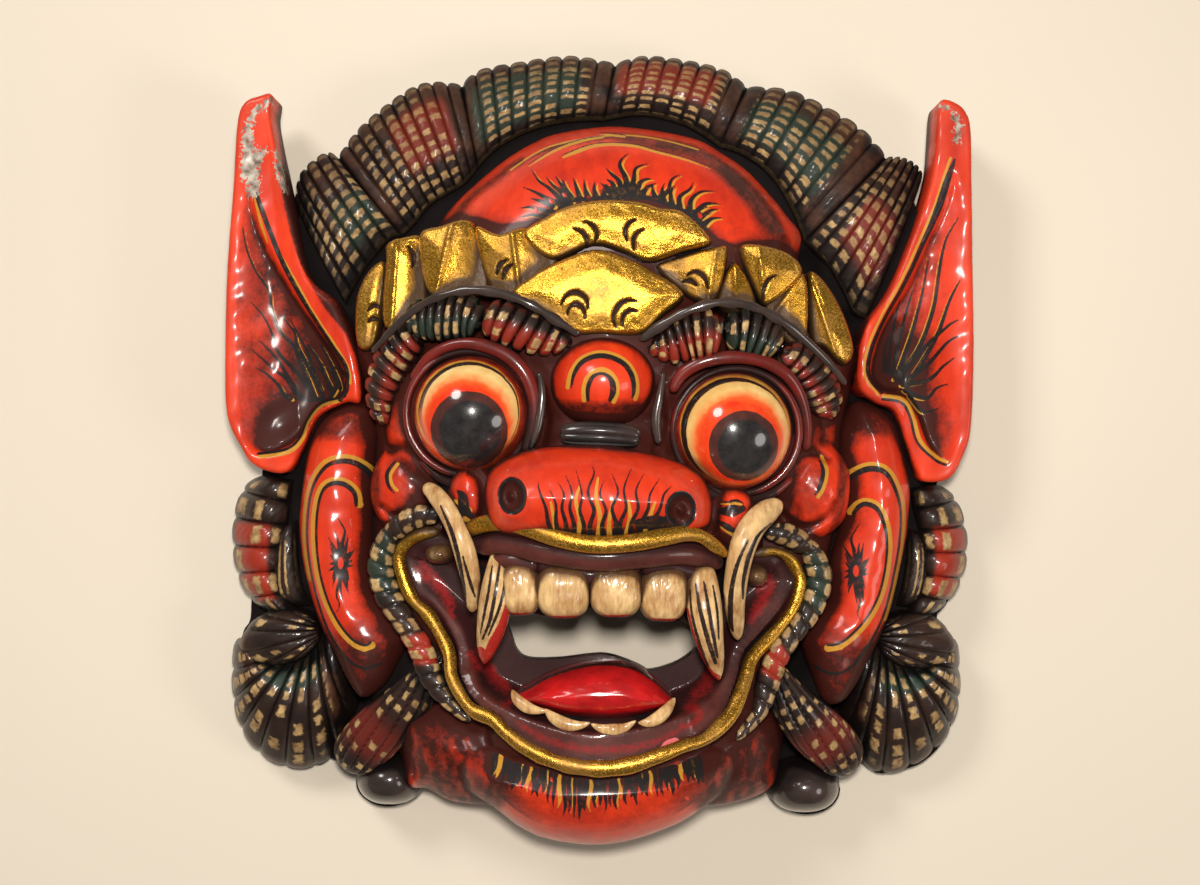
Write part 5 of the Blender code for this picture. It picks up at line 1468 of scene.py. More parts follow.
def combedLock(outer, inner, strands, look):
    # rows of points fan out from the inner line; returns places, triangles, strand and row of each point
    perStrand, rowCount = look.get("perStrand", 11), look.get("rowCount", 52)
    columns = strands * perStrand + 1
    u = np.linspace(0.0, 1.0, columns)
    lines = []
    for points, high in ((inner, look["innerHeight"]), (outer, look["edgeHeight"])):
        line = np.array([spot(*point[:2], high) for point in points])
        line = smoothLine(line, False, 6) if len(line) > 2 else line
        lengths = np.r_[0.0, np.cumsum(np.linalg.norm(np.diff(line, axis=0), axis=1))]
        lines.append(np.stack([np.interp(u * lengths[-1], lengths, line[:, axis]) for axis in (0, 1)], 1))
    start, end = lines
    v = 0.5 - 0.5 * np.cos(math.pi * np.linspace(0.0, 1.0, rowCount))
    v = 0.6 * v + 0.4 * np.linspace(0.0, 1.0, rowCount)
    strand = (u * strands) % 1.0
    strand[-1] = 1.0
    groove = np.abs(2.0 * strand - 1.0)
    reach = np.linalg.norm(end - start, axis=1)
    tip = 1.0 - look.get("tip", 1.6) * groove ** 3 / np.maximum(reach, 1.0)
    ahead = end - start
    grown = v[:, None] * tip[None, :]
    flat = start[None] + ahead[None] * grown[:, :, None]
    high = look["innerHeight"] * (1.0 - v) + look["edgeHeight"] * v
    high = high + look["swell"] * (1.0 - (2.0 * v - 1.0) ** 2)
    high = high[:, None] + look["lockSwell"] * (bulge(2.2 * np.minimum(u, 1.0 - u)) - 1.0)[None, :]
    high = high - look.get("groove", 1.1) * (groove ** 5)[None, :]
    high = high - look.get("crown", 0.35) * (groove ** 2)[None, :]
    edge = np.minimum(v[:, None] * reach[None, :] + 0.8, (1.0 - v)[:, None] * reach[None, :])
    high = high - look.get("edgeDrop", 5.0) * (1.0 - bulge(edge / 3.5))
    fine = 0.12 * wobble(flat[:, :, 0], flat[:, :, 1], 3.0, 4)
    places = np.concatenate([flat, (high + fine)[:, :, None]], 2).reshape(-1, 3)
    corner = (np.arange(rowCount - 1)[:, None] * columns + np.arange(columns - 1)[None, :]).ravel()
    faces = np.vstack([np.stack([corner, corner + columns, corner + columns + 1], 1),
                       np.stack([corner, corner + columns + 1, corner + 1], 1)])
    uv = np.stack([np.tile(u * strands, rowCount), np.repeat(v * look["rows"], columns)], 1)
    normal = np.cross(places[faces[:, 1]] - places[faces[:, 0]], places[faces[:, 2]] - places[faces[:, 0]])
    if normal[:, 2].sum() < 0.0:
        faces = faces[:, ::-1]
    return places, faces, uv, np.tile(u, rowCount), np.repeat(v, columns), np.tile(reach, rowCount)


def within(value, low, high, soft=0.06):
    return ease((value - low) / soft + 0.5) * ease((high - value) / soft + 0.5)


def makeCrest():
    for index, swell in enumerate(crest["swells"]):
        (first, _), (last, _) = crest["notches"][index:index + 2]
        outer = [first, *swell, last]
        inner = crest["inner"][index]
        strands = crest["strands"][index]
        places, faces, uv, u, v, reach = combedLock(outer, inner, strands, crest)
        low, high, start, end = crest["patches"][index]
        area = 0.8 * within(u, low, high) * within(v, start, end, 0.12)
        first, last = crest["plain"][index]
        keep(f"crest_lock_{index + 1}", places, faces, [crestHair], "dark_hair", {
            "painted": within(u, first, last, 0.02) * within(v, 0.03, 0.97, 0.03) * (1.2 - 0.95 * v),
            "redArea": area * (crest["colours"][index] == "red"),
            "greenArea": area * (crest["colours"][index] == "green"),
            "cream": np.abs(v * reach - 1.3) - 0.75 + 0.5 * (index in (0, 5)),
        }, uv=uv, sheet=True)


# Side pieces of hair: name, outer line, inner line, strands, colour and its patch along and across.
sideHair = {
    "edgeHeight": 15.0, "innerHeight": 26.0, "swell": 13.0, "lockSwell": 3.0, "rows": 6.0, "tip": 1.0,
    "rowCount": 44, "groove": 1.3, "edgeDrop": 3.0,
    "kinds": {
        "curl": {
            "rows": 3.0, "edgeHeight": 16.0, "innerHeight": 30.0, "groove": 1.8, "crown": 0.9,
            "swell": 10.0,
        },
        "shell": {"rows": 7.0},
        "knob": {
            "rows": 4.0, "edgeHeight": 30.0, "innerHeight": 38.0, "swell": 7.0, "edgeDrop": 4.0,
            "crown": 0.2, "groove": 0.9, "tip": 0.4,
        },
        "strand": {"rows": 5.0, "edgeHeight": 30.0, "innerHeight": 31.0, "swell": 3.0, "perStrand": 20},
    },
    "pieces": (
        ("left_upper_curl",
         ((262, 474), (243, 486), (233, 512), (231, 545), (236, 575), (249, 600), (270, 614)),
         ((292, 480), (290, 500), (286, 530), (282, 560), (284, 590), (296, 612)), 6, "red",
         (0.35, 0.86, 0.25, 0.9)),
        ("right_upper_curl",
         ((938, 483), (956, 496), (966, 520), (969, 548), (965, 575), (952, 600), (930, 618)),
         ((911, 488), (914, 510), (920, 535), (922, 560), (918, 590), (906, 614)), 6, "red",
         (0.32, 0.8, 0.25, 0.9)),
        ("left_shell",
         ((232, 640), (230, 680), (236, 720), (254, 750), (285, 768), (318, 766), (340, 745), (356, 712),
          (362, 694)),
         ((262, 652), (272, 658), (284, 660), (296, 658), (308, 650), (318, 636), (324, 622)), 9,
         "green", (0.2, 0.8, 0.0, 0.3)),
        ("right_shell",
         ((960, 640), (962, 682), (958, 715), (942, 745), (912, 768), (880, 774), (856, 756), (842, 728),
          (836, 704)),
         ((934, 655), (922, 662), (910, 664), (896, 660), (886, 650), (880, 636), (876, 624)), 9,
         "green", (0.1, 0.75, 0.0, 0.3)),
        ("left_knob",
         ((312, 612), (290, 607), (266, 612), (247, 626), (238, 645), (246, 660), (268, 667), (292, 664),
          (310, 654)),
         ((317, 622), (318, 628), (319, 632), (319, 636), (318, 641)), 7, "", None),
        ("right_knob",
         ((884, 616), (905, 610), (930, 614), (948, 628), (957, 646), (950, 662), (928, 670), (905, 668),
          (888, 660)),
         ((879, 628), (878, 634), (877, 638), (878, 642), (880, 648)), 7, "", None),
        ("left_under_strand", ((276, 528), (273, 560), (272, 590), (280, 606)),
         ((296, 520), (298, 560), (303, 590), (310, 606)), 1, "", None),
        ("right_under_strand", ((927, 535), (929, 560), (926, 590), (918, 608)),
         ((908, 528), (907, 560), (902, 590), (898, 606)), 1, "", None),
    ),
}


def makeSideHair():
    finishes = {"curl": curlHair, "knob": knobHair, "shell": shellHair, "strand": curlHair}
    for name, outer, inner, strands, colour, patch in sideHair["pieces"]:
        kind = name.split("_")[-1]
        places, faces, uv, u, v, _ = combedLock(outer, inner, strands,
                                        {**sideHair, **sideHair["kinds"][kind]})
        area = np.zeros(len(u))
        if patch:
            area = within(u, patch[0], patch[1]) * within(v, patch[2], patch[3], 0.12)
        plain = 1.0 if kind == "shell" else 0.0
        keep(name, places, faces, [finishes[kind]], "dark_hair", {
            "painted": within(v, 0.06, 0.94, 0.04) * (1.0 - plain * ease((u - 0.8) / 0.05)),
            "redArea": area * (colour == "red"), "greenArea": area * (colour == "green"),
        }, uv=uv, sheet=True)


ropes = {
    "locks": {
        "left_twist": (
            ((443, 652, 56, 9), (428, 674, 56, 15), (410, 700, 54, 22), (388, 724, 50, 26),
             (362, 748, 42, 26), (342, 768, 34, 20)),
            1.0,
        ),
        "right_twist": (
            ((764, 660, 56, 9), (778, 682, 56, 15), (795, 708, 54, 22), (815, 730, 50, 26),
             (838, 752, 42, 25), (854, 772, 34, 18)),
            -1.0,
        ),
    },
    "knobs": {"left_bob": ((386, 784), (36, 29), 36), "right_bob": ((808, 792), (38, 29), 36)},
    "wisps": {
        "left_wisp_top": ((442, 516, 74, 6), (420, 516, 72, 11), (402, 524, 70, 11), (392, 536, 67, 9)),
        "left_wisp": ((396, 522, 68, 6), (384, 545, 66, 11), (380, 570, 64, 13), (388, 598, 65, 13),
                      (404, 624, 67, 11), (420, 650, 68, 12), (430, 676, 68, 12), (446, 700, 70, 8),
                      (470, 722, 72, 4)),
        "right_wisp_top": ((764, 532, 74, 6), (784, 534, 73, 11), (800, 541, 70, 11), (808, 552, 67, 9)),
        "right_wisp": ((802, 540, 68, 6), (814, 556, 66, 11), (820, 580, 64, 13), (812, 608, 65, 12),
                       (796, 632, 67, 10), (778, 656, 69, 12), (768, 684, 68, 12), (760, 712, 69, 8),
                       (736, 740, 72, 4)),
    },
}


def makeRopes():
    for name, (points, way) in ropes["locks"].items():
        line = evenTrack(track(points), 0.8)
        places, faces, uv = roll(line, ropeHair, Sides=96, Flatness=0.75, Strands=11.0, Twist=0.22 * way,
                                 Depth=0.13, Rows=11.0)
        along = uv[:, 1] / 11.0
        keep(name, places, faces, [ropeHair], "dark_hair",
             {"painted": within(along, 0.06, 0.97), "redArea": within(along, 0.52, 0.78, 0.2) * 0.55}, uv=uv)
    for name, (centre, radii, top) in ropes["knobs"].items():
        places, faces = dome(centre, radii, top, 6.0, rings=26, sides=64, fullness=2.3)
        keep(name, places, faces, [sleekBlack], "dark_hair", {})
    for name, points in ropes["wisps"].items():
        line = evenTrack(track(points), 0.55)
        long = "top" not in name
        places, faces, uv = roll(line, wispHair, Sides=32, Flatness=0.7, Ribs=15.0 if long else 4.0,
                                 Depth=0.16, Rows=4.0,
                                 Lean=0.25)
        keep(name, places, faces, [wispHair], "dark_hair",
             {"painted": np.ones(len(places)), "redArea": within(uv[:, 0], 8.2, 10.2, 0.4) * long,
              "greenArea": within(uv[:, 0], 1.0, 5.0, 1.0) * long * 0.8}, uv=uv)


brows = {
    "left": (
        (((384, 424, 66, 10), (380, 398, 71, 15), (386, 374, 75, 19), (400, 348, 79, 20),
          (414, 330, 82, 17)),
         7.0, "red"),
        (((404, 322, 82, 15), (424, 318, 86, 20), (448, 317, 90, 22), (470, 317, 92, 21),
          (482, 320, 92, 18)),
         8.0, "green"),
        (((482, 318, 93, 19), (504, 322, 95, 21), (530, 331, 95, 20), (552, 338, 93, 17),
          (572, 343, 90, 9)),
         6.0, "red"),
    ),
    "right": (
        (((648, 350, 90, 8), (666, 346, 93, 17), (686, 338, 95, 24), (706, 333, 96, 26),
          (722, 332, 94, 24)),
         7.0, "red"),
        (((726, 334, 94, 24), (746, 333, 93, 26), (766, 338, 91, 26), (782, 346, 88, 21)), 5.0, "green"),
        (((782, 352, 87, 16), (800, 364, 83, 21), (816, 384, 78, 22), (828, 404, 71, 17),
          (834, 418, 66, 9)),
         7.0, "red"),
    ),
    "bands": (
        ((372, 352, 74, 4), (386, 336, 79, 5), (404, 318, 84, 6), (432, 299, 90, 6), (466, 290, 93, 7),
         (500, 293, 95, 7), (530, 304, 96, 7), (556, 320, 94, 7), (580, 334, 92, 5)),
        ((640, 340, 92, 5), (662, 325, 94, 7), (690, 310, 96, 7), (722, 302, 96, 7), (752, 306, 94, 7),
         (784, 322, 90, 7), (808, 342, 85, 6), (830, 364, 79, 5), (846, 384, 73, 4)),
    ),
}


def makeBrows():
    for side in ("left", "right"):
        for index, (points, ribs, colour) in enumerate(brows[side]):
            line = evenTrack(track(points), 0.5)
            places, faces, uv = roll(line, browHair, Sides=48, Flatness=0.72, Ribs=ribs + 1.0, Depth=0.34,
                                     Rows=9.0, Lean=0.30)
            area = 0.7 * within(uv[:, 1] % 3.0, 0.7, 2.4, 0.8)
            keep(f"{side}_brow_{index + 1}", places, faces, [browHair], "dark_hair",
                 {"painted": np.ones(len(places)), "redArea": area * (colour == "red"),
                  "greenArea": area * (colour == "green")}, uv=uv)
        line = evenTrack(track(brows["bands"][side == "right"]), 1.0)
        line[:, 3] *= 0.62 + 0.14 * wobble(line[:, 0], line[:, 1], 9.0, 13)
        places, faces, _ = roll(line, sleekBlack, Sides=20, Flatness=0.7)
        keep(f"{side}_brow_band", places, faces, [sleekBlack], "dark_hair", {})


# The gilt band over the brows, leaf by leaf: outline, base, top, folds (a ridge and each side's drop), cuts.
leaves = {
    "pieces": (
        (((356, 300), (370, 270), (387, 263), (388, 300), (378, 346), (358, 346)), 58, 68,
         (((386, 262), (374, 346), 3.0),),
         (((368, 312), (374, 306), (381, 308)), ((368, 323), (374, 319), (381, 321)))),
        (((387, 245), (402, 238), (425, 239), (430, 290), (425, 325), (385, 328), (386, 262)), 66, 76,
         (((398, 240), (392, 328), 3.0),), (((408, 246), (414, 256), (413, 268)),)),
        (((418, 238), (441, 226), (476, 224), (492, 290), (480, 300), (432, 298)), 74, 84,
         (((452, 226), (436, 296), 4.0),), ()),
        (((474, 228), (500, 234), (530, 228), (560, 262), (520, 296), (492, 294)), 78, 86,
         (((512, 232), (520, 292), 2.5),),
         (((508, 260), (500, 265), (497, 275)), ((514, 264), (506, 270), (503, 280)))),
        (((522, 236), (548, 216), (572, 205), (606, 200), (638, 202), (660, 208), (684, 213), (712, 243),
          (682, 254), (648, 264), (622, 254), (593, 247), (552, 262)),
         78, 88, (),
         (((583, 222), (592, 226), (597, 234), (595, 243)),
          ((573, 229), (582, 233), (587, 240), (586, 247)),
          ((637, 220), (629, 224), (625, 232), (627, 242)),
          ((644, 230), (637, 234), (633, 241), (634, 251)))),
        (((512, 296), (532, 276), (555, 263), (593, 250), (623, 257), (650, 270), (684, 295), (662, 318),
          (640, 336), (600, 336), (574, 335), (550, 318)),
         82, 94, (),
         (((561, 306), (566, 297), (576, 293), (586, 299), (588, 310)),
          ((567, 316), (570, 308), (577, 305), (584, 311), (585, 320)),
          ((637, 302), (627, 301), (618, 307), (613, 318), (616, 328)),
          ((638, 312), (630, 311), (623, 317), (622, 327)))),
        (((680, 256), (711, 248), (728, 250), (716, 302), (688, 298), (655, 268)), 78, 87,
         (((716, 250), (708, 300), 2.5),),
         (((686, 276), (695, 272), (704, 278), (708, 290)), ((682, 282), (690, 281), (697, 286)))),
        (((714, 304), (734, 262), (757, 304), (735, 316)), 76, 86, (((734, 262), (736, 314), 3.0),), ()),
        (((738, 252), (752, 244), (790, 254), (802, 276), (770, 305), (757, 300)), 74, 84,
         (((758, 246), (764, 302), 3.0),), (((776, 276), (768, 280), (763, 290), (762, 302)),)),
        (((760, 304), (803, 274), (806, 346), (790, 350)), 66, 78, (((803, 274), (768, 322), 2.0),), ()),
        (((806, 276), (822, 280), (842, 312), (853, 350), (842, 366), (822, 350), (808, 340)), 58, 70,
         (((808, 276), (836, 360), 2.0),), ()),
    ),
    "shoulder": 2.0, "step": 0.52, "cutDepth": 1.5, "cutHalf": 3.4, "markHalves": (0.6, 2.4, 0.8),
    "darkEdge": 0.55,
}


def makeLeaves():
    for index, (points, base, top, folds, cuts) in enumerate(leaves["pieces"]):
        loop = outline(points, base)
        level = 0.5 * (base + top)

        def surface(x, y):
            relief = Relief(x, y)
            depth = toLoop(x, y, loop)
            rise = 0.86 * bulge(depth / leaves["shoulder"]) + 0.14 * ease(depth / 10.0)
            relief.z = base + (top - base) * rise
            for start, end, drop in folds:
                line = np.array([(*spot(*start, level), level, 1.0), (*spot(*end, level), level, 1.0)])
                gap = toTrack(x, y, line)[0]
                relief.z = relief.z - drop * np.clip(gap / 14.0, 0.0, 1.0) + 0.5 * ease(1.0 - gap / 1.6)
            for cut in cuts:
                sizes = np.interp(np.linspace(0, 1, len(cut)), (0, 0.5, 1),
                                  (0.35, 1.0, 0.4)) * leaves["cutHalf"]
                relief.groove([(*place, level, half) for place, half in zip(cut, sizes)], leaves["cutDepth"])
            return relief.z + 0.05 * wobble(x, y, 7.0, 7)

        places, faces = gridSheet([loop], [], leaves["step"], surface)
        x, y = places[:, 0], places[:, 1]
        marks = []
        for cut in cuts:
            halves = np.interp(np.linspace(0, 1, len(cut)), (0, 0.5, 1), leaves["markHalves"])
            marks.append([(*place, half) for place, half in zip(cut, halves)])
        field = np.minimum(strokeField(x, y, marks, level), toLoop(x, y, loop) - leaves["darkEdge"])
        keep(f"gilt_leaf_{index + 1}", places, faces, [gold], "gold_leaf", {"ink": field}, sheet=True)


eyes = {
    "third": ((603, 380), (55, 48), 103.0, 79.0),
    "arc": [(571, 388, 0.8), (574, 374, 1.8), (582, 362, 2.2), (596, 356, 2.4), (610, 357, 2.4),
            (624, 364, 2.4), (632, 376, 2.4), (634, 390, 1.8), (632, 398, 0.8)],
    "small": [(588, 400, 1.6), (588, 388, 2.0), (592, 378, 2.0), (599, 374, 1.4), (606, 375, 1.6),
              (612, 382, 2.6), (613, 392, 2.8), (610, 400, 1.8)],
    "bridge": ((560, 434, 92, 8), (575, 434, 94, 11), (600, 434, 95, 12), (625, 436, 94, 11),
               (640, 438, 92, 8)),
    "left": (
        ((468, 413), 60, 105),
        (((468, 413), 64, (0.46, 0.036, 0.01), (0.2, 0.014, 0.008)),
         ((467.5, 412), 52.5, (0.62, 0.32, 0.04), (0.5, 0.12, 0.02)),
         ((468.5, 412), 50.5, (0.014, 0.01, 0.009), (0.03, 0.014, 0.01)),
         ((470, 413), 48.0, (0.76, 0.54, 0.22), (0.68, 0.42, 0.13)),
         ((467, 423), 46.0, (0.78, 0.15, 0.025), (0.74, 0.07, 0.014), 2.0),
         ((466.5, 425), 42.0, (0.66, 0.028, 0.007), (0.7, 0.06, 0.01), 1.6),
         ((469.5, 430), 38.5, (0.045, 0.016, 0.013), (0.08, 0.024, 0.018)),
         ((471, 431.5), 30.5, (0.012, 0.011, 0.012), (0.03, 0.027, 0.027), 0.5)),
    ),
    "right": (
        ((736.5, 431), 61, 105),
        (((736.5, 431), 65, (0.46, 0.036, 0.01), (0.2, 0.014, 0.008)),
         ((736, 429.5), 56.0, (0.62, 0.32, 0.05), (0.5, 0.14, 0.03)),
         ((735, 431), 54.0, (0.014, 0.01, 0.009), (0.03, 0.014, 0.01)),
         ((738, 433), 51.5, (0.74, 0.5, 0.18), (0.64, 0.36, 0.1)),
         ((739, 440), 46.5, (0.76, 0.15, 0.03), (0.72, 0.08, 0.015), 1.8),
         ((739, 442), 42.5, (0.66, 0.028, 0.007), (0.66, 0.07, 0.012), 1.4),
         ((743, 446), 35.0, (0.045, 0.016, 0.013), (0.08, 0.024, 0.018)),
         ((744, 447), 27.0, (0.012, 0.011, 0.012), (0.03, 0.027, 0.027), 0.5)),
    ),
    "ridges": {
        "left_lid_outer": ((412, 380, 84, 4), (430, 356, 87, 5), (455, 344, 89, 5), (482, 345, 91, 6),
                           (508, 356, 92, 7), (526, 376, 92, 7), (534, 402, 91, 7), (532, 428, 90, 7),
                           (524, 452, 89, 4)),
        "left_lid_drop": ((539, 372, 91, 2), (542, 395, 92, 3.5), (538, 425, 92, 4), (530, 450, 91, 2.5)),
        "right_lid_outer": ((672, 392, 90, 4), (682, 374, 91, 6), (702, 362, 92, 6), (730, 357, 92, 6),
                            (760, 360, 90, 6), (786, 374, 87, 6), (800, 396, 83, 6), (806, 424, 79, 6),
                            (806, 450, 76, 4)),
        "right_lid_drop": ((664, 372, 91, 2), (660, 395, 92, 3.5), (656, 420, 92, 4.5), (659, 444, 91, 3)),
        "left_lid_low": ((420, 460, 76, 3), (440, 478, 80, 4), (462, 484, 84, 5), (490, 480, 88, 4),
                         (512, 466, 89, 3)),
        "right_lid_low": ((690, 478, 88, 3), (712, 494, 87, 5), (740, 500, 84, 5), (770, 494, 80, 5),
                          (792, 478, 77, 3)),
    },
}


def makeEyes():
    for side in ("left", "right"):
        (centre, radius, top), rings = eyes[side]
        places, faces = dome(centre, (radius, radius), top, 82.0, rings=34, sides=96)
        keep(f"{side}_eye", places, faces, [eyeMaterial(f"{side} eye paint", 96.0, rings)], "red_paint", {},
             sharp=60.0)
        rim = [(*spot(centre[0] + (radius + 2.0) * math.cos(turn),
                      centre[1] + (radius + 2.0) * math.sin(turn), 86.0),
                86.0, 3.6 * drawing["step"]) for turn in np.linspace(0.0, 2.0 * math.pi, 120,
                endpoint=False)]
        places, faces, _ = roll(rim, lidPaint, closed=True, Sides=20, Flatness=1.3)
        keep(f"{side}_lid", places, faces, [lidPaint], "red_paint", {}, sharp=60.0)
    for name, points in eyes["ridges"].items():
        finish = sleekBlack if "drop" in name else lidPaint
        keepRoll(name, points, 0.9, finish, "red_paint", Sides=20, Flatness=0.8)
    places, faces = dome(*eyes["third"], rings=44, sides=120)
    x, y = places[:, 0], places[:, 1]
    # Painted shade on the third eye's lower part.
    keep("third_eye", places, faces, [skin], "red_paint", {
        "ink": strokeField(x, y, [eyes["arc"], eyes["small"]], 100.0),
        "ochre": strokeField(x, y, [offsetStroke(eyes["arc"], -3.6, 1.9),
                                    offsetStroke(eyes["small"], -4.0, 2.2)], 100.0),
        "shade": 0.9 * ease((spot(0, 397, 92)[1] - y) / 7.0 + 0.3),
    }, sharp=60.0)
    places, faces, _ = roll(evenTrack(track(eyes["bridge"]), 0.8), sleekBlack,
                             taper=0.4, Sides=40, Flatness=0.55, Strands=8.0, Depth=0.12)
    keep("brow_bridge", places, faces, [sleekBlack], "dark_hair", {})


mouthPieces = {
    "upperLip": ((466, 537, 93, 4), (471, 529, 97, 7), (490, 523, 102, 8), (512, 524, 108, 8),
                 (532, 530, 112, 8), (559, 539, 116, 8), (594, 545, 118, 8), (633, 543, 118, 8),
                 (666, 537, 115, 8), (686, 534, 112, 7), (702, 537, 108, 6), (716, 547, 103, 6),
                 (728, 556, 97, 3)),
    "underLip": ((470, 542, 90, 6), (484, 545, 95, 10), (505, 544, 101, 12), (550, 553, 109, 12),
                 (598, 558, 111, 13), (640, 556, 110, 12), (680, 553, 105, 12), (706, 558, 98, 11),
                 (722, 566, 92, 7)),
    "teeth": (
        ((520, 589), (20, 28), 104, 0.05), ((563, 592), (27, 28), 107, 0.0),
        ((616, 592), (26.5, 27), 107, 0.0), ((664, 594), (24.5, 29), 104, -0.05),
    ),
    "gums": (
        ((491, 565, 96, 8), (510, 562, 101, 10), (540, 566, 103, 10)),
        ((536, 566, 103, 9), (565, 564, 104, 9), (590, 576, 104, 9), (615, 566, 104, 9),
         (641, 568, 103, 9)),
        ((640, 568, 103, 9), (665, 566, 102, 10), (690, 572, 98, 9), (712, 574, 94, 7)),
    ),
    "fangs": {
        "left_fang": (
            ((500, 548, 92, 5), (499, 562, 98, 10), (496, 590, 103, 14), (492, 620, 101, 14),
             (487, 645, 95, 10), (484, 664, 88, 3)),
            (((500, 560, 1), (496, 590, 1.6), (490, 620, 1.6), (482, 640, 1.0)),
             ((506, 562, 0.8), (504, 590, 1.4), (498, 612, 1.4), (488, 636, 0.8)),
             ((492, 566, 0.8), (489, 590, 1.3), (484, 615, 1.3), (480, 634, 0.6))),
            (((508, 606, 3), (506, 625, 7), (498, 645, 9), (490, 660, 8), (482, 664, 5)),
             ((480, 652, 4), (484, 660, 5))),
        ),
        "right_fang": (
            ((702, 560, 94, 7), (702, 578, 99, 14), (705, 610, 103, 16), (710, 640, 101, 13),
             (715, 662, 95, 9), (719, 680, 88, 3)),
            (((696, 584, 1.0), (700, 610, 1.8), (708, 640, 2.2), (716, 664, 1.8)),
             ((704, 582, 1.0), (708, 606, 1.6), (713, 634, 1.8), (718, 658, 1.2)),
             ((690, 590, 0.8), (692, 615, 1.2), (700, 645, 1.4), (709, 668, 1.0)),
             ((713, 586, 0.8), (717, 610, 1.2), (719, 640, 0.8))),
            (((686, 610, 2.5), (689, 635, 5), (699, 660, 5), (712, 678, 4)),
             ((712, 676, 3), (719, 680, 3))),
        ),
    },
    "tusks": {
        "left_tusk": (
            ((424, 486, 86, 5), (434, 494, 92, 8), (446, 510, 98, 9), (456, 530, 101, 9),
             (464, 552, 101, 10), (470, 578, 97, 9), (472, 598, 92, 7), (472, 612, 88, 4)),
            (((440, 506, 0.8), (452, 532, 2.0), (459, 560, 2.0), (463, 590, 1.8), (464, 610, 1.0)),
             ((463, 556, 0.8), (469, 580, 1.6), (474, 598, 0.9))),
        ),
        "right_tusk": (
            ((782, 503, 86, 6), (768, 512, 93, 11), (754, 526, 99, 12), (744, 546, 101, 12),
             (738, 572, 99, 11), (735, 600, 94, 10), (737, 626, 86, 7), (738, 640, 80, 3)),
            (((772, 524, 0.8), (758, 536, 1.6), (749, 556, 2.2), (744, 580, 1.8), (744, 600, 0.9)),
             ((748, 540, 0.8), (738, 562, 1.8), (732, 590, 2.2), (732, 620, 2.4), (735, 634, 1.2))),
        ),
    },
    "sideTeeth": (((439, 555), (17, 11), 76, 0.12), ((757, 577), (14, 12), 76, -0.2)),
    "tongue": ((514, 697), (530, 687), (548, 677), (575, 668), (604, 664), (632, 668), (652, 679),
               (666, 691), (674, 702), (656, 712), (630, 718), (599, 720), (566, 717), (538, 708)),
    "tongueGroove": ((520, 697, 0, 3), (600, 697, 0, 4), (668, 702, 0, 3)),
    "lowerTeeth": (
        ((512, 690, 84, 1.5), (517, 700, 87, 5), (527, 708, 89, 5.5), (538, 711, 90, 3.5),
         (548, 711, 90, 1.2)),
        ((545, 709, 90, 1.2), (553, 718, 91, 5), (566, 725, 92, 6), (579, 726, 92, 4),
         (590, 723, 92, 1.2)),
        ((591, 724, 92, 1.2), (601, 729, 92, 4), (613, 731, 93, 6), (625, 728, 92, 4),
         (636, 721, 92, 1.2)),
        ((638, 723, 91, 1.2), (648, 723, 92, 4.5), (659, 718, 91, 6), (668, 709, 89, 5),
         (675, 698, 86, 1.6)),
    ),
}


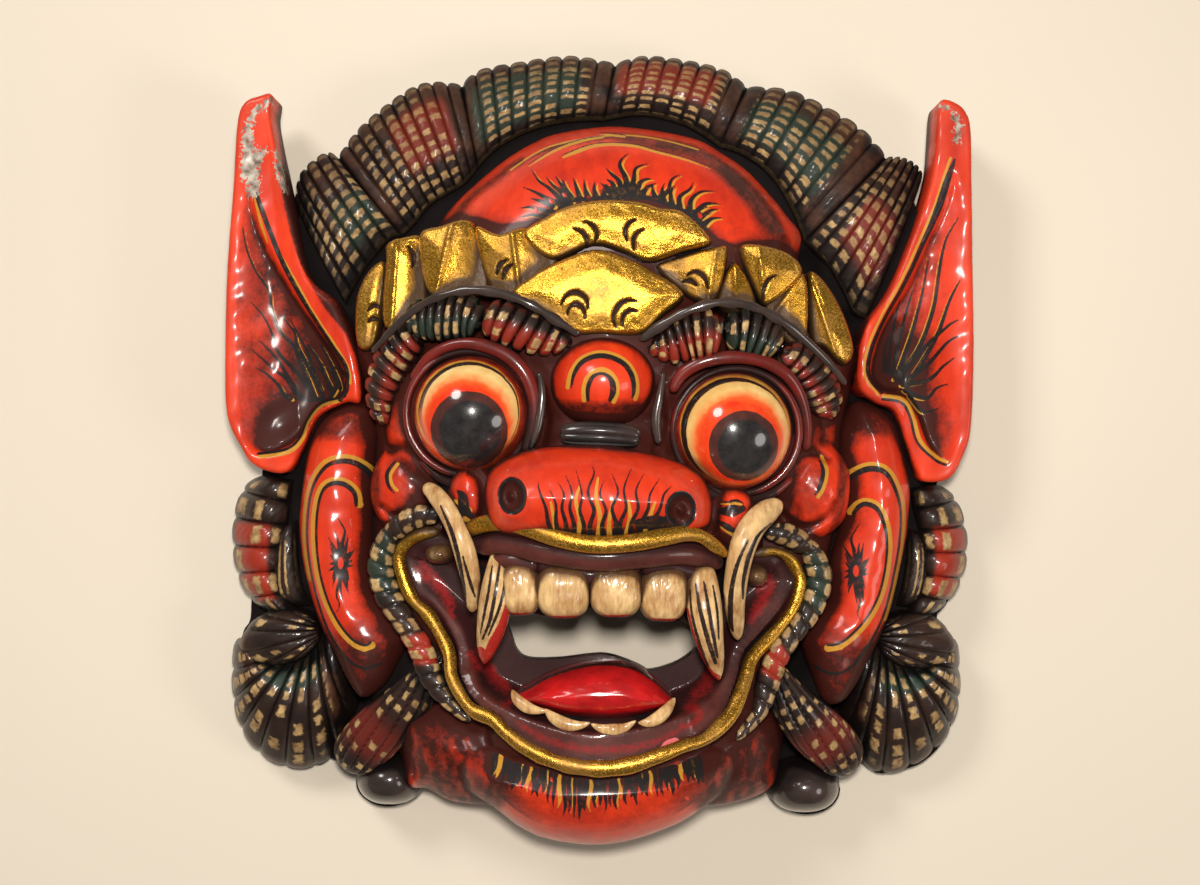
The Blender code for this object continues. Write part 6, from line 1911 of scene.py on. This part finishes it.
def makeMouth():
    keepRoll("upper_lip", mouthPieces["upperLip"], 0.7, gold, "gold_leaf", Sides=40, Flatness=0.8)
    keepRoll("upper_lip_under", mouthPieces["underLip"], 0.9, maroon, "mouth_paint", Sides=48, Flatness=0.9)
    line = evenTrack(track(mouthLook["rim"]), 0.9)
    line[:, 3] *= 0.86 + 0.10 * wobble(line[:, 0], line[:, 1], 12.0, 9)
    places, faces, _ = roll(line, gold, Sides=26, Flatness=0.8)
    keep("mouth_rim", places, faces, [gold], "gold_leaf", {}, sharp=60.0)
    for index, points in enumerate(mouthPieces["gums"]):
        keepRoll(f"gum_{index + 1}", points, 0.9, maroon, "mouth_paint", Sides=32, Flatness=0.8)
    for index, (centre, radii, top, turn) in enumerate(mouthPieces["teeth"]):
        places, faces = dome(centre, radii, top, top - 10.0, turn, rings=30, sides=80, fullness=3.0,
                             depth=24.0)
        places[:, 2] += 0.15 * wobble(places[:, 0] * 3.0, places[:, 1], 5.0, index)
        down = (places[:, 1] - spot(*centre, top)[1]) / (radii[1] * drawing["step"])
        aside = (places[:, 0] - spot(*centre, top)[0]) / (radii[0] * drawing["step"])
        # Brown stain and painted shade: darker at each tooth's top under the lip and round its rim.
        stainAndShade = 0.6 * ease(down + 0.1) + 0.6 * ease((np.hypot(aside, down) - 0.62) / 0.3)
        keep(f"tooth_{index + 1}", places, faces, [ivory], "ivory_paint",
             {"red": 6.0 * (down + 0.78), "shade": stainAndShade}, sharp=60.0)
    for name, (points, inks, reds) in mouthPieces["fangs"].items():
        places, faces, _ = roll(evenTrack(track(points), 0.6), ivory, Sides=72, Flatness=0.9)
        x, y = places[:, 0], places[:, 1]
        keep(name, places, faces, [ivory], "ivory_paint",
             {"ink": strokeField(x, y, inks, 100.0), "red": strokeField(x, y, reds, 98.0)}, sharp=60.0)
    for name, (points, inks) in mouthPieces["tusks"].items():
        places, faces, _ = roll(evenTrack(track(points), 0.6), ivory, Sides=60, Flatness=0.8)
        keep(name, places, faces, [ivory], "ivory_paint",
             {"ink": strokeField(places[:, 0], places[:, 1], inks, 99.0)}, sharp=60.0)
    for index, (centre, radii, top, turn) in enumerate(mouthPieces["sideTeeth"]):
        places, faces = dome(centre, radii, top, 56.0, turn, rings=20, sides=48, fullness=2.3)
        keep(f"side_tooth_{index + 1}", places, faces, [ivory], "ivory_paint",
             {"shade": np.full(len(places), 0.85)}, sharp=60.0)

    tongue = outline(mouthPieces["tongue"], 80.0)

    def tongueSurface(x, y):
        depth = toLoop(x, y, tongue)
        line = track(mouthPieces["tongueGroove"])
        gap = toTrack(x, y, line)[0]
        return 76.0 + 18.0 * bulge(depth / 12.0) - 0.8 * ease(1.0 - gap / 2.4) + 0.1 * wobble(x * 0.3,
                y * 2.0, 4.0, 3)

    places, faces = gridSheet([tongue], [], 0.6, tongueSurface)
    keep("tongue", places, faces, [tongueRed], "mouth_paint",
         {"ink": toLoop(places[:, 0], places[:, 1], tongue) - 0.5}, sheet=True)
    for index, points in enumerate(mouthPieces["lowerTeeth"]):
        keepRoll(f"lower_tooth_{index + 1}", points, 0.6, ivory, "ivory_paint", Sides=32, Flatness=0.7)


# The finish for each kind of hair: half width and half length of a dash, and the share of dashes kept.
crestHair = hairMaterial("crest hair", (0.34, 0.26, 0.9), {**hairLook, "roughness": 0.52, "coat": 0.10,
                                                           "red": (0.20, 0.025, 0.013),
                                        "worn": (0.085, 0.034, 0.018)})
shellHair = hairMaterial("shell hair", (0.20, 0.37, 0.80))
curlHair = hairMaterial("curl hair", (0.34, 0.24, 0.62))
knobHair = hairMaterial("knob hair", (0.20, 0.26, 0.40))
ropeHair = hairMaterial("rope hair", (0.24, 0.24, 0.62), {**hairLook, "red": (0.22, 0.02, 0.012)})
wispHair = hairMaterial("wisp hair", (0.36, 0.24, 0.72))
browHair = hairMaterial("brow hair", (0.26, 0.34, 0.50))
lidPaint = plainPaint("lid red", (0.15, 0.010, 0.007), (0.06, 0.008, 0.006), (0.014, 0.005, 0.004), 0.40,
                      0.42, None, 0.95, 0.75)
# Near-black for the block's front and sides, which show in the gaps between the pieces: painted shadow.
shadowGround = plainPaint("ground painted as shadow", (0.022, 0.009, 0.008), (0.012, 0.006, 0.006), (0.004, 0.003, 0.003),
                        0.75, 0.0)

makeFace()
makeForehead()
makeNose()
makeChin()
for side in ("left", "right"):
    makeEar(side)
    makeJowl(side)
print("skin carved")
makeCrest()
makeSideHair()
makeRopes()
makeBrows()
print("hair carved")
makeLeaves()
makeEyes()
makeMouth()
print("eyes, mouth and gilt band carved")


class HeightMap:  # the highest surface over each cell, in mm
    def __init__(self, step, reach):
        self.step, self.low = step, -reach
        self.size = int(round(2.0 * reach / step)) + 1
        self.z = np.full((self.size, self.size), -1.0)

    def cells(self, x, y):
        column = np.clip(np.round((x - self.low) / self.step).astype(int), 0, self.size - 1)
        row = np.clip(np.round((y - self.low) / self.step).astype(int), 0, self.size - 1)
        return row, column

    def lay(self, places, faces):
        samples = [places]
        if len(faces):
            corners = np.array([face[:3] for face in faces])
            samples.append(places[corners].mean(axis=1))
        for points in samples:
            row, column = self.cells(points[:, 0], points[:, 1])
            np.maximum.at(self.z, (row, column), points[:, 2])

    def read(self, grid, x, y):
        column = np.clip((x - self.low) / self.step, 0, self.size - 1.001)
        row = np.clip((y - self.low) / self.step, 0, self.size - 1.001)
        left, low = column.astype(int), row.astype(int)
        fx, fy = column - left, row - low
        bottom = grid[low, left] * (1 - fx) + grid[low, left + 1] * fx
        top = grid[low + 1, left] * (1 - fx) + grid[low + 1, left + 1] * fx
        return bottom * (1 - fy) + top * fy


def spread(grid, reach, choose):  # the least or greatest within a square
    for axis in (0, 1):
        grid = choose([np.roll(grid, shift, axis=axis) for shift in range(-reach, reach + 1)], axis=0)
    return grid


def blurred(grid, reach, passes=2):
    for _ in range(passes):
        for axis in (0, 1):
            grid = np.mean([np.roll(grid, shift, axis=axis) for shift in range(-reach, reach + 1)], axis=0)
    return grid


heights = HeightMap(1.0, 190.0)
for shape in shapes:
    heights.lay(shape["places"], shape["faces"])
filled = heights.z.copy()
grid = np.arange(heights.size) * heights.step + heights.low
gridX, gridY = np.meshgrid(grid, grid)
gapLoop = outline(mouthLook["gap"], 92.0)
overGap = toLoop(gridX.ravel(), gridY.ravel(), gapLoop).reshape(gridX.shape) > -2.0
for turn in range(30):  # cells that no point fell in take the mean of their neighbours
    empty = (filled < 0.0) & (overGap | (turn < 5))
    around = [np.roll(np.roll(filled, dx, 0), dy, 1) for dx in (-1, 0, 1) for dy in (-1, 0, 1)]
    known = [np.where(item >= 0.0, 1.0, 0.0) for item in around]
    total = sum(np.where(item >= 0.0, item, 0.0) for item in around)
    filled = np.where(empty & (sum(known) > 0.0), total / np.maximum(sum(known), 1.0), filled)
filled = np.where(filled < 0.0, 12.0, filled)
lowest = blurred(spread(filled, 4, np.min), 2)
lowNear = spread(filled, 3, np.min)
soft3, soft9, soft20 = blurred(filled, 2), blurred(filled, 6), blurred(filled, 14)

block = {
    "board": ((320, 190), (360, 140), (450, 95), (530, 72), (610, 66), (700, 70), (790, 105), (860, 140),
              (912, 200), (920, 260), (935, 330), (945, 420), (940, 500), (948, 560), (935, 640),
              (900, 730), (840, 775), (770, 792), (700, 800), (600, 806), (500, 800), (410, 782),
              (345, 768), (285, 730), (250, 650), (250, 560), (256, 500), (262, 430), (270, 330),
              (292, 240)),
    "curls": (
        ((258, 476), (285, 474), (294, 490), (294, 520), (298, 560), (306, 590), (300, 612), (265, 618),
         (250, 600), (237, 575), (232, 545), (233, 518), (240, 492)),
        ((920, 484), (945, 486), (962, 510), (969, 540), (966, 570), (955, 600), (940, 618), (905, 620),
         (895, 600), (905, 560), (912, 520), (910, 492)),
        ((250, 615), (285, 606), (310, 612), (322, 640), (340, 665), (360, 695), (350, 720), (340, 745),
         (322, 765), (300, 772), (272, 766), (250, 748), (234, 722), (230, 690), (231, 655), (238, 630)),
        ((945, 618), (915, 612), (888, 618), (872, 650), (858, 676), (836, 702), (840, 730), (852, 755),
         (872, 778), (895, 778), (925, 768), (948, 745), (960, 715), (962, 685), (957, 650)),
    ),
    "wall": 13.0, "rim": 17.0, "softness": 10.0, "earLift": 16.0, "chinLean": 9.0, "step": 2.0,
    "inset": 1.2, "hollowMiddle": (601, 445), "hollowRadii": (262, 342), "cover": 1.2,
}


def silhouetteLoops():
    outer = []
    for index, (notch, _) in enumerate(crest["notches"]):
        outer.append(notch)
        if index < len(crest["swells"]):
            outer.extend(crest["swells"][index])
    outerLine = np.array([spot(*place, crest["edgeHeight"]) for place in outer])
    innerLine = smoothLine([spot(*inner, crest["innerHeight"]) for _, inner in crest["notches"]], False, 4)
    loops = [np.vstack([outerLine, innerLine[::-1]]), outline(block["board"], 14.0)]
    for points, level in zip(block["curls"], (14, 14, 12, 12)):
        line = outline(points, level)
        loops.append(line.mean(axis=0) + 0.955 * (line - line.mean(axis=0)))
    loops += [outline(face["jaw"], 16.0), outline(face["cheeks"], 26.0), outline(face["chin"], 40.0)]
    loops += [outline(jowls[side]["outline"], 40.0) for side in ("left", "right")]
    loops += [outline(ears[side]["outline"], 30.0) for side in ("left", "right")]
    for points, _ in ropes["locks"].values():
        line = evenTrack(track(points), 6.0)
        ahead = np.gradient(line[:, :2], axis=0)
        ahead /= np.linalg.norm(ahead, axis=1)[:, None]
        side = np.stack([-ahead[:, 1], ahead[:, 0]], 1) * line[:, 3:4]
        loops.append(np.vstack([line[:, :2] + side, (line[:, :2] - side)[::-1]]))
    for centre, radii, _ in ropes["knobs"].values():
        cx, cy = spot(*centre, 18.0)
        turns = np.linspace(0.0, 2.0 * math.pi, 24, endpoint=False)
        size = drawing["step"] * 0.95
        across, up = radii[0] * size * np.cos(turns), radii[1] * size * np.sin(turns)
        loops.append(np.stack([cx + across, cy + up], 1))
    return loops


blockLoops = silhouetteLoops()


def insideBlock(x, y):
    inside = np.full(x.shape, -1e9)
    for loop in blockLoops:
        inside = np.maximum(inside, toLoop(x, y, loop))
    return np.minimum(inside, -toLoop(x, y, gapLoop))


def backHeights(x, y, front):
    back = heights.read(backGrid, x, y)
    under = np.minimum(back, front - 0.6 * block["wall"])
    for side in ("left", "right"):
        inEar = ease(toLoop(x, y, outline(ears[side]["outline"], 30.0)) / 4.0 + 1.0)
        under = under + block["earLift"] * inEar * ease((y - 5.0) / 60.0) * ease((np.abs(x) - 112.0) / 22.0)
    gouge = 0.5 * wobble(x, y * 0.6, 11.0, 12) * ease(under / 8.0)
    return np.maximum(under + gouge, 0.0)


cx, cy = spot(*block["hollowMiddle"], 0.0)
rx, ry = (radius * drawing["step"] - block["rim"] for radius in block["hollowRadii"])
away = np.sqrt(((gridX - cx) / rx) ** 2 + ((gridY - cy) / ry) ** 2)
hollowShare = ease((1.0 - away) * min(rx, ry) / (2.0 * block["softness"]))
backGrid = np.clip(blurred(spread(filled, 8, np.min), 7, 3) - block["wall"], 0.0, None) * hollowShare


def toReal(places):  # the drawing's millimetres to the part's metres, with the chin leaning in
    real = places.copy()
    low = 1.0 - np.minimum(1.0, real[:, 2] / 40.0)
    reach = ease((-118.0 - real[:, 1]) / 45.0) * ease((74.0 - np.abs(real[:, 0])) / 40.0)
    real[:, 1] += block["chinLean"] * low * reach
    real[:, 0] += drawing["shift"][0]
    real[:, 1] += drawing["shift"][1]
    real[:, 2] *= drawing["depth"]
    return real * 0.001


def closeShape(shape):  # walls round the sheet's edge and an underside that keeps just below its surface
    places, faces = shape["places"], np.asarray(shape["faces"])
    edges = boundaryEdges(faces)
    loops = edgeLoops(edges)
    count = len(places)
    border = [index for loop in loops for index in loop]
    lower = {index: count + order for order, index in enumerate(border)}
    ring = places[border].copy()
    inside = insideBlock(ring[:, 0], ring[:, 1])
    floor = backHeights(ring[:, 0], ring[:, 1], ring[:, 2] + 8.0) + 0.35
    near = heights.read(lowNear, ring[:, 0], ring[:, 1]) - 3.0
    ring[:, 2] = np.where(inside < 1.6, floor, np.maximum(np.minimum(ring[:, 2] - 2.0, near), floor))
    hanging = toLoop(ring[:, 0], ring[:, 1], gapLoop) > 1.0
    ring[:, 2] = np.where(hanging, places[border][:, 2] - 2.5, ring[:, 2])
    ring[:, 2] = np.minimum(ring[:, 2], places[border][:, 2] - 0.4)
    low, high = places[:, :2].min(axis=0), places[:, :2].max(axis=0)
    gx, gy = np.meshgrid(np.arange(low[0], high[0], 4.0), np.arange(low[1], high[1], 4.0))
    gx, gy = gx.ravel(), gy.ravel()
    outlines = [ring[[lower[index] - count for index in loop]][:, :2] for loop in loops]
    sizes = [abs(np.sum(line[:, 0] * np.roll(line[:, 1], -1) - line[:, 1] * np.roll(line[:, 0], -1)))
             for line in outlines]
    widest = int(np.argmax(sizes))
    depth = toLoop(gx, gy, outlines[widest])
    for order, line in enumerate(outlines):
        if order != widest:
            depth = np.minimum(depth, -toLoop(gx, gy, line))
    kept = depth > 2.2
    gx, gy = gx[kept], gy[kept]
    own = HeightMap(2.0, 190.0)
    own.z[:] = 1e3
    row, column = own.cells(places[:, 0], places[:, 1])
    np.minimum.at(own.z, (row, column), places[:, 2])
    ownLow = spread(own.z, 1, np.min)
    under = ownLow[own.cells(gx, gy)] - 2.0
    points = [Vector(point) for point in ring[:, :2].tolist() + list(zip(gx.tolist(), gy.tolist()))]
    ringEdges = [(lower[a] - count, lower[b] - count) for a, b in edges.tolist()]
    made, _, found, origin, _, _ = delaunay_2d_cdt(points, ringEdges, [], 1, 1e-7)
    raised = np.concatenate([ring[:, 2], under])
    madePlaces = np.array([(*point[:2], min(raised[item] for item in sources))
                           for point, sources in zip(made, origin)])
    if len(outlines) > 1:
        middles = np.array([madePlaces[list(face)].mean(axis=0) for face in found])
        solid = toLoop(middles[:, 0], middles[:, 1], outlines[widest]) > 0.0
        for order, line in enumerate(outlines):
            if order != widest:
                solid &= toLoop(middles[:, 0], middles[:, 1], line) < 0.0
        found = [face for face, held in zip(found, solid) if held]
    toNew = {source: index for index, sources in enumerate(origin) for source in sources}
    allPlaces = np.vstack([places, madePlaces])
    below = {index: count + toNew[lower[index] - count] for index in border}
    skirt = [(b, a, below[a], below[b]) for a, b in edges.tolist()]
    bottom = []
    for face in found:
        a, b, c = (madePlaces[corner] for corner in face)
        upward = (b[0] - a[0]) * (c[1] - a[1]) - (b[1] - a[1]) * (c[0] - a[0]) > 0.0
        face = face[::-1] if upward else face
        bottom.append(tuple(count + corner for corner in face))
    extra = len(allPlaces) - count
    for name, values in shape["attributes"].items():
        added = np.full(extra, 0.0 if name in softFields else 4.0)
        shape["attributes"][name] = np.concatenate([values, added])
    if shape["uv"] is not None:
        shape["uv"] = np.vstack([shape["uv"], np.zeros((extra, 2))])
    if shape["faceSlots"] is not None:
        added = np.zeros(len(skirt) + len(bottom), dtype=int)
        shape["faceSlots"] = np.concatenate([shape["faceSlots"], added])
        firstLoop = np.array([edge[0] for edge in edges.tolist()])
        atGap = np.abs(toLoop(places[firstLoop, 0], places[firstLoop, 1], gapLoop)) < 1.0
        shape["faceSlots"][len(faces):len(faces) + len(skirt)] = atGap.astype(int)
    shape["places"] = allPlaces
    shape["faces"] = [tuple(face) for face in faces.tolist()] + skirt + bottom


softFields = {"shade", "hollowShare", "painted", "redArea", "greenArea", "hollow"}
allFields = ("ink", "ochre", "cream", "chip", "red", "pink")
washAndShadeWeights = {"near": 0.36, "wide": 0.17, "broad": 0.035, "most": 1.3, "held": 1.4}  # how the hollows gather the dark wash and the painted shade that lies in them


def makeObject(shape):
    places = shape["places"]
    near, wide, broad = (heights.read(grid, places[:, 0], places[:, 1]) - places[:, 2]
                         for grid in (soft3, soft9, soft20))
    hollow = washAndShadeWeights["near"] * near + washAndShadeWeights["wide"] * wide + washAndShadeWeights["broad"] * broad
    hollow = hollow * shape["attributes"].pop("hollowShare", 1.0)
    # Each piece's painted shade is added on top, and where it lies the high places are not lightened.
    shade = shape["attributes"].pop("shade", 0.0)
    raisedShare = np.clip(hollow, -1.0, 0.0) * (1.0 - np.clip(washAndShadeWeights["held"] * shade, 0.0, 1.0))
    hollow = np.clip(hollow, 0.0, washAndShadeWeights["most"]) + raisedShare + shade
    mesh = bpy.data.meshes.new(shape["name"])
    mesh.from_pydata(toReal(places).tolist(), [], shape["faces"])
    for material in shape["materials"]:
        mesh.materials.append(material)
    if shape["faceSlots"] is not None:
        mesh.polygons.foreach_set("material_index", np.asarray(shape["faceSlots"], dtype=np.int32))
    fields = {"hollow": hollow, **shape["attributes"]}
    for name in allFields:
        fields.setdefault(name, np.full(len(places), 4.0))
    for name, values in fields.items():
        mesh.attributes.new(name, "FLOAT", "POINT").data.foreach_set("value",
                np.asarray(values, dtype=np.float32))
    if shape["uv"] is not None:
        loops = np.empty(len(mesh.loops), dtype=int)
        mesh.loops.foreach_get("vertex_index", loops)
        mesh.uv_layers.new(name="strands").data.foreach_set("uv",
                shape["uv"][loops].astype(np.float32).ravel())
    work = bmesh.new()
    work.from_mesh(mesh)
    bmesh.ops.recalc_face_normals(work, faces=work.faces)
    sharp = math.radians(shape["sharp"])
    for item in work.edges:
        item.smooth = item.calc_face_angle(0.0) < sharp
    work.to_mesh(mesh)
    work.free()
    mesh.polygons.foreach_set("use_smooth", np.ones(len(mesh.polygons), dtype=bool))
    made = bpy.data.objects.new(shape["name"], mesh)
    bpy.context.scene.collection.objects.link(made)
    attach(made, "root")
    return made


def makeBlock():
    low = np.min([loop.min(axis=0) for loop in blockLoops], axis=0) - 4.0
    high = np.max([loop.max(axis=0) for loop in blockLoops], axis=0) + 4.0
    x, y = np.meshgrid(np.arange(low[0], high[0], block["step"]), np.arange(low[1], high[1], block["step"]))
    inside = insideBlock(x.ravel(), y.ravel()) - block["inset"]
    flat, faces = cutSheet(x, y, inside.reshape(x.shape), block["step"])
    top = heights.read(lowest, flat[:, 0], flat[:, 1]) - block["cover"]
    top = np.maximum(top, 11.0)
    under = backHeights(flat[:, 0], flat[:, 1], top + block["cover"])
    under = np.minimum(under, top - 0.5 * block["wall"])
    count = len(flat)
    places = np.vstack([np.column_stack([flat, top]), np.column_stack([flat, np.maximum(under, 0.0)])])
    edges = boundaryEdges(faces)
    walls = np.stack([edges[:, 1], edges[:, 0], edges[:, 0] + count, edges[:, 1] + count], 1)
    slots = np.concatenate([np.zeros(len(faces)), np.ones(len(faces)), np.zeros(len(walls))]).astype(int)
    allFaces = faces.tolist() + (faces[:, ::-1] + count).tolist() + walls.tolist()
    allFaces = [tuple(corners) for corners in allFaces]
    keep("block", places, allFaces, [shadowGround, bareWood], "bare_wood", {}, faceSlots=slots, sharp=50.0)
    return makeObject(shapes.pop())


blockPiece = makeBlock()
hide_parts("mask")
print("block made")
for shape in shapes:
    if shape["sheet"]:
        closeShape(shape)
    makeObject(shape)
print("pieces made:", len(shapes))

# Floor, lights and camera.
studio = {
    "floor": (0.70, 0.625, 0.52), "floorSize": 3.0, "floorDrop": 0.0005, "world": (0.57, 0.53, 0.48),
    "worldStrength": 0.26,
    "sensor": 36.0, "pictureWidth": 1200.0,
    "lights": {  # place, aim, size in metres, power, colour
        "window": ((-0.75, 0.95, 1.25), (0.0, 0.0, 0.0), 0.5, 12.5, (1.0, 0.97, 0.93)),
        "fill": ((1.15, -0.35, 1.0), (0.0, 0.0, 0.0), 0.55, 5.0, (1.0, 0.95, 0.90)),
        "near the lens": ((0.01, 0.09, 1.02), (0.0, 0.0, 0.05), 0.09, 9.0, (1.0, 0.95, 0.88)),
    },
}


def makeFloor():
    work = bmesh.new()
    bmesh.ops.create_grid(work, x_segments=1, y_segments=1, size=studio["floorSize"])
    mesh = bpy.data.meshes.new("floor")
    work.to_mesh(mesh)
    work.free()
    floor = bpy.data.objects.new("floor", mesh)
    floor.location.z = -studio["floorDrop"]
    bpy.context.scene.collection.objects.link(floor)
    material, tree, shader = startMaterial("pale floor", 0.75, specular=0.25)
    cloud = noise(tree, objectPlaces(tree), 3.0)
    colour = blended(tree, ranged(tree, cloud, 0.3, 0.7), studio["floor"],
                     tuple(0.96 * part for part in studio["floor"]))
    tree.links.new(colour, shader.inputs["Base Color"])
    mesh.materials.append(material)


def addLight(name, place, aim, size, power, colour):
    light = bpy.data.lights.new(name, "AREA")
    light.shape, light.size, light.energy, light.color = "DISK", size, power, colour
    item = bpy.data.objects.new(name, light)
    item.location = place
    item.rotation_euler = (Vector(aim) - Vector(place)).to_track_quat("-Z", "Y").to_euler()
    bpy.context.scene.collection.objects.link(item)


makeFloor()
for name, values in studio["lights"].items():
    addLight(name, *values)
print("studio lit")

world = bpy.data.worlds.new("studio")
world.use_nodes = True
sky = world.node_tree.nodes["Background"]
sky.inputs[0].default_value = (*studio["world"], 1.0)
sky.inputs[1].default_value = studio["worldStrength"]
bpy.context.scene.world = world

camera = bpy.data.cameras.new("camera")
camera.sensor_width = studio["sensor"]
camera.lens = studio["sensor"] * drawing["viewHeight"] / (studio["pictureWidth"] * drawing["step"])
viewer = bpy.data.objects.new("camera", camera)
viewer.location = [0.001 * part for part in (*drawing["shift"], drawing["viewHeight"])]
bpy.context.scene.collection.objects.link(viewer)
bpy.context.scene.camera = viewer
